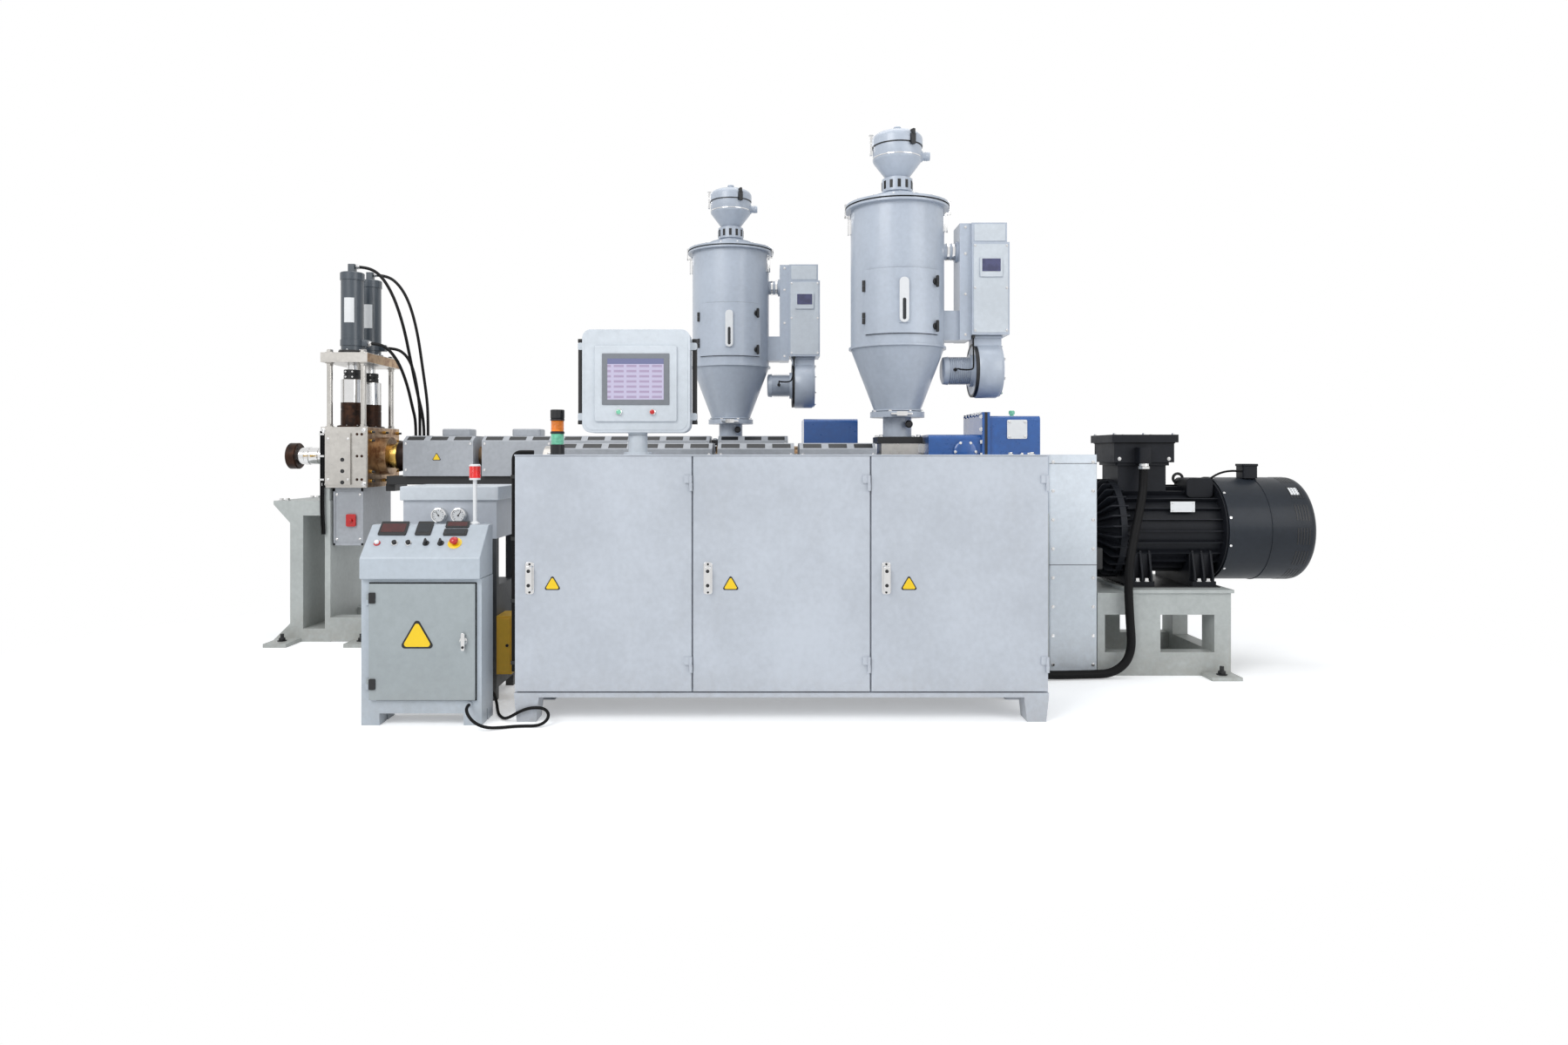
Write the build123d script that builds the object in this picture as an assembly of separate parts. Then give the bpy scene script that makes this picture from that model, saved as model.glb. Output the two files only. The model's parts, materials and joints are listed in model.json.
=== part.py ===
from build123d import *
from dataclasses import dataclass
import math
import os

# A plastic extrusion line in millimetres: a main extruder and a co-extruder side by side, each fed by its own
# hopper dryer, a screen changer with two pistons, a control cabinet with a swivelling panel, and a small console.
# X runs along the line towards the drives, Y away from the operator and Z up from the floor.
# Y = 0 is the front of the cabinet. The last step moves every piece so that the origin is the bottom centre.

# Clearances
RUN_GAP = 0.5
SEAT_GAP = 0.3

# Control cabinet
CABINET_LEFT = -1133
CABINET_BAY = 800
CABINET_BAYS = 3
CABINET_DEPTH = 500
CABINET_TOP = 1200
CABINET_WALL = 20
CABINET_FLOOR = 110
CABINET_FOOT_WIDTH = 110
CABINET_FOOT_TAPER = 12
CABINET_DOOR_THICK = 18
CABINET_DOOR_BOTTOM = 137
CABINET_DOOR_TOP_GAP = 8
CABINET_DOOR_GAP = 4
CABINET_SILL_GAP = 7
CABINET_LEAF = 2
CABINET_HINGE_DIAMETER = 14
CABINET_HINGE_LENGTH = 70
CABINET_HINGE_INSET = 120
CABINET_HANDLE_INSET = 70
CABINET_HANDLE_BOTTOM = 590
CABINET_HANDLE_LENGTH = 110
CABINET_HANDLE_WIDTH = 26
CABINET_HANDLE_PROUD = 24

# Operator panel on the cabinet
PANEL_X = -605
PANEL_Y = 205
PANEL_WIDTH = 500
PANEL_DEPTH = 130
PANEL_BOTTOM = 1302
PANEL_HEIGHT = 479
PANEL_CORNER = 40
PANEL_NECK_DIAMETER = 90
PANEL_NECK_BASE = 130
PANEL_NECK_BASE_THICK = 12
PANEL_GRIP_DIAMETER = 22
PANEL_GRIP_LENGTH = 400
PANEL_GRIP_OFFSET = 18
PANEL_BEZEL_WIDTH = 380
PANEL_BEZEL_HEIGHT = 352
PANEL_BEZEL_PROUD = 12
PANEL_BUTTON_DIAMETER = 26
PANEL_BUTTON_PROUD = 16
PANEL_BUTTON_SPACING = 155

# Stack light on the cabinet
STACK_X = -993
STACK_Y = 250
STACK_DIAMETER = 66
STACK_STEPS = (48, 50, 12, 50, 12, 41)

# Operator console
CONSOLE_LEFT = -1795
CONSOLE_RIGHT = -1262
CONSOLE_FRONT = -56
CONSOLE_DEPTH = 174
CONSOLE_FLOOR = 53
CONSOLE_LEG = 80
CONSOLE_WALL = 14
CONSOLE_BODY_TOP = 650
CONSOLE_HEAD_OVERHANG = 26
CONSOLE_HEAD_EDGE = 94
CONSOLE_HEAD_RISE = 137
CONSOLE_DOOR_LEFT = -1755
CONSOLE_DOOR_RIGHT = -1288
CONSOLE_DOOR_BOTTOM = 116
CONSOLE_DOOR_TOP = 629
CONSOLE_DOOR_THICK = 16
CONSOLE_DOOR_LAP = 18
CONSOLE_HINGE_DIAMETER = 14
CONSOLE_HINGE_LENGTH = 50
CONSOLE_HINGE_INSET = 70
CONSOLE_HANDLE_DIAMETER = 24
CONSOLE_HANDLE_PROUD = 20
CONTROL_PROUD = 7
BUTTON_DIAMETER = 24
BUTTON_PROUD = 15
STOP_DIAMETER = 38
STOP_PROUD = 32

# Alarm lamp on the console
LAMP_X = -1336
LAMP_Y = 90
LAMP_DIAMETER = 54
LAMP_HEIGHT = 72
LAMP_TOP = 1156
LAMP_STEM_DIAMETER = 18
LAMP_FOOT_DIAMETER = 44
LAMP_FOOT_THICK = 8

# Hydraulic unit with its gauge box
HYDRAULIC_LEFT = -1770
HYDRAULIC_WIDTH = 454
HYDRAULIC_FRONT = 370
HYDRAULIC_DEPTH = 350
HYDRAULIC_FOOT_HEIGHT = 60
HYDRAULIC_TANK_TOP = 560
HYDRAULIC_MOTOR_DIAMETER = 190
HYDRAULIC_MOTOR_LENGTH = 190
GAUGE_BOX_BOTTOM = 790
GAUGE_BOX_TOP = 978
GAUGE_LID_TOP = 1044
GAUGE_LID_OVERHANG = 12
GAUGE_DIAMETER = 72
GAUGE_PROUD = 22
GAUGE_Z = 905
GAUGE_SPACING = 96
GAUGE_POST = 40
VALVE_BOX_WIDTH = 73
VALVE_BOX_DEPTH = 160
VALVE_BOX_BOTTOM = 129
VALVE_BOX_TOP = 413

# Main extruder drive
MAIN_Y = 1240
MAIN_BARREL_Z = 1110
MAIN_BASE_HALF_DEPTH = 343
MAIN_GUARD_LEFT = 1530
MAIN_GUARD_RIGHT = 1795
MAIN_GUARD_TOP = 1200
MAIN_GUARD_CORNER = 14
MAIN_PEDESTAL_TOP = 880
MAIN_MOTOR_BASE_RIGHT = 2519
MAIN_MOTOR_BASE_TOP = 449
MAIN_MOTOR_PLATE_THICK = 18
MAIN_MOTOR_PLATE_LEFT = 1963
MAIN_MOTOR_PLATE_OVERHANG = 12
MAIN_FRAME_SIDE = 90
MAIN_WINDOW_BOTTOM = 127
MAIN_WINDOW_TOP = 331
MAIN_WINDOW_1 = (1835, 1990)
MAIN_WINDOW_2 = (2136, 2429)
MAIN_FOOT_LENGTH = 130
MAIN_FOOT_WIDTH = 161
MAIN_FOOT_THICK = 20
MAIN_RAIL_WIDTH = 110
MAIN_RAIL_HEIGHT = 150
MAIN_RAIL_LEFT = -1240
ANCHOR_BORE = 22

# Gearbox of the main extruder
MAIN_GEARBOX_LEFT = 898
MAIN_GEARBOX_STEP = 1190
MAIN_GEARBOX_FLANGE = 44
MAIN_GEARBOX_RIGHT = 1516
MAIN_GEARBOX_HALF_DEPTH = 230
MAIN_GEARBOX_LOW_TOP = 1311
MAIN_GEARBOX_TALL_TOP = 1415
MAIN_GEARBOX_FLANGE_PROUD = 20
MAIN_GEARBOX_INPUT_DIAMETER = 300
MAIN_GEARBOX_INPUT_Z = 1077
GEARBOX_CORNER = 24

# Motor of the main extruder
MAIN_MOTOR_Z = 777
MAIN_MOTOR_STANDOFF = 155
MAIN_MOTOR_LEFT = MAIN_GUARD_RIGHT + MAIN_MOTOR_STANDOFF
MAIN_MOTOR_LENGTH = 610
MAIN_MOTOR_RIGHT = MAIN_MOTOR_LEFT + MAIN_MOTOR_LENGTH
MAIN_MOTOR_DIAMETER = 500
MAIN_MOTOR_FINS = 24
MAIN_MOTOR_FIN_DEPTH = 26
MAIN_MOTOR_FIN_THICK = 7
MAIN_MOTOR_SHIELD = 560
MAIN_MOTOR_SHIELD_THICK = 34
MAIN_MOTOR_SHAFT = 90
MAIN_BELL_LENGTH = 94
MAIN_BELL_NOSE = 270
MAIN_BELL_ROOT = 500
MAIN_MOTOR_FOOT_SPAN = 508
MAIN_MOTOR_FOOT_LENGTH = 130
MAIN_MOTOR_FOOT_INSET = 60
MAIN_MOTOR_FOOT_PITCH = 340
MAIN_MOTOR_FOOT_THICK = 32
MAIN_MOTOR_FOOT_WEB = 90
MAIN_COWL_LENGTH = 494
MAIN_COWL_DIAMETER = 584
MAIN_COWL_WALL = 6
MAIN_COWL_ROUND = 45
MAIN_COWL_LAP = 24
MAIN_COWL_LEFT = MAIN_MOTOR_RIGHT - MAIN_COWL_LAP
MAIN_COWL_RIGHT = MAIN_COWL_LEFT + MAIN_COWL_LENGTH
MAIN_COWL_INTAKE = 420
MAIN_BOX_LEFT = MAIN_MOTOR_LEFT + 1
MAIN_BOX_WIDTH = 338
MAIN_BOX_FRONT = 1080
MAIN_BOX_DEPTH = 320
MAIN_BOX_BOTTOM = 1156
MAIN_BOX_TOP = 1268
MAIN_BOX_LID = 44
MAIN_BOX_LID_LAP = 17
MAIN_BOX_NECK_INSET = 34

# Barrel and barrel covers, shared by both extruders
COVER_WALL = 6
COVER_SLOTS = 3
COVER_SLOT_SHARE = 2 / 3
COVER_SLOT_HEIGHT = 10
FEED_PLATE_THICK = 37

# Supports under the barrels
POST_WIDTH = 120

# Co-extruder frame
CO_Y = 2100
CO_BARREL_Z = 1191
CO_STAND_RIGHT = -2795
CO_STAND_WIDTH = 258
CO_STAND_LEFT = CO_STAND_RIGHT - CO_STAND_WIDTH
CO_STAND_FRONT = 1840
CO_STAND_DEPTH = 520
CO_STAND_TOP = 904
CO_STAND_FLANGE_THICK = 24
CO_STAND_FLANGE_LAP = 106
CO_STAND_FLANGE_LEFT = CO_STAND_LEFT - CO_STAND_FLANGE_LAP
CO_STAND_WINDOW_INSET = 83
CO_STAND_WINDOW_BOTTOM = 84
CO_STAND_WINDOW_TOP = 809
CO_STAND_FLARE = 118
CO_RAIL_BOTTOM = 5
CO_RAIL_TOP = 156
CO_RAIL_WIDTH = 110
CO_FOOT_FRONT = 1646
CO_FOOT_LENGTH = 143
CO_FOOT_LAP = 74
CO_FOOT_GAP = 168
CO_FOOT_1 = (CO_STAND_LEFT - CO_FOOT_LAP, CO_STAND_LEFT - CO_FOOT_LAP + CO_FOOT_LENGTH)
CO_FOOT_2 = (CO_STAND_RIGHT + CO_FOOT_GAP, CO_STAND_RIGHT + CO_FOOT_GAP + CO_FOOT_LENGTH)
CO_FOOT_THICK = 24
CO_BASE_RIGHT = 1560
CO_BASE_TOP = 760
CO_BASE_HALF_DEPTH = 260
CO_GEARBOX_LEFT = 241
CO_GEARBOX_RIGHT = 589
CO_GEARBOX_TOP = 1430
CO_GEARBOX_HALF_DEPTH = 210
CO_MOTOR_LEFT = 640
CO_MOTOR_Z = 1010
CO_MOTOR_DIAMETER = 400
CO_MOTOR_LENGTH = 820
CO_MOTOR_COWL_LENGTH = 273
CO_MOTOR_FINS = 20
CO_MOTOR_FIN_DEPTH = 22
CO_MOTOR_FIN_THICK = 7
CO_MOTOR_FOOT_THICK = 26
CO_MOTOR_FOOT_STEP = 40

# Screen changer
BLOCK_RIGHT = -2555
BLOCK_WIDTH = 300
BLOCK_LEFT = BLOCK_RIGHT - BLOCK_WIDTH
BLOCK_FRONT = 1830
BLOCK_DEPTH = 539
BLOCK_BOTTOM = 988
BLOCK_TOP = 1377
BLOCK_CHAMFER = 6
BLOCK_PAD_WIDTH = 55
PISTON_DIAMETER = 140
PISTON_SPACING = 285
PISTON_BOTTOM = 975
PISTON_TOP = 1690
PISTON_TRAVEL = 280
COUPLING_DIAMETER = 104
COUPLING_HEIGHT = 62
ROD_DIAMETER = 64
ROD_TOP = 2300
TIE_DIAMETER = 35
TIE_INSET = 42
TOP_PLATE_BOTTOM = 1792
TOP_PLATE_TOP = 1855
CYLINDER_DIAMETER = 140
CYLINDER_TOP = 2385
CYLINDER_CAP = 42
CYLINDER_FLANGE = 168
MELT_BORE = 60
GUARD_INSET_LEFT = 70
GUARD_INSET_RIGHT = 45
GUARD_LEFT = BLOCK_LEFT + GUARD_INSET_LEFT
GUARD_RIGHT = BLOCK_RIGHT - GUARD_INSET_RIGHT
GUARD_BOTTOM = 615
GUARD_WALL = 5
GUARD_ROOM = 17
PROBE_PLATE_MARGIN = 36
PROBE_PLATE_WIDTH = 161
PROBE_PLATE_LEFT = BLOCK_LEFT + PROBE_PLATE_MARGIN
PROBE_PLATE_RIGHT = PROBE_PLATE_LEFT + PROBE_PLATE_WIDTH
PROBE_PLATE_THICK = 15
PROBE_PLATE_INSET = 40
PROBE_BORE = 22
PROBE_HEIGHTS = (1022, 1094, 1167)
PROBE_INSET = 50
PROBE_X = PROBE_PLATE_RIGHT - PROBE_INSET

# Die adaptor
ADAPTOR_LENGTH = 329
ADAPTOR_LEFT = BLOCK_LEFT - ADAPTOR_LENGTH
ADAPTOR_RING = 71
ADAPTOR_RING_DIAMETER = 173
ADAPTOR_NECK_DIAMETER = 112
ADAPTOR_FLANGE = 36
ADAPTOR_FLANGE_DIAMETER = 240
ADAPTOR_BOLT_CIRCLE = 128
ADAPTOR_BOLT_BORE = 14
ADAPTOR_BOLTS = 8

# Cord routes, each a list of points chosen along the real lie of the cable or hose
CORD_ARC_SHARE = 0.45
HOSE_DIAMETER = 20
HOSES = {
    "hose_front_top": [(-2685, 1957.5, 2425), (-2605, 1957.5, 2425), (-2520, 1970, 2372), (-2450, 1996, 2242),
                       (-2404, 2048, 2050), (-2391, 2130, 1843), (-2380, 2235, 1610), (-2364, 2312, 1440),
                       (-2364, 2312, 1330)],
    "hose_rear_top": [(-2685, 2242.5, 2425), (-2605, 2242.5, 2425), (-2522, 2247, 2376), (-2448, 2256, 2255),
                      (-2395, 2270, 2048), (-2366, 2290, 1800), (-2341, 2306, 1585), (-2336, 2312, 1455),
                      (-2336, 2312, 1330)],
    "hose_front_low": [(-2600, 1957.5, 1925), (-2530, 1957.5, 1925), (-2470, 1980, 1886), (-2424, 2034, 1795),
                       (-2405, 2120, 1660), (-2408, 2215, 1522), (-2420, 2312, 1430), (-2420, 2312, 1330)],
    "hose_rear_low": [(-2600, 2242.5, 1925), (-2528, 2242.5, 1925), (-2464, 2252, 1882), (-2423, 2266, 1795),
                      (-2402, 2285, 1665), (-2392, 2306, 1530), (-2392, 2312, 1425), (-2392, 2312, 1330)],
}
MOTOR_CABLE_DIAMETER = 46
MOTOR_ELBOW_SIDE = 68
MOTOR_ELBOW_HEIGHT = 90
MOTOR_CABLE = [(2103, 1045, 1150), (2103, 1045, 1010), (2052, 982, 870), (1988, 902, 720), (1944, 856, 545),
               (1950, 846, 330), (1962, 838, 124), (1864, 832, 26), (1700, 815, 26), (1500, 795, 26),
               (1310, 792, 40), (1140, 785, 90), (1005, 745, 165), (945, 645, 190), (945, 530, 190)]
CONSOLE_CABLE_DIAMETER = 14
CONSOLE_CABLE = [(-1312, -76, 96), (-1312, -118, 96), (-1296, -150, 72), (-1262, -160, 38), (-1214, -146, 14),
                 (-1160, -118, 8), (-1108, -98, 8), (-1062, -92, 8), (-1016, -92, 8), (-987, -84, 14),
                 (-968, -64, 29), (-968, -41, 47), (-987, -21, 62), (-1016, -14, 68), (-1062, -13, 66),
                 (-1106, -13, 50), (-1146, -11, 26), (-1180, 14, 10), (-1208, 56, 8), (-1232, 104, 8),
                 (-1250, 152, 14), (-1268, 202, 36), (-1294, 246, 68), (-1330, 272, 92), (-1350, 308, 96),
                 (-1350, 350, 96)]
GLAND_WALL = 8
LEAD_DIAMETER = 9
LEAD_GLAND = 14
LEAD_ROUTE = [(419, -98, 602), (419, -98, 560), (418, -106, 520), (415, -124, 484), (410, -148, 454),
              (404, -174, 432), (399, -192, 420), (389, -207, 413), (375, -217, 409), (359, -220, 408),
              (343, -216, 409), (330, -206, 411), (322, -192, 414), (320, -174, 418), (320, -134, 421),
              (320, -88, 421)]


@dataclass(frozen=True)
class Barrel:
    """Sizes of one extruder's barrel, its feed block and its covers."""

    y: float
    z: float
    right: float
    left: float
    diameter: float
    end_flange: float
    end_flange_length: float
    feed_x: float
    feed_length: float
    feed_depth: float
    feed_top: float
    feed_bottom: float
    cover_right: float
    cover_count: int
    cover_length: float
    cover_gap: float
    cover_half_depth: float
    cover_half_height: float
    cover_slope: float
    cover_slope_drop: float


MAIN_BARREL = Barrel(
    y=MAIN_Y, z=MAIN_BARREL_Z, right=MAIN_GEARBOX_LEFT, left=-1270, diameter=190, end_flange=280,
    end_flange_length=60, feed_x=755, feed_length=210, feed_depth=230, feed_top=1263, feed_bottom=980,
    cover_right=615, cover_count=4, cover_length=430, cover_gap=30, cover_half_depth=180,
    cover_half_height=155, cover_slope=60, cover_slope_drop=34,
)

CO_BARREL = Barrel(
    y=CO_Y, z=CO_BARREL_Z, right=CO_GEARBOX_LEFT, left=BLOCK_RIGHT, diameter=130, end_flange=250,
    end_flange_length=56, feed_x=-239, feed_length=180, feed_depth=190, feed_top=1260, feed_bottom=1110,
    cover_right=139, cover_count=5, cover_length=455, cover_gap=56, cover_half_depth=180,
    cover_half_height=131, cover_slope=60, cover_slope_drop=34,
)


@dataclass(frozen=True)
class Dryer:
    """Sizes of one hopper dryer, measured up from its foot plate and out from its upright axis."""

    x: float
    y: float
    z: float
    throat_radius: float = 82
    throat_bore: float = 66
    plate_side: float = 250
    gate_bottom: float = 150
    gate_radius: float = 156
    cone_bottom: float = 182
    cone_radius: float = 130
    shell_bottom: float = 545
    shell_radius: float = 268
    shell_wall: float = 28
    shell_top: float = 1355
    rim_radius: float = 298
    rim_height: float = 16
    lid_height: float = 16
    lid_dome: float = 16
    lid_dome_radius: float = 170
    door_half_angle: float = 48
    door_bottom: float = 607
    door_top: float = 967
    door_lap: float = 24
    door_thick: float = 14
    door_round: float = 40
    hinge_diameter: float = 16
    hinge_length: float = 60
    glass_width: float = 53
    glass_height: float = 249
    loader_plate_radius: float = 150
    loader_plate: float = 18
    loader_neck_radius: float = 60
    neck_plate_radius: float = 88
    neck_plate_bottom: float = 1448
    neck_plate_top: float = 1523
    loader_cone_bottom: float = 1536
    loader_bottom: float = 1585
    loader_radius: float = 140
    loader_top: float = 1712
    loader_lid_radius: float = 146
    loader_lid_top: float = 1797
    loader_knob_top: float = 1829
    loader_knob_radius: float = 20
    spigot_radius: float = 24
    spigot_reach: float = 187
    spigot_height: float = 1660
    spigot_collar: float = 4
    spigot_collar_radius: float = 32
    column_left: float = 344
    column_right: float = 408
    column_half_depth: float = 90
    column_bottom: float = 590
    column_top: float = 1253
    duct_height: float = 169
    duct_half_depth: float = 70
    pipe_radius: float = 47
    pipe_height: float = 1108
    pipe_flange: float = 12
    box_right: float = 620
    box_half_depth: float = 120
    box_bottom: float = 616
    box_top: float = 1140
    display_proud: float = 6
    display_side: float = 42
    display_bottom: float = 941
    display_top: float = 1051
    blower_height: float = 421
    blower_motor_left: float = 264
    blower_left: float = 430
    blower_right: float = 585
    blower_radius: float = 150
    blower_motor_radius: float = 73


def scaled_dryer(dryer: Dryer, x: float, y: float, z: float, ratio: float) -> Dryer:
    """Give the next size of the same dryer family, with every length but its place times the ratio."""
    sizes = {name: value * ratio for name, value in vars(dryer).items()}
    sizes.update(x=x, y=y, z=z, door_half_angle=dryer.door_half_angle)
    return Dryer(**sizes)


CO_DRYER_RATIO = 0.95
MAIN_DRYER = Dryer(x=MAIN_BARREL.feed_x, y=MAIN_Y, z=MAIN_BARREL.feed_top)
CO_DRYER = scaled_dryer(MAIN_DRYER, CO_BARREL.feed_x, CO_Y, CO_BARREL.feed_top, CO_DRYER_RATIO)


def slab(x0, x1, y0, y1, z0, z1):
    """Make a block between two values on each axis."""
    return Pos((x0 + x1) / 2, (y0 + y1) / 2, (z0 + z1) / 2) * Box(x1 - x0, y1 - y0, z1 - z0)


def rod_x(x0, x1, y, z, diameter):
    """Make a cylinder along X."""
    return Pos((x0 + x1) / 2, y, z) * Rot(0, 90, 0) * Cylinder(diameter / 2, x1 - x0)


def rod_y(y0, y1, x, z, diameter):
    """Make a cylinder along Y."""
    return Pos(x, (y0 + y1) / 2, z) * Rot(90, 0, 0) * Cylinder(diameter / 2, y1 - y0)


def rod_z(z0, z1, x, y, diameter):
    """Make an upright cylinder."""
    return Pos(x, y, (z0 + z1) / 2) * Cylinder(diameter / 2, z1 - z0)


def prism_x(outline, x0, x1):
    """Extrude a closed outline of (y, z) points from x0 to x1."""
    face = make_face(Polyline(*[(x0, y, z) for y, z in outline], close=True))
    return extrude(face, amount=x1 - x0, dir=(1, 0, 0))


def prism_y(outline, y0, y1):
    """Extrude a closed outline of (x, z) points from y0 to y1."""
    face = make_face(Polyline(*[(x, y0, z) for x, z in outline], close=True))
    return extrude(face, amount=y1 - y0, dir=(0, 1, 0))


def turned(outline, x, y, z=0):
    """Turn a closed outline of (radius, height) points about an upright axis."""
    face = make_face(Polyline(*[(radius, 0, height) for radius, height in outline], close=True))
    return Pos(x, y, z) * revolve(face, axis=Axis.Z)


def turned_x(outline, y, z):
    """Turn a closed outline of (x, radius) points about an axis along X."""
    face = make_face(Polyline(*[(x, 0, radius) for x, radius in outline], close=True))
    return Pos(0, y, z) * revolve(face, axis=Axis.X)


def group(solids):
    """Put solids that do not touch into one shape."""
    return Compound([solid for shape in solids for solid in shape.solids()])


def cabinet_bays():
    """List each cabinet bay as its name with its left and right boundary."""
    names = ("left", "middle", "right")
    edges = [CABINET_LEFT + CABINET_BAY * count for count in range(CABINET_BAYS + 1)]
    return list(zip(names, edges[:-1], edges[1:]))


CABINET_RIGHT = CABINET_LEFT + CABINET_BAY * CABINET_BAYS
CABINET_SHELL_FRONT = CABINET_DOOR_THICK + RUN_GAP
CABINET_DOOR_TOP = CABINET_TOP - CABINET_DOOR_TOP_GAP
CABINET_HINGE_Y = -CABINET_HINGE_DIAMETER / 2


def cabinet_hinge_x(right):
    """Give the X of a cabinet door's hinge axis, just inside its bay so that the next door swings clear of it."""
    return right - CABINET_HINGE_DIAMETER / 2 - RUN_GAP


def hinge_heights(bottom, top, inset):
    """Give the middle height of the lower and the upper hinge of a door."""
    return (bottom + inset, top - inset)


def cabinet_shell():
    """Fold the cabinet's shell: three open bays, a roof lip, a plinth and the fixed hinge knuckles."""
    shell = slab(CABINET_LEFT, CABINET_RIGHT, CABINET_SHELL_FRONT, CABINET_DEPTH, CABINET_FLOOR, CABINET_TOP)
    lip_bottom = CABINET_DOOR_TOP + RUN_GAP * 4
    shell += slab(CABINET_LEFT, CABINET_RIGHT, 0, CABINET_SHELL_FRONT, lip_bottom, CABINET_TOP)
    plinth_top = CABINET_DOOR_BOTTOM - CABINET_SILL_GAP
    shell += slab(CABINET_LEFT, CABINET_RIGHT, 0, CABINET_SHELL_FRONT, CABINET_FLOOR, plinth_top)
    for _, left, right in cabinet_bays():
        shell -= slab(left + CABINET_WALL, right - CABINET_WALL, 0, CABINET_DEPTH - CABINET_WALL,
                      CABINET_DOOR_BOTTOM + CABINET_WALL, CABINET_DOOR_TOP - CABINET_WALL)
        for height in hinge_heights(CABINET_DOOR_BOTTOM, CABINET_DOOR_TOP, CABINET_HINGE_INSET):
            low = height - CABINET_HINGE_LENGTH / 2
            high = height - RUN_GAP / 2
            hinge_x = cabinet_hinge_x(right)
            knuckle = rod_z(low, high, hinge_x, CABINET_HINGE_Y, CABINET_HINGE_DIAMETER)
            leaf = slab(hinge_x, right + CABINET_LEAF / 2, CABINET_HINGE_Y - CABINET_LEAF / 2,
                        CABINET_HINGE_Y + CABINET_LEAF / 2, low, high)
            leaf += slab(right - CABINET_LEAF / 2, right + CABINET_LEAF / 2, CABINET_HINGE_Y,
                         CABINET_SHELL_FRONT, low, high)
            shell += knuckle + leaf
    x, y, z = MOTOR_CABLE[-1]
    return shell + rod_y(CABINET_DEPTH, y, x, z, MOTOR_CABLE_DIAMETER + 2 * GLAND_WALL)


def cabinet_door(left, right):
    """Make a cabinet door: a folded skin, two hinge knuckles on its right and a swing handle on its left."""
    door = slab(left + CABINET_DOOR_GAP, right - CABINET_DOOR_GAP, 0, CABINET_DOOR_THICK,
                CABINET_DOOR_BOTTOM, CABINET_DOOR_TOP)
    for height in hinge_heights(CABINET_DOOR_BOTTOM, CABINET_DOOR_TOP, CABINET_HINGE_INSET):
        low = height + RUN_GAP / 2
        high = height + CABINET_HINGE_LENGTH / 2
        hinge_x = cabinet_hinge_x(right)
        knuckle = rod_z(low, high, hinge_x, CABINET_HINGE_Y, CABINET_HINGE_DIAMETER)
        leaf = slab(hinge_x - CABINET_HINGE_DIAMETER * 2, hinge_x, CABINET_HINGE_Y, 0, low, high)
        door += knuckle + leaf
    middle = left + CABINET_HANDLE_INSET
    handle = slab(middle - CABINET_HANDLE_WIDTH / 2, middle + CABINET_HANDLE_WIDTH / 2, -CABINET_HANDLE_PROUD, 0,
                  CABINET_HANDLE_BOTTOM, CABINET_HANDLE_BOTTOM + CABINET_HANDLE_LENGTH)
    handle = fillet(handle.edges().filter_by(Axis.Y), CABINET_HANDLE_WIDTH / 4)
    return door + handle


def cabinet_feet():
    """Make the pairs of tapered feet under the cabinet's two ends."""
    half = CABINET_FOOT_WIDTH / 2
    feet = []
    for x in (CABINET_LEFT + half, CABINET_RIGHT - half):
        outline = [(x - half, CABINET_FLOOR), (x + half, CABINET_FLOOR),
                   (x + half - CABINET_FOOT_TAPER, 0), (x - half + CABINET_FOOT_TAPER, 0)]
        for y in (CABINET_FOOT_WIDTH / 2, CABINET_DEPTH - CABINET_FOOT_WIDTH / 2):
            feet.append(prism_y(outline, y - half, y + half))
    return group(feet)


PANEL_TOP = PANEL_BOTTOM + PANEL_HEIGHT
PANEL_FRONT = PANEL_Y - PANEL_DEPTH / 2
PANEL_MIDDLE = PANEL_BOTTOM + PANEL_HEIGHT / 2
PANEL_BEZEL_DROP = 13
PANEL_BEZEL_MIDDLE = PANEL_MIDDLE - PANEL_BEZEL_DROP
PANEL_SCREEN_WIDTH = 311
PANEL_SCREEN_HEIGHT = 238
PANEL_SCREEN_RISE = 20
PANEL_SCREEN_RECESS = 5
PANEL_BUTTON_RISE = 44
PANEL_COLLAR = 12
PANEL_GRIP_BRACKETS = (75, 405)
PANEL_BRACKET_HEIGHT = 32
PANEL_GRIP_BOTTOM = 40


def panel_neck():
    """Make the fixed neck that carries the operator panel on the cabinet's roof."""
    neck = rod_z(CABINET_TOP, CABINET_TOP + PANEL_NECK_BASE_THICK, PANEL_X, PANEL_Y, PANEL_NECK_BASE)
    neck += rod_z(CABINET_TOP, PANEL_BOTTOM - PANEL_COLLAR - RUN_GAP, PANEL_X, PANEL_Y, PANEL_NECK_DIAMETER)
    return neck


def panel_box():
    """Make the panel's housing with its collar and the brackets of its side grips."""
    half = PANEL_WIDTH / 2
    box = slab(PANEL_X - half, PANEL_X + half, PANEL_FRONT, PANEL_FRONT + PANEL_DEPTH, PANEL_BOTTOM, PANEL_TOP)
    upper_corners = box.edges().filter_by(Axis.Y).group_by(Axis.Z)[-1]
    box = fillet(upper_corners, PANEL_CORNER)
    collar = rod_z(PANEL_BOTTOM - PANEL_COLLAR, PANEL_BOTTOM, PANEL_X, PANEL_Y, PANEL_NECK_DIAMETER)
    box += collar
    reach = PANEL_GRIP_OFFSET - PANEL_GRIP_DIAMETER / 2
    for rise in PANEL_GRIP_BRACKETS:
        low = PANEL_BOTTOM + rise - PANEL_BRACKET_HEIGHT / 2
        box += slab(PANEL_X - half - reach, PANEL_X + half + reach, PANEL_Y - PANEL_GRIP_DIAMETER / 2,
                    PANEL_Y + PANEL_GRIP_DIAMETER / 2, low, low + PANEL_BRACKET_HEIGHT)
    return box


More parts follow.
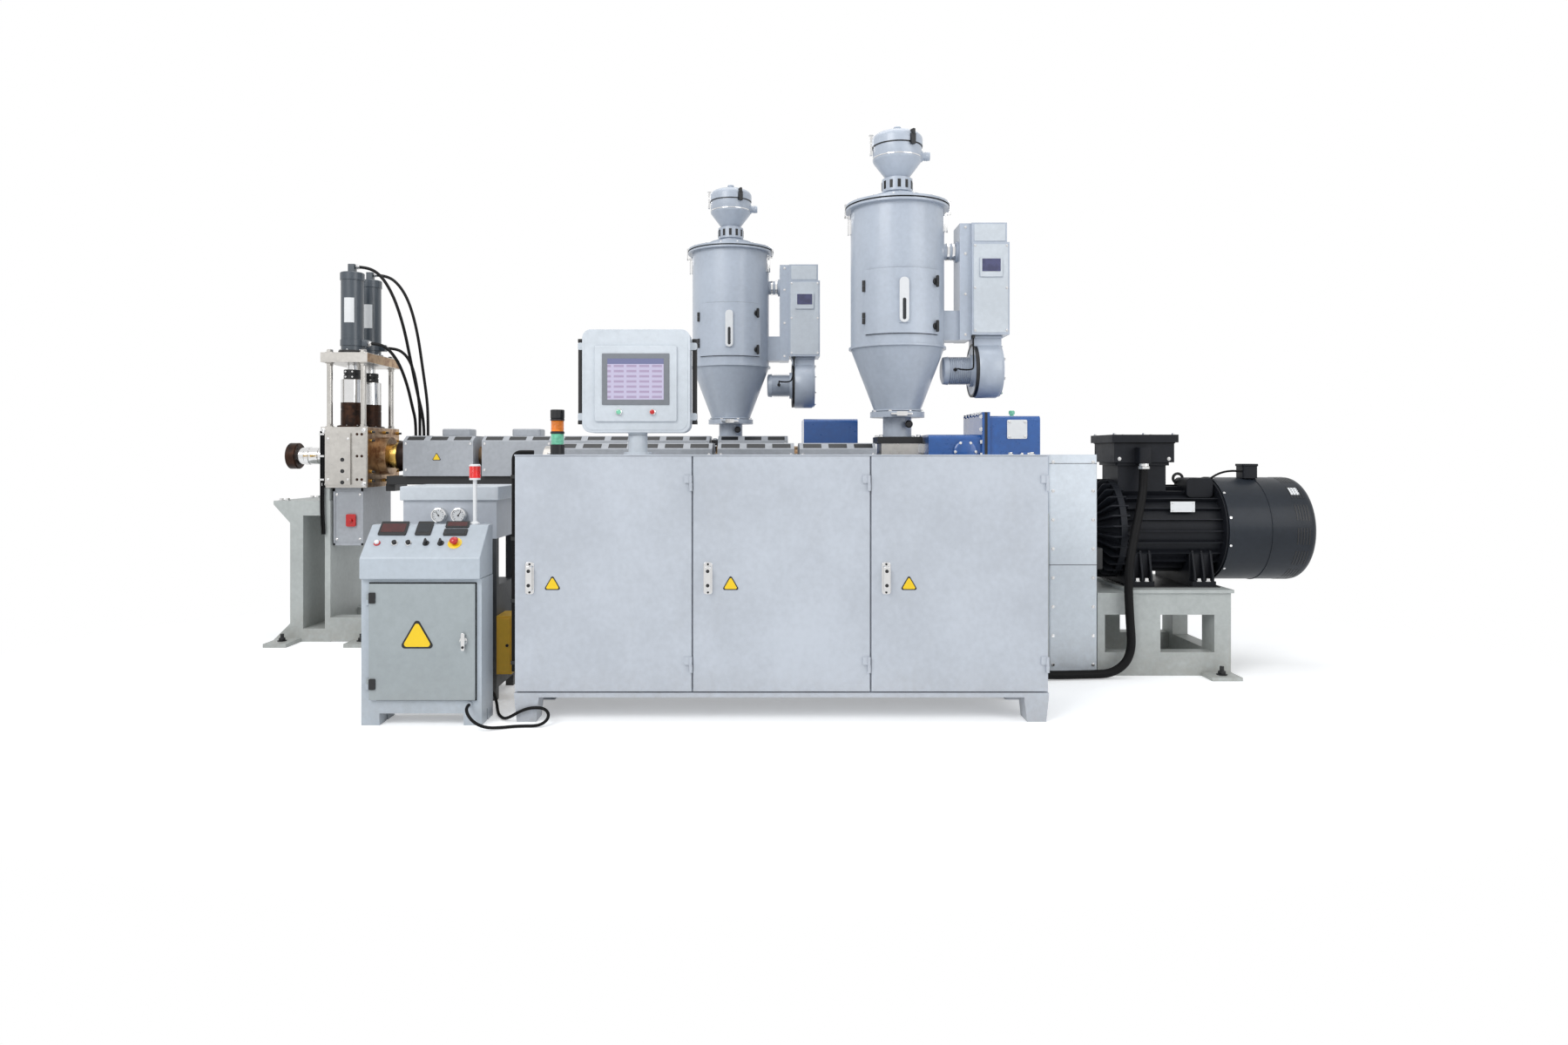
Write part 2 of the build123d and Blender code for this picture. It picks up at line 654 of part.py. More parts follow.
def panel_grips():
    """Make the two upright grips at the panel's sides."""
    inner = PANEL_WIDTH / 2 + PANEL_GRIP_OFFSET - PANEL_GRIP_DIAMETER / 2
    grips = []
    for side in (-1, 1):
        ends = sorted((PANEL_X + side * inner, PANEL_X + side * (inner + PANEL_GRIP_DIAMETER)))
        grip = slab(*ends, PANEL_Y - PANEL_GRIP_DIAMETER / 2, PANEL_Y + PANEL_GRIP_DIAMETER / 2,
                    PANEL_BOTTOM + PANEL_GRIP_BOTTOM, PANEL_BOTTOM + PANEL_GRIP_BOTTOM + PANEL_GRIP_LENGTH)
        grips.append(fillet(grip.edges().filter_by(Axis.Z), PANEL_GRIP_DIAMETER / 5))
    return group(grips)


def panel_screen():
    """Make the raised bezel with its sunk screen."""
    low = PANEL_BEZEL_MIDDLE - PANEL_BEZEL_HEIGHT / 2
    bezel_front = PANEL_FRONT - PANEL_BEZEL_PROUD
    bezel = slab(PANEL_X - PANEL_BEZEL_WIDTH / 2, PANEL_X + PANEL_BEZEL_WIDTH / 2, bezel_front, PANEL_FRONT,
                 low, low + PANEL_BEZEL_HEIGHT)
    middle = PANEL_BEZEL_MIDDLE + PANEL_SCREEN_RISE
    bezel -= slab(PANEL_X - PANEL_SCREEN_WIDTH / 2, PANEL_X + PANEL_SCREEN_WIDTH / 2, bezel_front,
                  bezel_front + PANEL_SCREEN_RECESS, middle - PANEL_SCREEN_HEIGHT / 2,
                  middle + PANEL_SCREEN_HEIGHT / 2)
    return bezel


def panel_buttons():
    """Make the two push buttons under the screen."""
    face = PANEL_FRONT - PANEL_BEZEL_PROUD
    height = PANEL_BEZEL_MIDDLE - PANEL_BEZEL_HEIGHT / 2 + PANEL_BUTTON_RISE
    offsets = (-PANEL_BUTTON_SPACING / 2, PANEL_BUTTON_SPACING / 2)
    return group([rod_y(face - PANEL_BUTTON_PROUD, face, PANEL_X + offset, height, PANEL_BUTTON_DIAMETER)
                  for offset in offsets])


def stack_light():
    """Stack the light's base, lenses, rings and cap."""
    outline = [(0, 0)]
    height = 0
    for count, step in enumerate(STACK_STEPS):
        radius = STACK_DIAMETER / 2 - (0 if count % 2 == 0 else 2)
        outline += [(radius, height), (radius, height + step)]
        height += step
    outline.append((0, height))
    return turned(outline, STACK_X, STACK_Y, CABINET_TOP)


CONSOLE_BACK = CONSOLE_FRONT + CONSOLE_DEPTH
CONSOLE_HINGE_X = CONSOLE_DOOR_LEFT - CONSOLE_HINGE_DIAMETER / 2 - RUN_GAP
CONSOLE_HINGE_Y = CONSOLE_FRONT - CONSOLE_HINGE_DIAMETER / 2 - RUN_GAP
CONSOLE_HEAD_FRONT = CONSOLE_FRONT - CONSOLE_HEAD_OVERHANG
CONSOLE_HEAD_RIDGE = 60
CONSOLE_HEAD_SLOPE_DEPTH = CONSOLE_DEPTH + CONSOLE_HEAD_OVERHANG - CONSOLE_HEAD_RIDGE
CONSOLE_HEAD_TOP = CONSOLE_BODY_TOP + CONSOLE_HEAD_EDGE + CONSOLE_HEAD_RISE


def console_body():
    """Make the console's hollow body on four legs, open behind its door."""
    body = slab(CONSOLE_LEFT, CONSOLE_RIGHT, CONSOLE_FRONT, CONSOLE_BACK, CONSOLE_FLOOR, CONSOLE_BODY_TOP)
    body -= slab(CONSOLE_LEFT + CONSOLE_WALL, CONSOLE_RIGHT - CONSOLE_WALL, CONSOLE_FRONT + CONSOLE_WALL,
                 CONSOLE_BACK - CONSOLE_WALL, CONSOLE_FLOOR + CONSOLE_WALL, CONSOLE_BODY_TOP - CONSOLE_WALL)
    body -= slab(CONSOLE_DOOR_LEFT + CONSOLE_DOOR_LAP, CONSOLE_DOOR_RIGHT - CONSOLE_DOOR_LAP, CONSOLE_FRONT,
                 CONSOLE_FRONT + CONSOLE_WALL, CONSOLE_DOOR_BOTTOM + CONSOLE_DOOR_LAP,
                 CONSOLE_DOOR_TOP - CONSOLE_DOOR_LAP)
    for x in (CONSOLE_LEFT, CONSOLE_RIGHT - CONSOLE_LEG):
        for y in (CONSOLE_FRONT, CONSOLE_BACK - CONSOLE_LEG):
            body += slab(x, x + CONSOLE_LEG, y, y + CONSOLE_LEG, 0, CONSOLE_FLOOR)
    for height in hinge_heights(CONSOLE_DOOR_BOTTOM, CONSOLE_DOOR_TOP, CONSOLE_HINGE_INSET):
        low = height - CONSOLE_HINGE_LENGTH / 2
        high = height - RUN_GAP / 2
        body += rod_z(low, high, CONSOLE_HINGE_X, CONSOLE_HINGE_Y, CONSOLE_HINGE_DIAMETER)
        body += slab(CONSOLE_HINGE_X - CONSOLE_HINGE_DIAMETER, CONSOLE_HINGE_X, CONSOLE_HINGE_Y, CONSOLE_FRONT,
                     low, high)
    x, y, z = CONSOLE_CABLE[0]
    return body + rod_y(y, CONSOLE_FRONT, x, z, CONSOLE_CABLE_DIAMETER + GLAND_WALL)


def console_door():
    """Make the console's door with its two hinge knuckles on the left and its round latch."""
    back = CONSOLE_FRONT - RUN_GAP
    front = back - CONSOLE_DOOR_THICK
    door = slab(CONSOLE_DOOR_LEFT, CONSOLE_DOOR_RIGHT, front, back, CONSOLE_DOOR_BOTTOM, CONSOLE_DOOR_TOP)
    for height in hinge_heights(CONSOLE_DOOR_BOTTOM, CONSOLE_DOOR_TOP, CONSOLE_HINGE_INSET):
        low = height + RUN_GAP / 2
        high = height + CONSOLE_HINGE_LENGTH / 2
        door += rod_z(low, high, CONSOLE_HINGE_X, CONSOLE_HINGE_Y, CONSOLE_HINGE_DIAMETER)
        door += slab(CONSOLE_HINGE_X, CONSOLE_DOOR_LEFT, CONSOLE_HINGE_Y - CONSOLE_HINGE_DIAMETER / 2,
                     CONSOLE_HINGE_Y, low, high)
    latch_x = CONSOLE_DOOR_RIGHT - CONSOLE_HANDLE_DIAMETER * 2
    latch_z = (CONSOLE_DOOR_BOTTOM + CONSOLE_DOOR_TOP) / 2
    return door + rod_y(front - CONSOLE_HANDLE_PROUD, front, latch_x, latch_z, CONSOLE_HANDLE_DIAMETER)


def console_head():
    """Make the console's head with its sloping instrument face."""
    edge_top = CONSOLE_BODY_TOP + CONSOLE_HEAD_EDGE
    outline = [(CONSOLE_HEAD_FRONT, CONSOLE_BODY_TOP), (CONSOLE_HEAD_FRONT, edge_top),
               (CONSOLE_BACK - CONSOLE_HEAD_RIDGE, CONSOLE_HEAD_TOP), (CONSOLE_BACK, CONSOLE_HEAD_TOP),
               (CONSOLE_BACK, CONSOLE_BODY_TOP)]
    return prism_x(outline, CONSOLE_LEFT, CONSOLE_RIGHT)


DISPLAYS = ((-1687, 171, 126, 80), (-1548, 171, 71, 80), (-1403, 194, 106, 38), (-1403, 148, 106, 38))
BUTTONS = (-1739, -1661, -1599, -1521, -1455)
STOP_X = -1392
BUTTON_ROW = 85


def console_controls():
    """Seat the displays, buttons and stop button on the console's sloping face."""
    slope = math.atan2(CONSOLE_HEAD_RISE, CONSOLE_HEAD_SLOPE_DEPTH)
    normal = (0, -math.sin(slope), math.cos(slope))

    def on_slope(x, rise):
        y = CONSOLE_HEAD_FRONT + rise * math.cos(slope)
        z = CONSOLE_BODY_TOP + CONSOLE_HEAD_EDGE + rise * math.sin(slope)
        return Plane(origin=(x, y, z), x_dir=(1, 0, 0), z_dir=normal)

    pieces = []
    for x, rise, width, height in DISPLAYS:
        pieces.append(on_slope(x, rise) * Pos(0, 0, CONTROL_PROUD / 2) * Box(width, height, CONTROL_PROUD))
    for x in BUTTONS:
        pieces.append(on_slope(x, BUTTON_ROW) * Pos(0, 0, BUTTON_PROUD / 2) * Cylinder(BUTTON_DIAMETER / 2, BUTTON_PROUD))
    pieces.append(on_slope(STOP_X, BUTTON_ROW) * Pos(0, 0, STOP_PROUD / 2) * Cylinder(STOP_DIAMETER / 2, STOP_PROUD))
    return group(pieces)


def alarm_lamp():
    """Turn the alarm lamp with its stem and foot."""
    foot_top = CONSOLE_HEAD_TOP + LAMP_FOOT_THICK
    lamp_bottom = LAMP_TOP - LAMP_HEIGHT
    outline = [(0, CONSOLE_HEAD_TOP), (LAMP_FOOT_DIAMETER / 2, CONSOLE_HEAD_TOP), (LAMP_FOOT_DIAMETER / 2, foot_top),
               (LAMP_STEM_DIAMETER / 2, foot_top), (LAMP_STEM_DIAMETER / 2, lamp_bottom),
               (LAMP_DIAMETER / 2, lamp_bottom), (LAMP_DIAMETER / 2, LAMP_TOP), (0, LAMP_TOP)]
    return turned(outline, LAMP_X, LAMP_Y)


HYDRAULIC_RIGHT = HYDRAULIC_LEFT + HYDRAULIC_WIDTH
HYDRAULIC_BACK = HYDRAULIC_FRONT + HYDRAULIC_DEPTH
HYDRAULIC_MIDDLE_X = (HYDRAULIC_LEFT + HYDRAULIC_RIGHT) / 2
HYDRAULIC_MIDDLE_Y = (HYDRAULIC_FRONT + HYDRAULIC_BACK) / 2


def hydraulic_unit():
    """Make the oil tank on its feet with the four posts that carry the gauge box."""
    unit = slab(HYDRAULIC_LEFT, HYDRAULIC_RIGHT, HYDRAULIC_FRONT, HYDRAULIC_BACK, HYDRAULIC_FOOT_HEIGHT,
                HYDRAULIC_TANK_TOP)
    for x in (HYDRAULIC_LEFT, HYDRAULIC_RIGHT - GAUGE_POST):
        for y in (HYDRAULIC_FRONT, HYDRAULIC_BACK - GAUGE_POST):
            unit += slab(x, x + GAUGE_POST, y, y + GAUGE_POST, 0, GAUGE_BOX_BOTTOM)
    x, y, z = CONSOLE_CABLE[-1]
    return unit + rod_y(y, HYDRAULIC_FRONT, x, z, CONSOLE_CABLE_DIAMETER + GLAND_WALL)


def hydraulic_pump():
    """Stand the pump's motor on the tank."""
    return rod_z(HYDRAULIC_TANK_TOP, HYDRAULIC_TANK_TOP + HYDRAULIC_MOTOR_LENGTH, HYDRAULIC_MIDDLE_X,
                 HYDRAULIC_MIDDLE_Y, HYDRAULIC_MOTOR_DIAMETER)


def gauge_box():
    """Make the gauge box with its overhanging lid and its two round gauges."""
    box = slab(HYDRAULIC_LEFT, HYDRAULIC_RIGHT, HYDRAULIC_FRONT, HYDRAULIC_BACK, GAUGE_BOX_BOTTOM, GAUGE_BOX_TOP)
    box += slab(HYDRAULIC_LEFT - GAUGE_LID_OVERHANG, HYDRAULIC_RIGHT + GAUGE_LID_OVERHANG,
                HYDRAULIC_FRONT - GAUGE_LID_OVERHANG, HYDRAULIC_BACK + GAUGE_LID_OVERHANG, GAUGE_BOX_TOP, GAUGE_LID_TOP)
    for side in (-1, 1):
        box += rod_y(HYDRAULIC_FRONT - GAUGE_PROUD, HYDRAULIC_FRONT, HYDRAULIC_MIDDLE_X + side * GAUGE_SPACING / 2,
                     GAUGE_Z, GAUGE_DIAMETER)
    return box


def valve_box():
    """Make the valve box on the tank's right side."""
    return slab(HYDRAULIC_RIGHT, HYDRAULIC_RIGHT + VALVE_BOX_WIDTH, HYDRAULIC_FRONT,
                HYDRAULIC_FRONT + VALVE_BOX_DEPTH, VALVE_BOX_BOTTOM, VALVE_BOX_TOP)


MAIN_FRONT = MAIN_Y - MAIN_BASE_HALF_DEPTH
MAIN_BACK = MAIN_Y + MAIN_BASE_HALF_DEPTH


def cover_middle(barrel, index):
    """Give the X of the middle of one of the barrel's covers."""
    pitch = barrel.cover_length + barrel.cover_gap
    return barrel.cover_right - pitch * index - barrel.cover_length / 2


def barrel_posts(barrel, front, back, rail_bottom, rail_top):
    """Make the cross ties with their posts and saddles that carry a barrel in its covers."""
    posts = None
    half = POST_WIDTH / 2
    for index in (1, 3):
        x = cover_middle(barrel, index)
        post = slab(x - half, x + half, front, back, rail_bottom, rail_top)
        post += slab(x - half, x + half, barrel.y - half, barrel.y + half, rail_top, barrel.z)
        post -= rod_x(x - POST_WIDTH, x + POST_WIDTH, barrel.y, barrel.z, barrel.diameter + 2 * SEAT_GAP)
        posts = post if posts is None else posts + post
    return posts


def anchor_foot(x0, x1, y0, y1, thick, bore_y):
    """Make a foot plate with its anchor hole."""
    plate = slab(x0, x1, y0, y1, 0, thick)
    return plate - rod_z(0, thick, (x0 + x1) / 2, bore_y, ANCHOR_BORE)


def hollow_frame(x0, x1, y0, y1, z0, z1, side):
    """Make a box frame that is open underneath."""
    frame = slab(x0, x1, y0, y1, z0, z1)
    return frame - slab(x0 + side, x1 - side, y0 + side, y1 - side, z0, z1 - side)


MAIN_ANCHOR_REACH = 65
MAIN_END_WINDOW_INSET = 150


def main_base():
    """Weld the main extruder's base: motor frame with windows, top plate, end feet."""
    base = hollow_frame(MAIN_GUARD_RIGHT, MAIN_MOTOR_BASE_RIGHT, MAIN_FRONT, MAIN_BACK, 0, MAIN_MOTOR_BASE_TOP,
                        MAIN_FRAME_SIDE)
    for left, right in (MAIN_WINDOW_1, MAIN_WINDOW_2):
        base -= slab(left, right, MAIN_FRONT, MAIN_BACK, MAIN_WINDOW_BOTTOM, MAIN_WINDOW_TOP)
    base -= slab(MAIN_MOTOR_BASE_RIGHT - MAIN_FRAME_SIDE, MAIN_MOTOR_BASE_RIGHT,
                 MAIN_FRONT + MAIN_END_WINDOW_INSET, MAIN_BACK - MAIN_END_WINDOW_INSET,
                 MAIN_WINDOW_BOTTOM, MAIN_WINDOW_TOP)
    overhang = MAIN_MOTOR_PLATE_OVERHANG
    base += slab(MAIN_MOTOR_PLATE_LEFT, MAIN_MOTOR_BASE_RIGHT + overhang, MAIN_FRONT - overhang,
                 MAIN_BACK + overhang, MAIN_MOTOR_BASE_TOP, MAIN_MOTOR_BASE_TOP + MAIN_MOTOR_PLATE_THICK)
    foot_left = MAIN_MOTOR_BASE_RIGHT - MAIN_FOOT_WIDTH
    base += anchor_foot(foot_left, MAIN_MOTOR_BASE_RIGHT, MAIN_FRONT - MAIN_FOOT_LENGTH, MAIN_FRONT,
                        MAIN_FOOT_THICK, MAIN_FRONT - MAIN_ANCHOR_REACH)
    base += anchor_foot(foot_left, MAIN_MOTOR_BASE_RIGHT, MAIN_BACK, MAIN_BACK + MAIN_FOOT_LENGTH,
                        MAIN_FOOT_THICK, MAIN_BACK + MAIN_ANCHOR_REACH)
    return base


def main_pedestal():
    """Weld the pedestal under the gearbox with the rails that run under the barrel."""
    frame = hollow_frame(MAIN_GEARBOX_LEFT, MAIN_GUARD_LEFT, MAIN_FRONT, MAIN_BACK, 0, MAIN_PEDESTAL_TOP,
                         MAIN_FRAME_SIDE)
    for front in (MAIN_FRONT, MAIN_BACK - MAIN_RAIL_WIDTH):
        frame += slab(MAIN_RAIL_LEFT, MAIN_GEARBOX_LEFT, front, front + MAIN_RAIL_WIDTH, 0, MAIN_RAIL_HEIGHT)
    frame += barrel_posts(MAIN_BARREL, MAIN_FRONT, MAIN_BACK, 0, MAIN_RAIL_HEIGHT)
    foot_right = MAIN_RAIL_LEFT + MAIN_FOOT_WIDTH
    frame += anchor_foot(MAIN_RAIL_LEFT, foot_right, MAIN_FRONT - MAIN_FOOT_LENGTH, MAIN_FRONT,
                         MAIN_FOOT_THICK, MAIN_FRONT - MAIN_ANCHOR_REACH)
    frame += anchor_foot(MAIN_RAIL_LEFT, foot_right, MAIN_BACK, MAIN_BACK + MAIN_FOOT_LENGTH,
                         MAIN_FOOT_THICK, MAIN_BACK + MAIN_ANCHOR_REACH)
    return frame


def drive_guard():
    """Make the tall closed guard over the belt drive."""
    guard = slab(MAIN_GUARD_LEFT, MAIN_GUARD_RIGHT, MAIN_FRONT, MAIN_BACK, 0, MAIN_GUARD_TOP)
    return fillet(guard.edges().filter_by(Axis.Z), MAIN_GUARD_CORNER)


def main_gearbox():
    """Make the low and the tall housing of the gearbox with the input flange."""
    half = MAIN_GEARBOX_HALF_DEPTH
    low = slab(MAIN_GEARBOX_LEFT, MAIN_GEARBOX_STEP, MAIN_Y - half, MAIN_Y + half, MAIN_PEDESTAL_TOP,
               MAIN_GEARBOX_LOW_TOP)
    low = fillet(low.edges().filter_by(Axis.X).group_by(Axis.Z)[-1], GEARBOX_CORNER)
    tall = slab(MAIN_GEARBOX_STEP, MAIN_GEARBOX_RIGHT, MAIN_Y - half, MAIN_Y + half, MAIN_PEDESTAL_TOP,
                MAIN_GEARBOX_TALL_TOP)
    tall = fillet(tall.edges().filter_by(Axis.X).group_by(Axis.Z)[-1], GEARBOX_CORNER)
    flange = slab(MAIN_GEARBOX_STEP, MAIN_GEARBOX_STEP + MAIN_GEARBOX_FLANGE, MAIN_Y - half - MAIN_GEARBOX_FLANGE_PROUD,
                  MAIN_Y + half + MAIN_GEARBOX_FLANGE_PROUD, MAIN_PEDESTAL_TOP,
                  MAIN_GEARBOX_TALL_TOP + MAIN_GEARBOX_FLANGE_PROUD)
    inlet = rod_x(MAIN_GEARBOX_RIGHT, MAIN_GUARD_LEFT, MAIN_Y, MAIN_GEARBOX_INPUT_Z, MAIN_GEARBOX_INPUT_DIAMETER)
    return low + tall + flange + inlet


def finned_body(left, right, y, z, diameter, fins, fin_depth, fin_thick):
    """Make a motor's body with fins along its length."""
    body = rod_x(left, right, y, z, diameter - 2 * fin_depth)
    height = fin_depth * 2
    for count in range(fins):
        fin = Pos((left + right) / 2, 0, diameter / 2 - height / 2) * Box(right - left, fin_thick, height)
        body += Pos(0, y, z) * Rot(360 * count / fins, 0, 0) * fin
    return body


COWL_INNER = MAIN_COWL_DIAMETER - 2 * MAIN_COWL_WALL
COWL_SPOKES = (0, 60, 120)
COWL_RINGS = (126, 260)


def main_motor():
    """Make the main motor: end shields, end bell, finned body, feet and shaft."""
    body_left = MAIN_MOTOR_LEFT + MAIN_MOTOR_SHIELD_THICK
    body_right = MAIN_MOTOR_RIGHT - MAIN_MOTOR_SHIELD_THICK
    motor = finned_body(body_left, body_right, MAIN_Y, MAIN_MOTOR_Z, MAIN_MOTOR_DIAMETER, MAIN_MOTOR_FINS,
                        MAIN_MOTOR_FIN_DEPTH, MAIN_MOTOR_FIN_THICK)
    motor += rod_x(MAIN_MOTOR_LEFT, body_left, MAIN_Y, MAIN_MOTOR_Z, MAIN_MOTOR_SHIELD)
    motor += rod_x(body_right, MAIN_MOTOR_RIGHT, MAIN_Y, MAIN_MOTOR_Z, COWL_INNER - 2 * SEAT_GAP)
    motor += rod_x(MAIN_GUARD_RIGHT, MAIN_MOTOR_LEFT, MAIN_Y, MAIN_MOTOR_Z, MAIN_MOTOR_SHAFT)
    bell_left = MAIN_MOTOR_LEFT - MAIN_BELL_LENGTH
    bell = [(bell_left, 0), (bell_left, MAIN_BELL_NOSE / 2), (MAIN_MOTOR_LEFT, MAIN_BELL_ROOT / 2),
            (MAIN_MOTOR_LEFT, 0)]
    motor += turned_x(bell, MAIN_Y, MAIN_MOTOR_Z)
    plate_top = MAIN_MOTOR_BASE_TOP + MAIN_MOTOR_PLATE_THICK
    foot_top = plate_top + MAIN_MOTOR_FOOT_THICK
    half = MAIN_MOTOR_FOOT_SPAN / 2
    for left in (MAIN_MOTOR_LEFT + MAIN_MOTOR_FOOT_INSET,
                 MAIN_MOTOR_LEFT + MAIN_MOTOR_FOOT_INSET + MAIN_MOTOR_FOOT_PITCH):
        right = left + MAIN_MOTOR_FOOT_LENGTH
        motor += slab(left, right, MAIN_Y - half, MAIN_Y + half, plate_top, foot_top)
        web_half = half - MAIN_MOTOR_FOOT_WEB / 2
        motor += slab(left, right, MAIN_Y - web_half, MAIN_Y + web_half, foot_top, MAIN_MOTOR_Z - half / 2)
    return motor


def main_motor_cowl():
    """Make the fan cowl with its rounded end and the rings over its air intake."""
    left = MAIN_COWL_LEFT
    cowl = rod_x(left, MAIN_COWL_RIGHT, MAIN_Y, MAIN_MOTOR_Z, MAIN_COWL_DIAMETER)
    end_edge = cowl.edges().filter_by(GeomType.CIRCLE).sort_by(Axis.X)[-1]
    cowl = fillet(end_edge, MAIN_COWL_ROUND)
    hollow = rod_x(left, MAIN_COWL_RIGHT - MAIN_COWL_WALL, MAIN_Y, MAIN_MOTOR_Z, COWL_INNER)
    hollow_edge = hollow.edges().filter_by(GeomType.CIRCLE).sort_by(Axis.X)[-1]
    cowl -= fillet(hollow_edge, MAIN_COWL_ROUND - MAIN_COWL_WALL)
    cowl -= rod_x(MAIN_COWL_RIGHT - MAIN_COWL_WALL, MAIN_COWL_RIGHT, MAIN_Y, MAIN_MOTOR_Z, MAIN_COWL_INTAKE)
    bar = MAIN_COWL_WALL * 2
    for angle in COWL_SPOKES:
        spoke = Pos(MAIN_COWL_RIGHT - MAIN_COWL_WALL / 2, MAIN_Y, MAIN_MOTOR_Z) * Rot(angle, 0, 0)
        cowl += spoke * Box(MAIN_COWL_WALL, MAIN_COWL_INTAKE + bar, bar)
    for inner_diameter in COWL_RINGS:
        outer = rod_x(MAIN_COWL_RIGHT - MAIN_COWL_WALL, MAIN_COWL_RIGHT, MAIN_Y, MAIN_MOTOR_Z, inner_diameter + 2 * bar)
        inner = rod_x(MAIN_COWL_RIGHT - MAIN_COWL_WALL, MAIN_COWL_RIGHT, MAIN_Y, MAIN_MOTOR_Z, inner_diameter)
        cowl += outer - inner
    return cowl


def main_terminal_box():
    """Make the terminal box with its lid, its neck on the motor and its cable gland."""
    right = MAIN_BOX_LEFT + MAIN_BOX_WIDTH
    back = MAIN_BOX_FRONT + MAIN_BOX_DEPTH
    box = slab(MAIN_BOX_LEFT, right, MAIN_BOX_FRONT, back, MAIN_BOX_BOTTOM, MAIN_BOX_TOP)
    box += slab(MAIN_BOX_LEFT - MAIN_BOX_LID_LAP, right + MAIN_BOX_LID_LAP, MAIN_BOX_FRONT - MAIN_BOX_LID_LAP,
                back + MAIN_BOX_LID_LAP, MAIN_BOX_TOP, MAIN_BOX_TOP + MAIN_BOX_LID)
    inset = MAIN_BOX_NECK_INSET
    neck = slab(MAIN_BOX_LEFT + inset, right - inset, MAIN_BOX_FRONT + inset, back - inset, MAIN_MOTOR_Z,
                MAIN_BOX_BOTTOM)
    neck -= rod_x(MAIN_BOX_LEFT - inset, right + inset, MAIN_Y, MAIN_MOTOR_Z, MAIN_MOTOR_DIAMETER + 2 * SEAT_GAP)
    neck = neck.solids().sort_by(Axis.Z)[-1]
    x, y, low = MOTOR_CABLE[0]
    half = MOTOR_ELBOW_SIDE / 2
    elbow = slab(x - half, x + half, y - half, MAIN_BOX_FRONT, low, low + MOTOR_ELBOW_HEIGHT)
    elbow = fillet(elbow.edges().filter_by(Axis.Z).group_by(Axis.Y)[0], half / 2)
    return box + neck + elbow


def barrel_piece(barrel):
    """Make a barrel with its square feed block and its end flange."""
    flange_right = barrel.left + barrel.end_flange_length
    outline = [(barrel.right, 0), (barrel.right, barrel.diameter / 2), (flange_right, barrel.diameter / 2),
               (flange_right, barrel.end_flange / 2), (barrel.left, barrel.end_flange / 2), (barrel.left, 0)]
    piece = turned_x(outline, barrel.y, barrel.z)
    half_length = barrel.feed_length / 2
    half_depth = barrel.feed_depth / 2
    return piece + slab(barrel.feed_x - half_length, barrel.feed_x + half_length, barrel.y - half_depth,
                        barrel.y + half_depth, barrel.feed_bottom, barrel.feed_top)


def cover_outline(barrel, inset):
    """Give the (y, z) outline of a cover, moved inwards by the inset and open at the bottom."""
    half = barrel.cover_half_depth - inset
    top = barrel.z + barrel.cover_half_height - inset
    shoulder = top - barrel.cover_slope_drop
    bottom = barrel.z - barrel.cover_half_height + COVER_WALL - (2 * COVER_WALL if inset else COVER_WALL)
    ridge = half - barrel.cover_slope
    return [(barrel.y - half, bottom), (barrel.y - half, shoulder), (barrel.y - ridge, top),
            (barrel.y + ridge, top), (barrel.y + half, shoulder), (barrel.y + half, bottom)]


def barrel_covers(barrel, plate_side):
    """Fold the covers over a barrel, each with end walls and a row of slots in its sloping edge."""
    covers = []
    plate_half = plate_side / 2 + RUN_GAP * 4
    block_half = barrel.feed_length / 2 + RUN_GAP * 4
    block_depth = barrel.feed_depth / 2 + RUN_GAP * 4
    for index in range(barrel.cover_count):
        middle = cover_middle(barrel, index)
        left = middle - barrel.cover_length / 2
        right = middle + barrel.cover_length / 2
        cover = prism_x(cover_outline(barrel, 0), left, right)
        cover -= prism_x(cover_outline(barrel, COVER_WALL), left + COVER_WALL, right - COVER_WALL)
        cover -= rod_x(left, right, barrel.y, barrel.z, barrel.diameter + 2 * SEAT_GAP)
        pitch = barrel.cover_length / COVER_SLOTS
        slot_length = pitch * COVER_SLOT_SHARE
        slot_height = barrel.z + barrel.cover_half_height - barrel.cover_slope_drop / 2 - COVER_SLOT_HEIGHT / 2
        for count in range(COVER_SLOTS):
            slot_left = left + pitch * count + (pitch - slot_length) / 2
            cover -= slab(slot_left, slot_left + slot_length, barrel.y - barrel.cover_half_depth,
                          barrel.y - barrel.cover_half_depth + barrel.cover_slope,
                          slot_height, slot_height + COVER_SLOT_HEIGHT)
        if left < barrel.feed_x + block_half and right > barrel.feed_x - block_half:
            top = barrel.z + barrel.cover_half_height
            cover -= slab(barrel.feed_x - block_half, barrel.feed_x + block_half, barrel.y - block_depth,
                          barrel.y + block_depth, barrel.feed_bottom - block_half, top)
            cover -= slab(barrel.feed_x - plate_half, barrel.feed_x + plate_half, barrel.y - plate_half,
                          barrel.y + plate_half, barrel.feed_top - FEED_PLATE_THICK / 4, top)
        covers.append(cover)
    return group(covers)


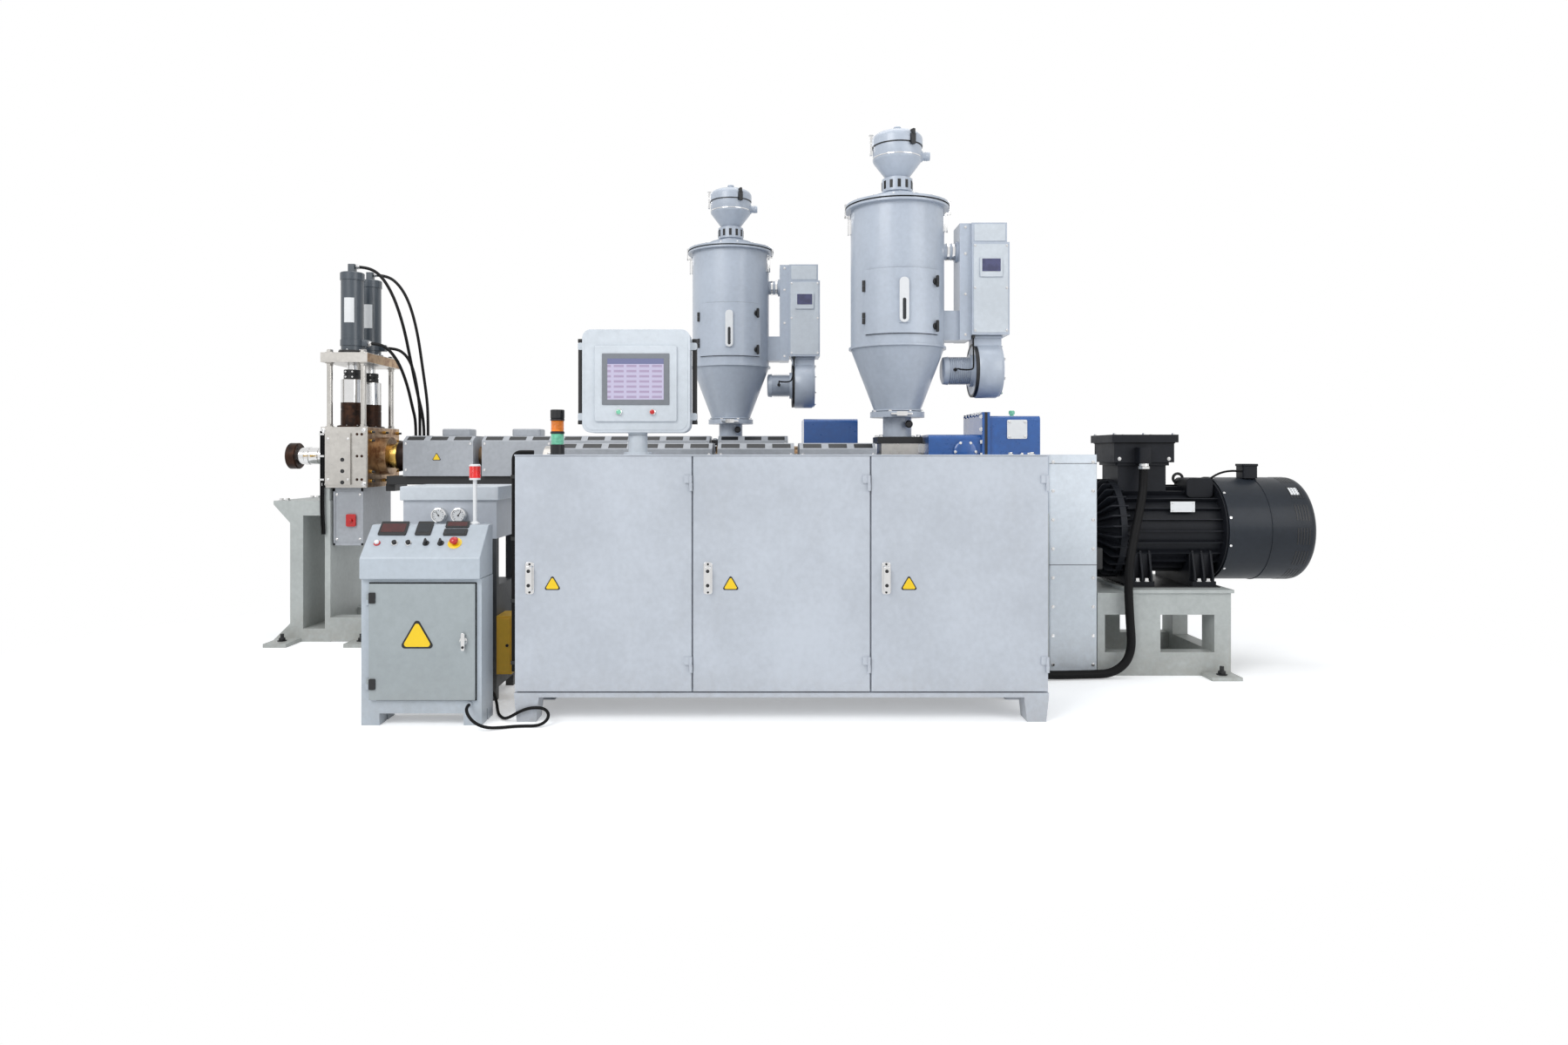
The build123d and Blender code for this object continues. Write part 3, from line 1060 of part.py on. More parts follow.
def dryer_hopper(dryer):
    """Turn the hollow hopper with its throat, slide gate, cone and rim, and cut its door opening."""
    wall = dryer.shell_wall
    plate_top = FEED_PLATE_THICK
    outline = [
        (dryer.throat_bore, 0), (dryer.throat_radius, 0), (dryer.throat_radius, dryer.gate_bottom),
        (dryer.gate_radius, dryer.gate_bottom), (dryer.gate_radius, dryer.cone_bottom),
        (dryer.cone_radius, dryer.cone_bottom), (dryer.shell_radius, dryer.shell_bottom),
        (dryer.shell_radius, dryer.shell_top - dryer.rim_height), (dryer.rim_radius, dryer.shell_top - dryer.rim_height),
        (dryer.rim_radius, dryer.shell_top), (dryer.shell_radius - wall, dryer.shell_top),
        (dryer.shell_radius - wall, dryer.shell_bottom), (dryer.throat_bore, dryer.cone_bottom),
    ]
    hopper = turned(outline, dryer.x, dryer.y, dryer.z)
    plate_half = dryer.plate_side / 2
    plate = slab(dryer.x - plate_half, dryer.x + plate_half, dryer.y - plate_half, dryer.y + plate_half,
                 dryer.z, dryer.z + plate_top)
    hopper += plate - rod_z(dryer.z, dryer.z + plate_top, dryer.x, dryer.y, 2 * dryer.throat_bore)
    lap = dryer.door_lap
    lap_angle = math.degrees(lap / dryer.shell_radius)
    hopper -= sector(dryer, dryer.shell_radius - 2 * wall, dryer.shell_radius + wall, dryer.door_bottom + lap,
                     dryer.door_top - lap, dryer.door_half_angle - lap_angle)
    for low, high in hinge_spans(dryer):
        hopper += hinge_knuckle(dryer, low, high - dryer.hinge_length / 2 - RUN_GAP / 2)
        hopper += hinge_leaf(dryer, low, high - dryer.hinge_length / 2 - RUN_GAP / 2)
    return hopper


def sector(dryer, inner, outer, low, high, half_angle):
    """Make a piece of a ring around the dryer's axis, centred on its front."""
    outline = [(inner, low), (outer, low), (outer, high), (inner, high)]
    face = make_face(Polyline(*[(radius, 0, height) for radius, height in outline], close=True))
    ring = revolve(face, axis=Axis.Z, revolution_arc=2 * half_angle)
    return Pos(dryer.x, dryer.y, dryer.z) * Rot(0, 0, -90 - half_angle) * ring


def hinge_place(dryer):
    """Give the X and Y of the hopper door's hinge axis, beside the door's left edge."""
    radius = dryer.shell_radius + RUN_GAP + dryer.door_thick + dryer.hinge_diameter / 4
    angle = math.radians(dryer.door_half_angle)
    return dryer.x - radius * math.sin(angle), dryer.y - radius * math.cos(angle)


def hinge_spans(dryer):
    """Give the height span of the lower and the upper hinge of the hopper door."""
    inset = dryer.hinge_length
    return ((dryer.door_bottom + inset, dryer.door_bottom + inset + dryer.hinge_length),
            (dryer.door_top - inset - dryer.hinge_length, dryer.door_top - inset))


def hinge_knuckle(dryer, low, high, room=0):
    """Make one knuckle on the hopper door's hinge axis, or with room the space that it needs."""
    x, y = hinge_place(dryer)
    return rod_z(dryer.z + low - room, dryer.z + high + room, x, y, dryer.hinge_diameter + 2 * room)


def hinge_leaf(dryer, low, high, room=0):
    """Make the leaf that holds a fixed knuckle to the hopper's shell, or with room the space that it needs."""
    x, y = hinge_place(dryer)
    angle = math.atan2(dryer.y - y, dryer.x - x)
    depth = dryer.hinge_diameter + dryer.door_thick
    leaf = Pos(depth / 2, 0, 0) * Box(depth, dryer.hinge_diameter / 2 + 2 * room, high - low + 2 * room)
    return Pos(x, y, dryer.z + (low + high) / 2) * Rot(0, 0, math.degrees(angle)) * leaf


def dryer_door(dryer):
    """Make the curved hopper door with its window frame, knuckles and latch blocks."""
    inner = dryer.shell_radius + RUN_GAP
    outer = inner + dryer.door_thick
    door = sector(dryer, inner, outer, dryer.door_bottom, dryer.door_top, dryer.door_half_angle)
    middle = (dryer.door_bottom + dryer.door_top) / 2
    glass_angle = math.degrees(dryer.glass_width / 2 / outer)
    door += sector(dryer, outer, outer + dryer.door_thick / 2, middle - dryer.glass_height / 2,
                   middle + dryer.glass_height / 2, glass_angle)
    for low, high in hinge_spans(dryer):
        joint = high - dryer.hinge_length / 2
        room = 3 * RUN_GAP
        door -= hinge_knuckle(dryer, low, joint - room / 2, room)
        door -= hinge_leaf(dryer, low, joint - room / 2, room)
        door += hinge_knuckle(dryer, joint + RUN_GAP / 2, high)
    return door


def dryer_lid(dryer):
    """Turn the hopper's lid: a rim plate with a low dome."""
    low = dryer.shell_top
    mid = low + dryer.lid_height
    outline = [(0, low), (dryer.rim_radius, low), (dryer.rim_radius, mid), (dryer.shell_radius, mid),
               (dryer.lid_dome_radius, mid + dryer.lid_dome), (0, mid + dryer.lid_dome)]
    return turned(outline, dryer.x, dryer.y, dryer.z)


def dryer_loader(dryer):
    """Turn the vacuum loader on the lid, with its side spigot."""
    low = dryer.shell_top + dryer.lid_height + dryer.lid_dome
    plate_top = low + dryer.loader_plate
    knob = dryer.loader_knob_radius
    outline = [
        (0, low), (dryer.loader_plate_radius, low), (dryer.loader_plate_radius, plate_top),
        (dryer.loader_neck_radius, plate_top), (dryer.loader_neck_radius, dryer.neck_plate_bottom),
        (dryer.neck_plate_radius, dryer.neck_plate_bottom), (dryer.neck_plate_radius, dryer.neck_plate_top),
        (dryer.loader_neck_radius, dryer.neck_plate_top), (dryer.loader_neck_radius, dryer.loader_cone_bottom),
        (dryer.loader_radius, dryer.loader_bottom), (dryer.loader_radius, dryer.loader_top),
        (dryer.loader_lid_radius, dryer.loader_top), (dryer.loader_lid_radius, dryer.loader_lid_top - knob),
        (dryer.loader_radius - knob, dryer.loader_lid_top), (knob, dryer.loader_lid_top),
        (knob, dryer.loader_knob_top), (0, dryer.loader_knob_top),
    ]
    loader = turned(outline, dryer.x, dryer.y, dryer.z)
    z = dryer.z + dryer.spigot_height
    spigot = rod_x(dryer.x, dryer.x + dryer.spigot_reach, dryer.y, z, 2 * dryer.spigot_radius)
    collar_right = dryer.x + dryer.loader_radius + dryer.spigot_collar
    collar = rod_x(dryer.x, collar_right, dryer.y, z, 2 * dryer.spigot_collar_radius)
    return loader + spigot + collar


def dryer_duct(dryer):
    """Make the heater column beside the hopper with its lower duct and its upper pipe."""
    column = slab(dryer.x + dryer.column_left, dryer.x + dryer.column_right, dryer.y - dryer.column_half_depth,
                  dryer.y + dryer.column_half_depth, dryer.z + dryer.column_bottom, dryer.z + dryer.column_top)
    duct = slab(dryer.x, dryer.x + dryer.column_left, dryer.y - dryer.duct_half_depth, dryer.y + dryer.duct_half_depth,
                dryer.z + dryer.column_bottom, dryer.z + dryer.column_bottom + dryer.duct_height)
    pipe = rod_x(dryer.x, dryer.x + dryer.column_left, dryer.y, dryer.z + dryer.pipe_height, 2 * dryer.pipe_radius)
    flange_right = dryer.x + dryer.column_left
    pipe += rod_x(flange_right - dryer.pipe_flange, flange_right, dryer.y, dryer.z + dryer.pipe_height,
                  2 * dryer.pipe_radius + 2 * dryer.pipe_flange)
    shell = rod_z(dryer.z, dryer.z + dryer.shell_top, dryer.x, dryer.y, 2 * dryer.shell_radius + 2 * SEAT_GAP)
    return column + (duct - shell) + (pipe - shell)


def dryer_panel(dryer):
    """Make the dryer's control box with its heater box on top and its display."""
    left = dryer.x + dryer.column_right
    right = dryer.x + dryer.box_right
    front = dryer.y - dryer.box_half_depth
    back = dryer.y + dryer.box_half_depth
    low = dryer.z + dryer.box_bottom
    high = dryer.z + dryer.box_top
    panel = slab(left, right, front, back, low, high)
    inset = dryer.display_proud * 2
    panel += slab(left, right - inset, front + inset, back - inset, high, dryer.z + dryer.column_top)
    panel += slab(left + dryer.display_side, right - dryer.display_side, front - dryer.display_proud, front,
                  dryer.z + dryer.display_bottom, dryer.z + dryer.display_top)
    x, y, z = lead_points(dryer)[0]
    return panel + rod_z(z, low, x, y, LEAD_DIAMETER + GLAND_WALL)


def dryer_blower(dryer):
    """Make the blower: volute, motor and the outlet up to the control box."""
    y = dryer.y
    z = dryer.z + dryer.blower_height
    left = dryer.x + dryer.blower_left
    right = dryer.x + dryer.blower_right
    blower = rod_x(left, right, y, z, 2 * dryer.blower_radius)
    blower += rod_x(dryer.x + dryer.blower_motor_left, left, y, z, 2 * dryer.blower_motor_radius)
    blower += slab(left, right, y - dryer.blower_motor_radius, y + dryer.blower_motor_radius, z,
                   dryer.z + dryer.box_bottom)
    lead_x, lead_y, lead_z = lead_points(dryer)[-1]
    return blower + rod_y(lead_y, y, lead_x, lead_z, LEAD_DIAMETER + GLAND_WALL)


def lead_points(dryer):
    """Give the route of the lead from the control box's underside to the blower's motor."""
    points = [(dryer.x + dx, dryer.y + dy, dryer.z + dz) for dx, dy, dz in LEAD_ROUTE]
    first, last = points[0], points[-1]
    points[0] = (first[0], first[1], dryer.z + dryer.box_bottom - LEAD_GLAND)
    points[-1] = (last[0], dryer.y - dryer.blower_motor_radius - LEAD_GLAND, dryer.z + dryer.blower_height)
    points[-2] = (points[-2][0], points[-2][1], dryer.z + dryer.blower_height)
    return points


CO_FRONT = CO_STAND_FRONT
CO_BACK = CO_STAND_FRONT + CO_STAND_DEPTH
CO_MIDDLE_Y = (CO_FRONT + CO_BACK) / 2
CO_STAND_POST = 35


def co_stand():
    """Make the tall stand at the die end with its flares, its window, its foot plates and the block's pad."""
    flange_bottom = CO_STAND_TOP - CO_STAND_FLANGE_THICK
    stand = slab(CO_STAND_LEFT, CO_STAND_RIGHT, CO_FRONT, CO_BACK, 0, flange_bottom)
    stand -= slab(CO_STAND_LEFT + CO_STAND_WINDOW_INSET, CO_STAND_RIGHT - CO_STAND_POST, CO_FRONT, CO_BACK,
                  CO_STAND_WINDOW_BOTTOM, CO_STAND_WINDOW_TOP)
    stand += slab(CO_STAND_FLANGE_LEFT, CO_STAND_RIGHT, CO_FRONT, CO_BACK, flange_bottom, CO_STAND_TOP)
    upper = [(CO_STAND_FLANGE_LEFT, flange_bottom), (CO_STAND_LEFT, flange_bottom),
             (CO_STAND_LEFT, flange_bottom - CO_STAND_FLARE)]
    stand += prism_y(upper, CO_FRONT, CO_BACK)
    lower = [(CO_STAND_LEFT - CO_STAND_FLARE, 0), (CO_STAND_LEFT, 0), (CO_STAND_LEFT, CO_STAND_FLARE)]
    stand += prism_y(lower, CO_FRONT, CO_BACK)
    rear = 2 * CO_MIDDLE_Y - CO_FOOT_FRONT
    bore_front = (CO_FOOT_FRONT + CO_FRONT) / 2
    bore_rear = 2 * CO_MIDDLE_Y - bore_front
    stand += anchor_foot(*CO_FOOT_1, CO_FOOT_FRONT, CO_FRONT, CO_FOOT_THICK, bore_front)
    stand += anchor_foot(*CO_FOOT_1, CO_BACK, rear, CO_FOOT_THICK, bore_rear)
    return stand + slab(BLOCK_LEFT, BLOCK_LEFT + BLOCK_PAD_WIDTH, CO_FRONT, CO_BACK, CO_STAND_TOP, BLOCK_BOTTOM)


def co_rails():
    """Make the rails that run from the stand to the co-extruder's base, with the posts under the barrel."""
    rear = 2 * CO_MIDDLE_Y - CO_FOOT_FRONT
    bore_front = (CO_FOOT_FRONT + CO_FRONT) / 2
    bore_rear = 2 * CO_MIDDLE_Y - bore_front
    rails = barrel_posts(CO_BARREL, CO_FRONT, CO_BACK, CO_RAIL_BOTTOM, CO_RAIL_TOP)
    for front in (CO_FRONT, CO_BACK - CO_RAIL_WIDTH):
        rails += slab(CO_STAND_RIGHT, CO_GEARBOX_LEFT, front, front + CO_RAIL_WIDTH, CO_RAIL_BOTTOM, CO_RAIL_TOP)
    rails += anchor_foot(*CO_FOOT_2, CO_FOOT_FRONT, CO_FRONT, CO_FOOT_THICK, bore_front)
    rails += anchor_foot(*CO_FOOT_2, CO_BACK, rear, CO_FOOT_THICK, bore_rear)
    return rails


def co_drive_base():
    """Make the co-extruder's drive base, a box frame on the floor."""
    return hollow_frame(CO_GEARBOX_LEFT, CO_BASE_RIGHT, CO_Y - CO_BASE_HALF_DEPTH, CO_Y + CO_BASE_HALF_DEPTH, 0,
                        CO_BASE_TOP, MAIN_FRAME_SIDE)


def co_gearbox():
    """Make the co-extruder's gearbox."""
    box = slab(CO_GEARBOX_LEFT, CO_GEARBOX_RIGHT, CO_Y - CO_GEARBOX_HALF_DEPTH, CO_Y + CO_GEARBOX_HALF_DEPTH,
               CO_BASE_TOP, CO_GEARBOX_TOP)
    return fillet(box.edges().filter_by(Axis.X).group_by(Axis.Z)[-1], GEARBOX_CORNER)


def co_motor():
    """Make the co-extruder's motor with its feet, its flange on the gearbox and its fan cowl."""
    flange = CO_MOTOR_LEFT - CO_GEARBOX_RIGHT
    right = CO_GEARBOX_RIGHT + CO_MOTOR_LENGTH
    fins_right = right - CO_MOTOR_COWL_LENGTH
    motor = finned_body(CO_MOTOR_LEFT, fins_right, CO_Y, CO_MOTOR_Z, CO_MOTOR_DIAMETER, CO_MOTOR_FINS,
                        CO_MOTOR_FIN_DEPTH, CO_MOTOR_FIN_THICK)
    motor += rod_x(CO_GEARBOX_RIGHT, CO_MOTOR_LEFT, CO_Y, CO_MOTOR_Z, CO_MOTOR_DIAMETER + flange / 2)
    motor += rod_x(fins_right, right, CO_Y, CO_MOTOR_Z, CO_MOTOR_DIAMETER + flange / 2)
    half = CO_MOTOR_DIAMETER / 2
    foot_top = CO_BASE_TOP + CO_MOTOR_FOOT_THICK
    for left in (CO_MOTOR_LEFT + flange, fins_right - 3 * flange):
        motor += slab(left, left + 2 * flange, CO_Y - half, CO_Y + half, CO_BASE_TOP, foot_top)
        motor += slab(left, left + 2 * flange, CO_Y - half + CO_MOTOR_FOOT_STEP, CO_Y + half - CO_MOTOR_FOOT_STEP,
                      foot_top, CO_MOTOR_Z - half / 2)
    return motor


BLOCK_MIDDLE_X = (BLOCK_LEFT + BLOCK_RIGHT) / 2
BLOCK_BACK = BLOCK_FRONT + BLOCK_DEPTH
PISTON_FRONT_Y = CO_Y - PISTON_SPACING / 2
PISTON_REAR_Y = CO_Y + PISTON_SPACING / 2


def screen_block():
    """Make the screen changer's block with its two piston bores and its melt channel."""
    block = slab(BLOCK_LEFT, BLOCK_RIGHT, BLOCK_FRONT, BLOCK_BACK, BLOCK_BOTTOM, BLOCK_TOP)
    block = chamfer(block.edges().filter_by(Axis.Z), BLOCK_CHAMFER)
    for y in (PISTON_FRONT_Y, PISTON_REAR_Y):
        block -= rod_z(BLOCK_BOTTOM, BLOCK_TOP, BLOCK_MIDDLE_X, y, PISTON_DIAMETER + 2 * RUN_GAP)
    return block - rod_x(BLOCK_LEFT, BLOCK_RIGHT, CO_Y, CO_BARREL_Z, MELT_BORE)


def screen_probe_plate():
    """Make the plate on the block's front with its three probe holes."""
    plate = slab(PROBE_PLATE_LEFT, PROBE_PLATE_RIGHT, BLOCK_FRONT - PROBE_PLATE_THICK, BLOCK_FRONT,
                 BLOCK_BOTTOM + PROBE_PLATE_INSET / 2, BLOCK_TOP - PROBE_PLATE_INSET)
    for height in PROBE_HEIGHTS:
        plate -= rod_y(BLOCK_FRONT - PROBE_PLATE_THICK, BLOCK_FRONT, PROBE_X, height, PROBE_BORE)
    return plate


def screen_frame():
    """Make the four tie rods with the top plate that carries the cylinders."""
    frame = slab(BLOCK_LEFT, BLOCK_RIGHT, BLOCK_FRONT, BLOCK_BACK, TOP_PLATE_BOTTOM, TOP_PLATE_TOP)
    for y in (PISTON_FRONT_Y, PISTON_REAR_Y):
        frame -= rod_z(TOP_PLATE_BOTTOM, TOP_PLATE_TOP, BLOCK_MIDDLE_X, y, ROD_DIAMETER + 2 * RUN_GAP)
    for x in (BLOCK_LEFT + TIE_INSET, BLOCK_RIGHT - TIE_INSET):
        for y in (BLOCK_FRONT + TIE_INSET, BLOCK_BACK - TIE_INSET):
            frame += rod_z(BLOCK_TOP, TOP_PLATE_BOTTOM, x, y, TIE_DIAMETER)
    return frame


PORT_SIDE = 40
PORT_LOW_Z = 1925
PORT_LOW_REACH = 35
PORT_TOP_HEIGHT = 60


def screen_cylinder(y):
    """Make one hydraulic cylinder with its bore, foot flange, cap and hose ports."""
    cylinder = rod_z(TOP_PLATE_TOP, CYLINDER_TOP, BLOCK_MIDDLE_X, y, CYLINDER_DIAMETER)
    cylinder += rod_z(TOP_PLATE_TOP, TOP_PLATE_TOP + CYLINDER_CAP / 2, BLOCK_MIDDLE_X, y, CYLINDER_FLANGE)
    half = PORT_SIDE / 2
    right = BLOCK_MIDDLE_X + CYLINDER_DIAMETER / 2
    cylinder += slab(BLOCK_MIDDLE_X, right + PORT_LOW_REACH, y - half, y + half, PORT_LOW_Z - half, PORT_LOW_Z + half)
    cylinder += slab(BLOCK_MIDDLE_X - half, BLOCK_MIDDLE_X + half, y - half, y + half, CYLINDER_TOP,
                     CYLINDER_TOP + PORT_TOP_HEIGHT)
    return cylinder - rod_z(TOP_PLATE_TOP, CYLINDER_TOP - CYLINDER_CAP, BLOCK_MIDDLE_X, y, ROD_DIAMETER + 2 * RUN_GAP)


def screen_piston(y):
    """Turn one screen piston with its coupling and its rod."""
    coupling_top = PISTON_TOP + COUPLING_HEIGHT
    outline = [
        (0, PISTON_BOTTOM), (PISTON_DIAMETER / 2, PISTON_BOTTOM), (PISTON_DIAMETER / 2, PISTON_TOP),
        (COUPLING_DIAMETER / 2, PISTON_TOP), (COUPLING_DIAMETER / 2, coupling_top),
        (ROD_DIAMETER / 2, coupling_top), (ROD_DIAMETER / 2, ROD_TOP), (0, ROD_TOP),
    ]
    return turned(outline, BLOCK_MIDDLE_X, y)


def screen_guard():
    """Fold the guard under the block, open at the top, that the pistons come down into."""
    room = PISTON_DIAMETER / 2 + GUARD_ROOM
    front = PISTON_FRONT_Y - room
    back = PISTON_REAR_Y + room
    guard = slab(GUARD_LEFT, GUARD_RIGHT, front, back, GUARD_BOTTOM, BLOCK_BOTTOM)
    return guard - slab(GUARD_LEFT + GUARD_WALL, GUARD_RIGHT - GUARD_WALL, front + GUARD_WALL, back - GUARD_WALL,
                        GUARD_BOTTOM + GUARD_WALL, BLOCK_BOTTOM)


def die_adaptor():
    """Turn the die adaptor with its end ring, bore and bolt circle."""
    ring_right = ADAPTOR_LEFT + ADAPTOR_RING
    flange_left = BLOCK_LEFT - ADAPTOR_FLANGE
    bore = MELT_BORE / 2
    outline = [
        (ADAPTOR_LEFT, bore), (ADAPTOR_LEFT, ADAPTOR_RING_DIAMETER / 2), (ring_right, ADAPTOR_RING_DIAMETER / 2),
        (ring_right, ADAPTOR_NECK_DIAMETER / 2), (flange_left, ADAPTOR_NECK_DIAMETER / 2),
        (flange_left, ADAPTOR_FLANGE_DIAMETER / 2), (BLOCK_LEFT, ADAPTOR_FLANGE_DIAMETER / 2), (BLOCK_LEFT, bore),
    ]
    adaptor = turned_x(outline, CO_Y, CO_BARREL_Z)
    for count in range(ADAPTOR_BOLTS):
        angle = 2 * math.pi * count / ADAPTOR_BOLTS
        y = CO_Y + ADAPTOR_BOLT_CIRCLE / 2 * math.cos(angle)
        z = CO_BARREL_Z + ADAPTOR_BOLT_CIRCLE / 2 * math.sin(angle)
        adaptor -= rod_x(ADAPTOR_LEFT, ring_right, y, z, ADAPTOR_BOLT_BORE)
    return adaptor


MANIFOLD_LEFT = -2432
MANIFOLD_RIGHT = -2310
MANIFOLD_DEPTH = 62
MANIFOLD_BOTTOM = 1180
MANIFOLD_TOP = 1330


def hose_manifold():
    """Make the hose manifold on the back of the last cover."""
    back = CO_Y + CO_BARREL.cover_half_depth
    return slab(MANIFOLD_LEFT, MANIFOLD_RIGHT, back, back + MANIFOLD_DEPTH, MANIFOLD_BOTTOM, MANIFOLD_TOP)


def cord_path(name, route, diameter):
    """Lay a cord's path: straight runs joined by the largest arcs that they allow. Print the smallest radius."""
    points = [Vector(*point) for point in route]
    runs = [end - start for start, end in zip(points[:-1], points[1:])]
    radii = []
    for before, after in zip(runs[:-1], runs[1:]):
        half_turn = math.radians(before.get_angle(after) / 2)
        radii.append(CORD_ARC_SHARE * min(before.length, after.length) / math.tan(half_turn))
    path = FilletPolyline(*points, radius=radii)
    smallest = min(radii)
    print(f"{name}: length {path.length:.0f} mm, smallest radius {smallest:.0f} mm, {smallest / diameter:.1f} diameters")
    return path


def cord_tube(name, route, diameter):
    """Sweep a cord's round section along its path."""
    path = cord_path(name, route, diameter)
    section = Plane(origin=path @ 0, z_dir=path % 0) * Circle(diameter / 2)
    return sweep(section, path=path)


def build_pieces():
    """Build every piece of the line, by node name."""
    pieces = {
        "main_base": main_base(),
        "main_pedestal": main_pedestal(),
        "drive_guard": drive_guard(),
        "main_gearbox": main_gearbox(),
        "main_motor": main_motor(),
        "main_motor_cowl": main_motor_cowl(),
        "main_terminal_box": main_terminal_box(),
        "main_barrel": barrel_piece(MAIN_BARREL),
        "main_barrel_covers": barrel_covers(MAIN_BARREL, MAIN_DRYER.plate_side),
        "co_stand": co_stand() + co_rails(),
        "co_drive_base": co_drive_base(),
        "co_gearbox": co_gearbox(),
        "co_motor": co_motor(),
        "co_barrel": barrel_piece(CO_BARREL),
        "co_barrel_covers": group([barrel_covers(CO_BARREL, CO_DRYER.plate_side) + hose_manifold()]),
        "screen_block": screen_block() + screen_probe_plate(),
        "screen_frame": screen_frame(),
        "screen_cylinders": group([screen_cylinder(PISTON_FRONT_Y), screen_cylinder(PISTON_REAR_Y)]),
        "screen_piston_front": screen_piston(PISTON_FRONT_Y),
        "screen_piston_rear": screen_piston(PISTON_REAR_Y),
        "screen_guard": screen_guard(),
        "die_adaptor": die_adaptor(),
        "cabinet_shell": cabinet_shell(),
        "cabinet_feet": cabinet_feet(),
        "panel_neck": panel_neck(),
        "panel_box": panel_box() + panel_grips(),
        "panel_screen": panel_screen() + panel_buttons(),
        "stack_light": stack_light(),
        "console_body": console_body(),
        "console_door": console_door(),
        "console_head": console_head() + console_controls(),
        "alarm_lamp": alarm_lamp(),
        "hydraulic_unit": hydraulic_unit() + hydraulic_pump(),
        "gauge_box": gauge_box(),
        "valve_box": valve_box(),
    }
    for name, left, right in cabinet_bays():
        pieces[f"cabinet_door_{name}"] = cabinet_door(left, right)
    for side, dryer in (("main", MAIN_DRYER), ("co", CO_DRYER)):
        pieces[f"{side}_hopper"] = dryer_hopper(dryer)
        pieces[f"{side}_hopper_door"] = dryer_door(dryer)
        pieces[f"{side}_hopper_lid"] = dryer_lid(dryer)
        pieces[f"{side}_loader"] = dryer_loader(dryer)
        pieces[f"{side}_dryer_duct"] = dryer_duct(dryer)
        pieces[f"{side}_dryer_panel"] = dryer_panel(dryer)
        pieces[f"{side}_dryer_blower"] = dryer_blower(dryer)
    return pieces


def build_cords():
    """Build the free cables and hoses, by node name."""
    cords = {name: cord_tube(name, route, HOSE_DIAMETER) for name, route in HOSES.items()}
    cords["motor_cable"] = cord_tube("motor_cable", MOTOR_CABLE, MOTOR_CABLE_DIAMETER)
    cords["console_cable"] = cord_tube("console_cable", CONSOLE_CABLE, CONSOLE_CABLE_DIAMETER)
    for side, dryer in (("main", MAIN_DRYER), ("co", CO_DRYER)):
        cords[f"{side}_dryer_lead"] = cord_tube(f"{side}_dryer_lead", lead_points(dryer), LEAD_DIAMETER)
    return cords


def main():
    """Build the pieces, move them to the line's own frame and write one STEP file for each node."""
    pieces = build_pieces()
    box = Compound([solid for piece in pieces.values() for solid in piece.solids()]).bounding_box()
    to_frame = Pos(-(box.min.X + box.max.X) / 2, -(box.min.Y + box.max.Y) / 2, -box.min.Z)
    print(f"moved by {to_frame.position}")
    print(f"size {box.size}")
    os.makedirs("parts", exist_ok=True)
    for name, piece in {**pieces, **build_cords()}.items():
        export_step(to_frame * piece, f"parts/{name}.step")


if __name__ == "__main__":
    main()
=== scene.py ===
"""Dress the plastic extrusion line: finishes, detailed pieces, cables, studio and camera.

Every shape is worked out in the line's own millimetres, with X along the line towards the drives, Y away from the
operator and Z up, and is moved to the frame's metres when its mesh is made.
"""
from __future__ import annotations

import json
import logging
import math
from dataclasses import dataclass, field
from enum import Enum
from itertools import product
from typing import Iterable, Sequence

import bpy
import numpy as np
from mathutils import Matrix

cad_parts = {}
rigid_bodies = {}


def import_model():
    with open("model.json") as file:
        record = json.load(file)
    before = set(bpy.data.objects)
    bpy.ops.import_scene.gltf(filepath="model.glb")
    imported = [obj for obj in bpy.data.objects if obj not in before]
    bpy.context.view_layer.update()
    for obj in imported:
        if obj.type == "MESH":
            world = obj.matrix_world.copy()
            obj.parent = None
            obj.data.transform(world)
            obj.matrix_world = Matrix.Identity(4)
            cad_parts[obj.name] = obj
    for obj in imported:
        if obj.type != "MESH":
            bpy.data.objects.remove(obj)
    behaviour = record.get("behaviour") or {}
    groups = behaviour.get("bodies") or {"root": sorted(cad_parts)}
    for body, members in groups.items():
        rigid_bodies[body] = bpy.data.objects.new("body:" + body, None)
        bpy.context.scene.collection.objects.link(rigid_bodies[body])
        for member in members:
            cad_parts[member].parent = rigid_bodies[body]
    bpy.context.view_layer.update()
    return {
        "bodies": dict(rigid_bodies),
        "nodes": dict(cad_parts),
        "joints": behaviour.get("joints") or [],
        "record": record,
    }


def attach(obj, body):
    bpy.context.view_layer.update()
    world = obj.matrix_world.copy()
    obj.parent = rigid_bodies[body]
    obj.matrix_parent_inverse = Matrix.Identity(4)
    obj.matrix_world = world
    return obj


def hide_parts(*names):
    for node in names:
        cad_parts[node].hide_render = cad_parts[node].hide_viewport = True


LOG = logging.getLogger("extruder")
SHIFT = np.array((77.0, -1230.75, 0.0))
STATIC = "line_frame"
ORIGIN = (0.0, 0.0, 0.0)

Point = Sequence[float]
Colour = tuple[float, float, float]


def shade(red: int, green: int, blue: int) -> Colour:
    """Turn a colour as it is seen on a screen, 0 to 255, into the linear colour that the shader wants."""
    return tuple((value / 255) ** 2.2 for value in (red, green, blue))


class Axis(Enum):
    """The axis that a shape is turned about or drawn along."""

    X = 0
    Y = 1
    Z = 2


X, Y, Z = Axis


class Grain(Enum):
    """How a finish breaks up close to."""

    PEEL = "the fine ripple of sprayed paint"
    CAST = "the pitted skin of a painted casting"
    DRAWN = "fine lines along one axis, as on machined steel"
    SCALE = "blotches of brown heat scale"
    MOULDED = "the faint texture of moulded plastic"
    POWDER = "the fine dimples of powder coating"


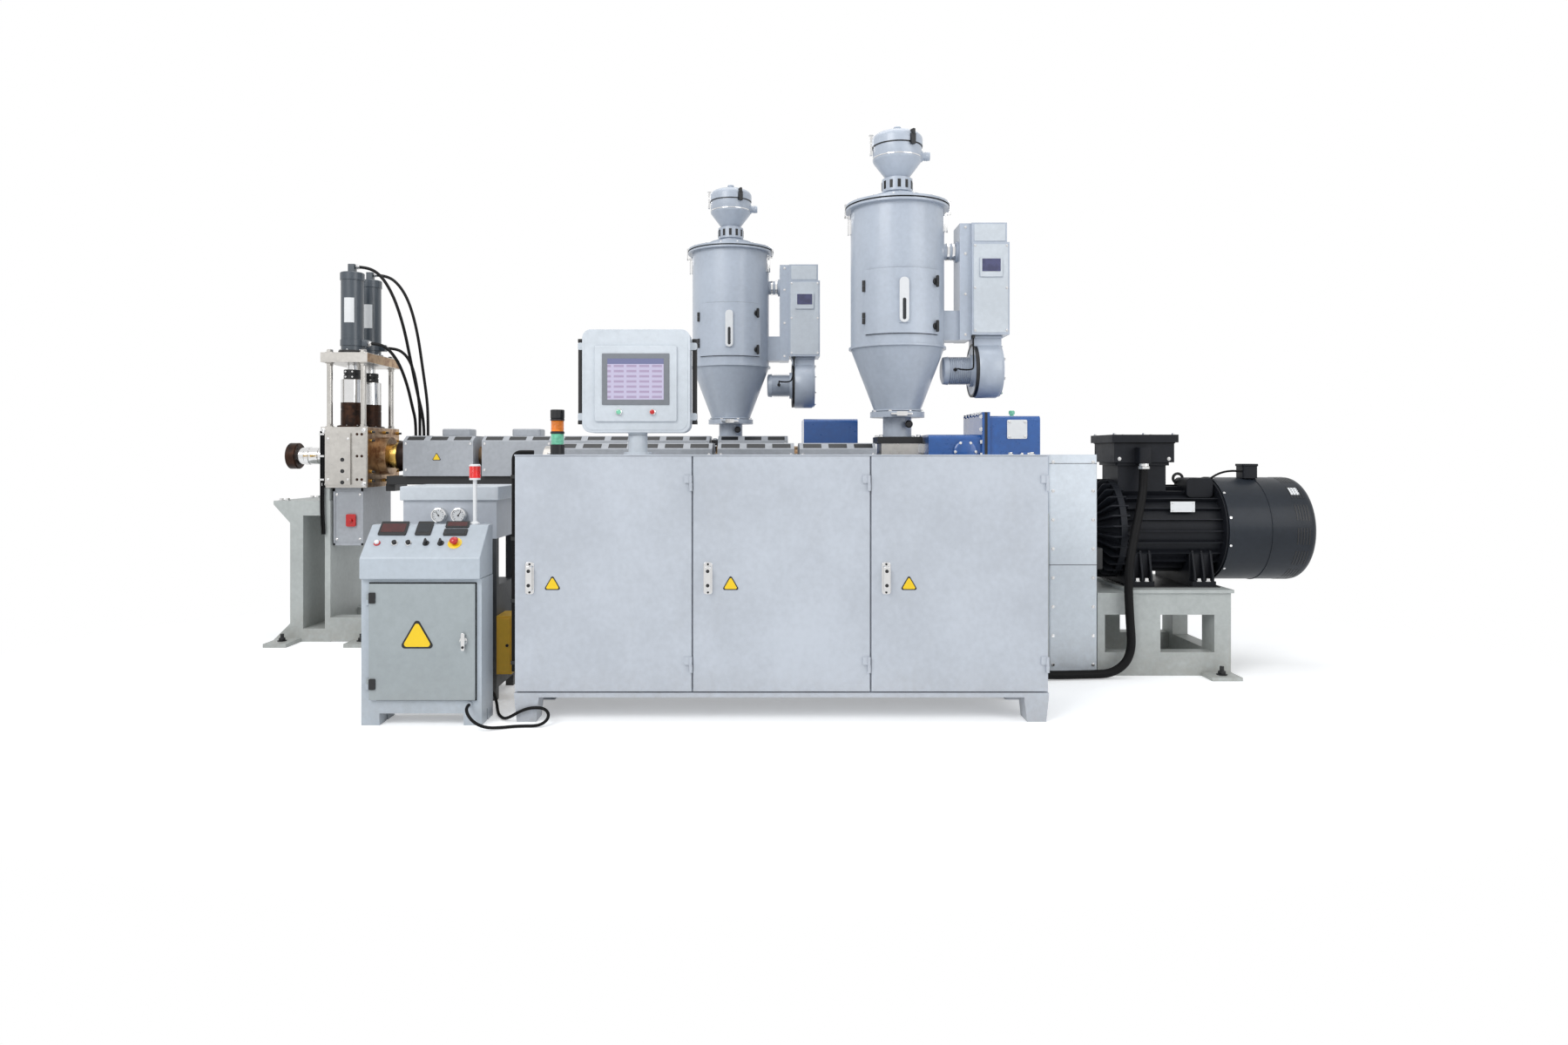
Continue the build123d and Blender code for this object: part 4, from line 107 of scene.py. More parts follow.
@dataclass
class Patch:
    """A part of a mesh: points in line millimetres and faces as lists of point numbers."""

    points: np.ndarray
    faces: list[list[int]]

    def turned(self, degrees: float, centre: Point, axis: Axis = X) -> Patch:
        """Turn the patch about an axis through a centre, by the usual rotation of the other two coordinates.

        Args:
            degrees: Angle, positive by the right-hand rule.
            centre: A point on the axis.
            axis: The direction of the axis.

        Returns:
            The turned patch.
        """
        first, second = (axis.value + 1) % 3, (axis.value + 2) % 3
        moved = self.points - np.array(centre, float)
        cosine, sine = math.cos(math.radians(degrees)), math.sin(math.radians(degrees))
        result = moved.copy()
        result[:, first] = moved[:, first] * cosine - moved[:, second] * sine
        result[:, second] = moved[:, first] * sine + moved[:, second] * cosine
        return Patch(result + np.array(centre, float), self.faces)

    def moved(self, x: float = 0, y: float = 0, z: float = 0) -> Patch:
        """Move the patch by a distance on each axis."""
        return Patch(self.points + np.array((x, y, z), float), self.faces)

    def mirrored(self, axis: Axis, at: float) -> Patch:
        """Mirror the patch in a plane across an axis, with its faces turned back outwards."""
        points = self.points.copy()
        points[:, axis.value] = 2 * at - points[:, axis.value]
        return Patch(points, [face[::-1] for face in self.faces])


def ring_faces(rings: int, count: int, loop: bool = False) -> list[list[int]]:
    """List the quads between rings of points: each joins a point, its neighbour round the ring and the next ring.

    Args:
        rings: Number of rings.
        count: Points in each ring, which closes on itself.
        loop: Whether the last ring joins the first.

    Returns:
        The faces as point numbers.
    """
    ring, point = np.meshgrid(np.arange(rings if loop else rings - 1), np.arange(count), indexing="ij")
    after, beside = (ring + 1) % rings, (point + 1) % count
    quads = np.stack([ring * count + point, ring * count + beside, after * count + beside, after * count + point], -1)
    return quads.reshape(-1, 4).tolist()


def prism(outline: np.ndarray, axis: Axis, low: float, high: float) -> Patch:
    """Draw a closed outline along an axis: the same points at two levels, with a face at each end.

    Args:
        outline: Points anticlockwise in the plane of the next two axes, as (y, z) for X, (z, x) for Y, (x, y) for Z.
        axis: The axis of the prism.
        low: Where it starts.
        high: Where it ends.

    Returns:
        A closed patch with its faces outwards.
    """
    outline = np.asarray(outline, float)
    count = len(outline)
    points = np.zeros((2 * count, 3))
    points[:, (axis.value + 1) % 3] = np.tile(outline[:, 0], 2)
    points[:, (axis.value + 2) % 3] = np.tile(outline[:, 1], 2)
    points[:count, axis.value], points[count:, axis.value] = low, high
    ends = [list(range(count))[::-1], list(range(count, 2 * count))]
    return Patch(points, ring_faces(2, count) + ends)


def block(x0: float, x1: float, y0: float, y1: float, z0: float, z1: float) -> Patch:
    """Make a rectangular form between two values on each axis."""
    return prism(np.array(((x0, y0), (x1, y0), (x1, y1), (x0, y1))), Z, z0, z1)


def rounded(width: float, height: float, radius: float, steps: int = 5) -> np.ndarray:
    """Give a rectangle's outline with round corners, centred on nothing: four quarter circles joined up.

    Args:
        width: Size on the first coordinate.
        height: Size on the second coordinate.
        radius: Corner radius.
        steps: Spans in each quarter circle.

    Returns:
        Points anticlockwise, shape (4 * (steps + 1), 2).
    """
    radius = min(radius, width / 2 - 0.01, height / 2 - 0.01)
    turn = np.linspace(0, math.pi / 2, steps + 1)
    corners = ((1, 1), (-1, 1), (-1, -1), (1, -1))
    parts = []
    for quarter, (across, up) in enumerate(corners):
        angle = turn + quarter * math.pi / 2
        parts.append(np.stack([across * (width / 2 - radius) + radius * np.cos(angle),
                               up * (height / 2 - radius) + radius * np.sin(angle)], 1))
    return np.concatenate(parts)


def plate(centre: Point, size: Point, radius: float, axis: Axis, steps: int = 5) -> Patch:
    """Make a plate with round corners: a rounded rectangle drawn along its axis.

    Args:
        centre: Middle of the plate.
        size: Full size on X, Y and Z.
        radius: Radius of the corners that run along the axis.
        axis: The axis that the corners run along.
        steps: Spans in each corner.

    Returns:
        A closed patch.
    """
    first, second = (axis.value + 1) % 3, (axis.value + 2) % 3
    outline = rounded(size[first], size[second], radius, steps) + np.array((centre[first], centre[second]))
    half = size[axis.value] / 2
    return prism(outline, axis, centre[axis.value] - half, centre[axis.value] + half)


def lathe(profile: Sequence[Point], centre: Point, axis: Axis = Z, segments: int = 64,
          loop: bool = False) -> Patch:
    """Turn a profile about an axis: point i of the profile goes round as radius times cosine and sine of the angle.

    Args:
        profile: (along, radius) points, running up the axis on the outside. A radius of 0 closes at a pole.
        centre: A point on the axis, from which the profile's along values count.
        axis: The axis.
        segments: Spans round the axis.
        loop: Whether the profile closes on itself, as a ring's does.

    Returns:
        A closed patch with its faces outwards.
    """
    profile = np.asarray(profile, float)
    faces: list[list[int]] = []
    start_pole = not loop and profile[0, 1] == 0
    end_pole = not loop and profile[-1, 1] == 0
    body = profile[int(start_pole):len(profile) - int(end_pole)]
    angle = np.linspace(0, 2 * math.pi, segments, endpoint=False)
    points = np.zeros((len(body), segments, 3))
    points[..., axis.value] = body[:, :1]
    points[..., (axis.value + 1) % 3] = body[:, 1:] * np.cos(angle)
    points[..., (axis.value + 2) % 3] = body[:, 1:] * np.sin(angle)
    points = points.reshape(-1, 3)
    faces += ring_faces(len(body), segments, loop)
    last = (len(body) - 1) * segments
    around = np.arange(segments)
    beside = (around + 1) % segments
    if start_pole:
        pole = np.zeros((1, 3))
        pole[0, axis.value] = profile[0, 0]
        faces += np.stack([np.full(segments, len(points)), beside, around], 1).tolist()
        points = np.concatenate([points, pole])
    elif not loop:
        faces.append(around[::-1].tolist())
    if end_pole:
        pole = np.zeros((1, 3))
        pole[0, axis.value] = profile[-1, 0]
        faces += np.stack([np.full(segments, len(points)), last + around, last + beside], 1).tolist()
        points = np.concatenate([points, pole])
    elif not loop:
        faces.append((last + around).tolist())
    return Patch(points + np.array(centre, float), faces)


def rod(start: Point, end_at: float, radius: float, axis: Axis, segments: int = 32, edge: float = 0) -> Patch:
    """Make a round bar along an axis with its ends broken by a small chamfer.

    Args:
        start: Middle of the first end.
        end_at: Where the other end lies on the axis.
        radius: Radius.
        axis: The bar's axis.
        segments: Spans round it.
        edge: Size of the chamfer.

    Returns:
        A closed patch.
    """
    length = abs(end_at - start[axis.value])
    low = list(start)
    low[axis.value] = min(end_at, start[axis.value])
    edge = edge or min(radius * 0.08, length * 0.2, 2.0)
    inner, top = radius - edge, length - edge
    profile = [(0, 0), (0, inner), (edge, radius), (top, radius), (length, inner), (length, 0)]
    return lathe(profile, low, axis, segments)


def drum(low: float, high: float, radius: float, centre: Point, axis: Axis, segments: int) -> Patch:
    """Make a plain solid drum: a straight profile turned about an axis between two values on it."""
    return lathe([(low, 0), (low, radius), (high, radius), (high, 0)], centre, axis, segments)


def hoop(low: float, high: float, inner: float, outer: float, centre: Point, axis: Axis, segments: int) -> Patch:
    """Make a plain ring: a rectangular section turned about an axis between two values on it."""
    return lathe([(low, inner), (low, outer), (high, outer), (high, inner)], centre, axis, segments, loop=True)


def boss(profile: Sequence[Point], place: Point, segments: int = 40) -> Patch:
    """Turn a profile about Y so that it stands out of a front face towards the operator."""
    return lathe(profile, ORIGIN, Y, segments).mirrored(Y, 0).moved(*place)


def pipe(path: np.ndarray, radius: float, segments: int = 16) -> Patch:
    """Carry a circle along a path: each ring stands square to the path's direction at that point.

    Args:
        path: Points of the middle line, shape (n, 3).
        radius: Radius of the pipe.
        segments: Spans round it.

    Returns:
        A closed patch.
    """
    path = np.asarray(path, float)
    along = np.gradient(path, axis=0)
    along /= np.linalg.norm(along, axis=1, keepdims=True)
    spread = np.abs(along).max(axis=0)
    guide = np.eye(3)[int(np.argmin(spread))]
    side = np.cross(along, guide)
    side /= np.linalg.norm(side, axis=1, keepdims=True)
    up = np.cross(side, along)
    angle = np.linspace(0, 2 * math.pi, segments, endpoint=False)
    rings = (path[:, None] + radius * (np.cos(angle)[:, None] * up[:, None] + np.sin(angle)[:, None] * side[:, None]))
    count = len(path)
    ends = [list(range(segments))[::-1], list(range((count - 1) * segments, count * segments))]
    return Patch(rings.reshape(-1, 3), ring_faces(count, segments) + ends)


def bend(points: Sequence[Point], radius: float, steps: int = 6) -> np.ndarray:
    """Round the corners of a broken line: each corner becomes a quadratic curve between points beside it.

    Args:
        points: The corners.
        radius: How far from a corner its curve starts.
        steps: Spans in each curve.

    Returns:
        The smooth path.
    """
    points = np.asarray(points, float)
    path = [points[:1]]
    share = np.linspace(0, 1, steps + 1)[:, None]
    for before, corner, after in zip(points[:-2], points[1:-1], points[2:]):
        start = corner + (before - corner) * min(0.5, radius / np.linalg.norm(before - corner))
        finish = corner + (after - corner) * min(0.5, radius / np.linalg.norm(after - corner))
        path.append((1 - share) ** 2 * start + 2 * share * (1 - share) * corner + share ** 2 * finish)
    path.append(points[-1:])
    return np.concatenate(path)


def bolt(x: float, y: float, z: float, size: float, axis: Axis, outwards: int = 1) -> list[Patch]:
    """Make a hexagon bolt head with its washer: six-sided and round profiles turned about the bolt's axis.

    Args:
        x: X of the seat.
        y: Y of the seat.
        z: Z of the seat.
        size: Thread size.
        axis: The bolt's axis.
        outwards: 1 where the head points up the axis, -1 where it points down.

    Returns:
        The head and its washer.
    """
    seat = 0.22 * size
    head = lathe([(0, 0), (0, 0.9 * size), (0.55 * size, 0.9 * size), (0.68 * size, 0.74 * size), (0.68 * size, 0)],
                 ORIGIN, axis, 6)
    parts = [head.moved(*[seat if index == axis.value else 0 for index in range(3)]),
             drum(0, 0.2 * size, 1.15 * size, ORIGIN, axis, 20)]
    if outwards < 0:
        parts = [part.mirrored(axis, 0) for part in parts]
    return [part.moved(x, y, z) for part in parts]


def bolt_rows(across: Iterable[float], deep: Iterable[float], up: Iterable[float], size: float, axis: Axis,
              outwards: int = 1) -> list[Patch]:
    """Set a bolt wherever rows of places on X, Y and Z meet.

    Args:
        across: Places on X.
        deep: Places on Y.
        up: Places on Z.
        size: Thread size.
        axis: The bolts' axis.
        outwards: 1 where the heads point up the axis, -1 where they point down.

    Returns:
        The heads and their washers.
    """
    return [part for place in product(across, deep, up) for part in bolt(*place, size, axis, outwards)]


def triangle_plate(middle: Point, side: float, thick: float = 1.6) -> Patch:
    """Make a blank three-cornered plate that faces -Y, its corners rounded by small arcs.

    Args:
        middle: Middle of its back.
        side: Side length.
        thick: Thickness.

    Returns:
        A closed patch.
    """
    height = side * math.sqrt(3) / 2
    corners = np.array(((0.0, height * 2 / 3), (-side / 2, -height / 3), (side / 2, -height / 3)))
    radius = side * 0.09
    parts = []
    for index, corner in enumerate(corners):
        inward = corner * (1 - 2 * radius / np.linalg.norm(corner))
        angle = math.radians(90 + 120 * index) + np.linspace(-math.pi / 3, math.pi / 3, 7)
        parts.append(inward + radius * np.stack([np.cos(angle), np.sin(angle)], 1))
    outline = np.concatenate(parts)
    return prism(np.stack([outline[:, 1] + middle[2], outline[:, 0] + middle[0]], 1)[::-1], Y,
                 middle[1] - thick, middle[1])


class Socket:
    """A value in a material's node tree, on which arithmetic adds Math nodes."""

    def __init__(self, shader: Shader, output: bpy.types.NodeSocket) -> None:
        """Wrap an output of a node."""
        self.shader = shader
        self.output = output

    def _math(self, operation: str, first: Socket | float, second: Socket | float) -> Socket:
        """Add one Math node for an operation on two values."""
        return self.shader.node("ShaderNodeMath", {"operation": operation}, {0: first, 1: second})

    def __add__(self, other: Socket | float) -> Socket:
        """Add."""
        return self._math("ADD", self, other)

    def __sub__(self, other: Socket | float) -> Socket:
        """Subtract."""
        return self._math("SUBTRACT", self, other)

    def __rsub__(self, other: float) -> Socket:
        """Subtract from a number."""
        return self._math("SUBTRACT", other, self)

    def __mul__(self, other: Socket | float) -> Socket:
        """Multiply."""
        return self._math("MULTIPLY", self, other)

    def above(self, level: float) -> Socket:
        """Give 1 where the value is over a level and 0 elsewhere."""
        return self._math("GREATER_THAN", self, level)

    def spread(self, low: float, high: float) -> Socket:
        """Map the range from low to high onto 0 to 1 with soft ends, clamped."""
        settings = {"interpolation_type": "SMOOTHSTEP"}
        return self.shader.node("ShaderNodeMapRange", settings, {"Value": self, "From Min": low, "From Max": high})


class Shader:
    """The node tree of a material or of the world, with one method that makes every node."""

    def __init__(self, owner: bpy.types.Material | bpy.types.World, output: str = "ShaderNodeOutputMaterial") -> None:
        """Empty the node tree of a material or a world and start it with its output."""
        owner.use_nodes = True
        self.owner = owner
        self.tree = owner.node_tree
        self.tree.nodes.clear()
        self.surface = self.tree.nodes.new(output).inputs["Surface"]

    def node(self, kind: str, settings: dict[str, object] | None = None,
             inputs: dict[str | int, object] | None = None, output: str | int = 0) -> Socket:
        """Make one node.

        Args:
            kind: The node's type.
            settings: Properties of the node, set first. "stops" fills a ramp with (place, colour) pairs.
            inputs: Values or links by input name or number.
            output: The output to hand back.

        Returns:
            The chosen output.
        """
        made = self.tree.nodes.new(kind)
        for key, value in (settings or {}).items():
            if key == "stops":
                self._fill_ramp(made.color_ramp, value)
            else:
                setattr(made, key, value)
        for key, value in (inputs or {}).items():
            socket = made.inputs[key]
            if isinstance(value, Socket):
                self.tree.links.new(value.output, socket)
            else:
                socket.default_value = value
        return Socket(self, made.outputs[output])

    def _fill_ramp(self, ramp: bpy.types.ColorRamp, stops: Sequence[tuple[float, Colour]]) -> None:
        """Set a ramp's stops from (place, colour) pairs."""
        while len(ramp.elements) < len(stops):
            ramp.elements.new(0.5)
        for element, (place, colour) in zip(ramp.elements, stops):
            element.position = place
            element.color = (*colour, 1)

    def place(self, scale: Point = (1, 1, 1)) -> Socket:
        """Give the object's coordinates in metres, stretched by a scale on each axis."""
        here = self.node("ShaderNodeTexCoord", output="Object")
        return self.node("ShaderNodeMapping", inputs={"Vector": here, "Scale": tuple(scale)})

    def noise(self, scale: float, detail: float = 3, stretch: Point = (1, 1, 1), rough: float = 0.5) -> Socket:
        """Give soft noise from 0 to 1 with so many bumps to the metre."""
        return self.node("ShaderNodeTexNoise", inputs={"Vector": self.place(stretch), "Scale": scale,
                                                       "Detail": detail, "Roughness": rough})

    def blend(self, amount: Socket | float, first: Socket | Colour, second: Socket | Colour) -> Socket:
        """Mix two colours by an amount from 0 to 1."""
        values = {0: amount}
        for number, colour in ((6, first), (7, second)):
            values[number] = colour if isinstance(colour, Socket) else (*colour, 1)
        return self.node("ShaderNodeMix", {"data_type": "RGBA"}, values, 2)

    def height(self) -> Socket:
        """Give the height over the floor in metres."""
        return self.node("ShaderNodeSeparateXYZ", inputs={0: self.node("ShaderNodeTexCoord", output="Object")},
                         output="Z")

    def seen(self) -> Socket:
        """Give 1 for what the camera, a reflection or a glass sees directly and 0 for what lights the object."""
        camera = self.node("ShaderNodeLightPath", output="Is Camera Ray")
        glossy = self.node("ShaderNodeLightPath", output="Is Glossy Ray")
        return self.node("ShaderNodeMath", {"operation": "MAXIMUM"}, {0: camera, 1: glossy})

    def finish(self, **inputs: object) -> bpy.types.Material:
        """Put the last shader on the surface, with its inputs by name with underscores for spaces."""
        values = {key.replace("_", " "): value for key, value in inputs.items()}
        shader = self.node("ShaderNodeBsdfPrincipled", inputs=values)
        self.tree.links.new(shader.output, self.surface)
        return self.owner


@dataclass(frozen=True)
class Finish:
    """A finish of the line: its colour, how it takes light and how it breaks up close to."""

    name: str
    slot: str
    colour: Colour
    roughness: float
    grain: Grain
    metallic: float = 0.0
    coat: float = 0.0
    mottle: float = 0.05
    dust: float = 0.0
    bump: float = 0.12
    drawn: Axis = Z
    tint: Colour = (0.30, 0.27, 0.23)
    shine: float = 0.5

    def relief(self, shader: Shader) -> Socket:
        """Give the small relief of the grain: noise at the scale that each kind of surface shows."""
        if self.grain is Grain.DRAWN:
            return shader.noise(1500, 2, tuple(0.02 if axis is self.drawn else 1.0 for axis in Axis))
        if self.grain is Grain.CAST:
            return shader.noise(420, 4, rough=0.65) + shader.noise(60, 2) * 0.6
        scale, detail, rough = {Grain.SCALE: (260, 5, 0.7), Grain.MOULDED: (1600, 2, 0.5), Grain.POWDER: (900, 2, 0.5),
                                Grain.PEEL: (320, 1, 0.5)}[self.grain]
        return shader.noise(scale, detail, rough=rough)

    def build(self) -> bpy.types.Material:
        """Make the material: broad mottling, handling marks in the roughness, dust low down and the grain's relief.

        Returns:
            The material.
        """
        shader = Shader(bpy.data.materials.new(self.name))
        broad = shader.noise(2.2, 4, rough=0.6)
        close = shader.noise(38, 4, rough=0.6)
        dark = tuple(value * (1 - 2.4 * self.mottle) for value in self.colour)
        light = tuple(min(1.0, value * (1 + 1.2 * self.mottle)) for value in self.colour)
        colour = shader.blend((broad * 0.65 + close * 0.35).spread(0.3, 0.7), dark, light)
        if self.grain is Grain.SCALE:
            burnt = shader.noise(16, 5, rough=0.7).spread(0.42, 0.62)
            colour = shader.blend(burnt, colour, self.tint)
        if self.grain is Grain.DRAWN:
            lines = shader.noise(700, 2, tuple(0.03 if axis is self.drawn else 1.0 for axis in Axis))
            colour = shader.blend(lines.spread(0.3, 0.75) * 0.35, colour, dark)
        if self.dust:
            low = 1 - shader.height().spread(0.0, 0.32)
            settled = (low * 0.75 + shader.noise(7, 5, (1, 1, 0.35), 0.65).spread(0.52, 0.78) * 0.25) * self.dust
            colour = shader.blend(settled * shader.noise(24, 4, rough=0.7).spread(0.2, 0.7), colour, self.tint)
        marks = shader.noise(9, 5, rough=0.7)
        rough = (marks - 0.5) * 0.22 + (close - 0.5) * 0.12 + self.roughness
        bump = shader.node("ShaderNodeBump", inputs={"Strength": self.bump, "Distance": 0.0006,
                                                     "Height": self.relief(shader)})
        return shader.finish(Base_Color=colour, Roughness=rough, Metallic=self.metallic, Coat_Weight=self.coat,
                             Coat_Roughness=0.12, Specular_IOR_Level=self.shine, Normal=bump)


@dataclass(frozen=True)
class Glow:
    """A lamp lens or a display: a clear coat over a colour that gives a little light."""

    name: str
    slot: str
    colour: Colour
    strength: float
    roughness: float = 0.12

    def build(self) -> bpy.types.Material:
        """Make the material, a shade deeper in broad soft patches so that it isn't flat."""
        shader = Shader(bpy.data.materials.new(self.name))
        deep = tuple(value * 0.72 for value in self.colour)
        colour = shader.blend(shader.noise(30, 2).spread(0.35, 0.65), deep, self.colour)
        wipe = shader.noise(14, 4, rough=0.7) * 0.10 + self.roughness
        return shader.finish(Base_Color=colour, Roughness=wipe, Emission_Color=colour,
                             Emission_Strength=self.strength, Coat_Weight=0.4, Coat_Roughness=0.08)


@dataclass(frozen=True)
class Screen:
    """The operator panel's lit screen: a pale ground with soft rows and columns of plain cells."""

    name: str
    slot: str
    ground: Colour
    row: Colour
    header: Colour

    def build(self) -> bpy.types.Material:
        """Make the material: bars along X at even heights, broken into columns, under a darker header bar."""
        shader = Shader(bpy.data.materials.new(self.name))
        here = shader.node("ShaderNodeTexCoord", output="Object")
        across = shader.node("ShaderNodeSeparateXYZ", inputs={0: here}, output="X")
        up = shader.node("ShaderNodeSeparateXYZ", inputs={0: here}, output="Z")
        rows = shader.node("ShaderNodeMath", {"operation": "FRACT"}, {0: (up - 1.4) * 42})
        cells = shader.node("ShaderNodeMath", {"operation": "FRACT"}, {0: (across + 0.7) * 17})
        bars = rows.above(0.55) * cells.above(0.22)
        colour = shader.blend(bars * 0.75, self.ground, self.row)
        colour = shader.blend((up - 1.60).above(0.018), colour, self.header)
        return shader.finish(Base_Color=colour, Roughness=0.16, Emission_Color=colour, Emission_Strength=0.18,
                             Coat_Weight=0.3)


class Paintwork:
    """Every finish on the line, made once and handed out by name."""

    FINISHES: tuple[Finish | Glow | Screen, ...] = (
        Finish("cabinet grey paint", "cabinet_paint", shade(186, 192, 201), 0.42, Grain.PEEL, coat=0.15, dust=0.35),
        Finish("guard blue-grey paint", "guard_paint", shade(218, 226, 234), 0.40, Grain.PEEL, coat=0.2, dust=0.3),
        Finish("cream frame paint", "cream_paint", shade(182, 187, 185), 0.48, Grain.PEEL, dust=0.5, mottle=0.07),
        Finish("console off-white paint", "console_paint", shade(178, 187, 196), 0.40, Grain.POWDER, coat=0.1,
               dust=0.25),
        # The console door's grey is the console paint darkened: painted shade, as the door carries the same paint as
        # the head.
        Finish("console door painted-shade grey", "console_paint", shade(156, 164, 167), 0.42, Grain.POWDER, coat=0.1, dust=0.2),
        Finish("hopper pale paint", "hopper_paint", shade(180, 189, 202), 0.36, Grain.PEEL, coat=0.25),
        Finish("panel white-grey paint", "panel_white", shade(203, 210, 217), 0.38, Grain.POWDER, coat=0.15),
        Finish("gearbox blue paint", "gearbox_blue", shade(34, 88, 158), 0.30, Grain.CAST, coat=0.5, mottle=0.1,
               bump=0.2),
        Finish("motor charcoal paint", "motor_charcoal", shade(32, 34, 39), 0.50, Grain.CAST, coat=0.0, mottle=0.12,
               bump=0.25, dust=0.08, shine=0.2),
        Finish("cowl charcoal paint", "motor_charcoal", shade(38, 43, 50), 0.42, Grain.POWDER, coat=0.05, mottle=0.1,
               shine=0.25),
        Finish("cover grey paint", "cover_grey", shade(168, 172, 178), 0.45, Grain.POWDER, mottle=0.08),
        Finish("machined steel", "bare_steel", shade(196, 193, 188), 0.30, Grain.DRAWN, metallic=1.0, mottle=0.08),
        Finish("bright plated steel", "bare_steel", shade(222, 222, 222), 0.12, Grain.MOULDED, metallic=1.0,
               mottle=0.03, bump=0.03),
        Finish("heat-browned steel", "brown_steel", shade(64, 44, 34), 0.46, Grain.SCALE, metallic=0.75, mottle=0.2,
               tint=shade(38, 30, 27), bump=0.3),
        Finish("straw-tinted steel", "brown_steel", shade(178, 150, 118), 0.34, Grain.SCALE, metallic=0.9,
               mottle=0.12, tint=shade(130, 98, 72), bump=0.15),
        Finish("cylinder blue-grey paint", "cylinder_blue", shade(68, 76, 84), 0.34, Grain.PEEL, coat=0.3),
        Finish("dark grey paint", "dark_grey", shade(66, 68, 71), 0.5, Grain.POWDER, dust=0.3, mottle=0.1),
        Finish("black paint", "dark_grey", shade(30, 31, 33), 0.45, Grain.POWDER, mottle=0.1),
        Finish("black plastic", "black_plastic", shade(26, 27, 29), 0.42, Grain.MOULDED, mottle=0.08),
        Finish("grey plastic", "black_plastic", shade(120, 124, 130), 0.45, Grain.MOULDED),
        Finish("yellow paint", "yellow_paint", shade(250, 196, 66), 0.40, Grain.PEEL, coat=0.2, dust=0.1),
        Finish("plate yellow", "yellow_paint", shade(240, 200, 20), 0.35, Grain.MOULDED, coat=0.2, mottle=0.02),
        Finish("red plastic", "lamp_red", shade(190, 24, 26), 0.30, Grain.MOULDED, coat=0.4),
        Finish("black rubber", "black_rubber", shade(22, 22, 23), 0.55, Grain.MOULDED, mottle=0.12, bump=0.2,
               shine=0.15),
        Finish("braided hose", "black_rubber", shade(30, 30, 31), 0.50, Grain.MOULDED, mottle=0.15, bump=0.4,
               shine=0.2),
        Finish("blank label white", "panel_white", shade(226, 228, 230), 0.4, Grain.MOULDED, mottle=0.02),
        Finish("brass", "bare_steel", shade(196, 160, 88), 0.25, Grain.DRAWN, metallic=1.0),
        Glow("red lamp lens", "lamp_red", shade(222, 28, 24), 0.15),
        Glow("amber lens", "yellow_paint", shade(240, 132, 30), 0.12),
        Glow("green lens", "panel_white", shade(120, 206, 170), 0.12),
        Glow("dark display", "black_plastic", shade(22, 30, 38), 0.05),
        Glow("red display", "black_plastic", shade(70, 20, 22), 0.15),
        Glow("violet display", "black_plastic", shade(70, 72, 108), 0.1),
        Glow("sight glass", "black_plastic", shade(60, 66, 72), 0.0),
        Screen("panel display", "black_plastic", shade(178, 172, 196), shade(148, 130, 158), shade(104, 108, 142)),
    )

    def __init__(self) -> None:
        """Make every material."""
        self.by_name = {finish.name: finish for finish in self.FINISHES}
        self.materials = {finish.name: finish.build() for finish in self.FINISHES}

    def slot(self, name: str) -> str:
        """Give the record's material slot of a finish."""
        return self.by_name[name].slot


@dataclass
class Workshop:
    """Turns patches into dressed pieces that ride on the right body."""

    paint: Paintwork
    frame: dict
    made: list[bpy.types.Object] = field(default_factory=list)

    def make(self, name: str, patches: Iterable[Patch], finish: str, body: str = STATIC,
             replaces: Sequence[str] = (), bevel: float = 0, sharp: float = 32) -> bpy.types.Object:
        """Join patches into one mesh piece in metres, smooth except at edges sharper than an angle.

        Args:
            name: The piece's name.
            patches: Its patches, in line millimetres.
            finish: The name of its finish.
            body: The body that it rides on.
            replaces: CAD nodes that it stands for.
            bevel: Width of the rounding on its edges in millimetres, or 0 for none.
            sharp: Angle in degrees over which an edge is rounded, or stays sharp where there is no bevel.

        Returns:
            The piece.
        """
        patches = list(patches)
        faces: list[list[int]] = []
        start = 0
        for patch in patches:
            faces += [[number + start for number in face] for face in patch.faces]
            start += len(patch.points)
        points = (np.concatenate([patch.points for patch in patches]) + SHIFT) / 1000
        mesh = bpy.data.meshes.new(name)
        mesh.from_pydata(points.tolist(), [], faces)
        mesh.polygons.foreach_set("use_smooth", np.ones(len(faces), bool))
        piece = bpy.data.objects.new(name, mesh)
        bpy.context.scene.collection.objects.link(piece)
        if bevel:
            modifier = piece.modifiers.new("edges", "BEVEL")
            modifier.width = bevel / 1000
            modifier.segments = 2
            modifier.limit_method = "ANGLE"
            modifier.angle_limit = math.radians(sharp)
            modifier.harden_normals = True
            modifier.use_clamp_overlap = True
        else:
            mesh.set_sharp_from_angle(angle=math.radians(sharp))
        mesh.materials.append(self.paint.materials[finish])
        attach(piece, body)
        self.paint.slot(finish)
        if replaces:
            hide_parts(*replaces)
        self.made.append(piece)
        LOG.info("%s: %d faces on %s", name, len(faces), body)
        return piece

    def steel(self, name: str, patches: Iterable[Patch], body: str = STATIC) -> None:
        """Make a piece of bright plated steel with crisp edges, such as a set of bolts."""
        self.make(name, patches, "bright plated steel", body, bevel=0)

    def dress(self, finish: str, *nodes: str) -> None:
        """Give CAD nodes that keep their own shape a finish.

        Args:
            finish: The name of the finish.
            nodes: The nodes.
        """
        for node in nodes:
            for slot in self.frame["nodes"][node].material_slots:
                slot.material = self.paint.materials[finish]
            LOG.info("%s keeps its shape, in %s", node, finish)


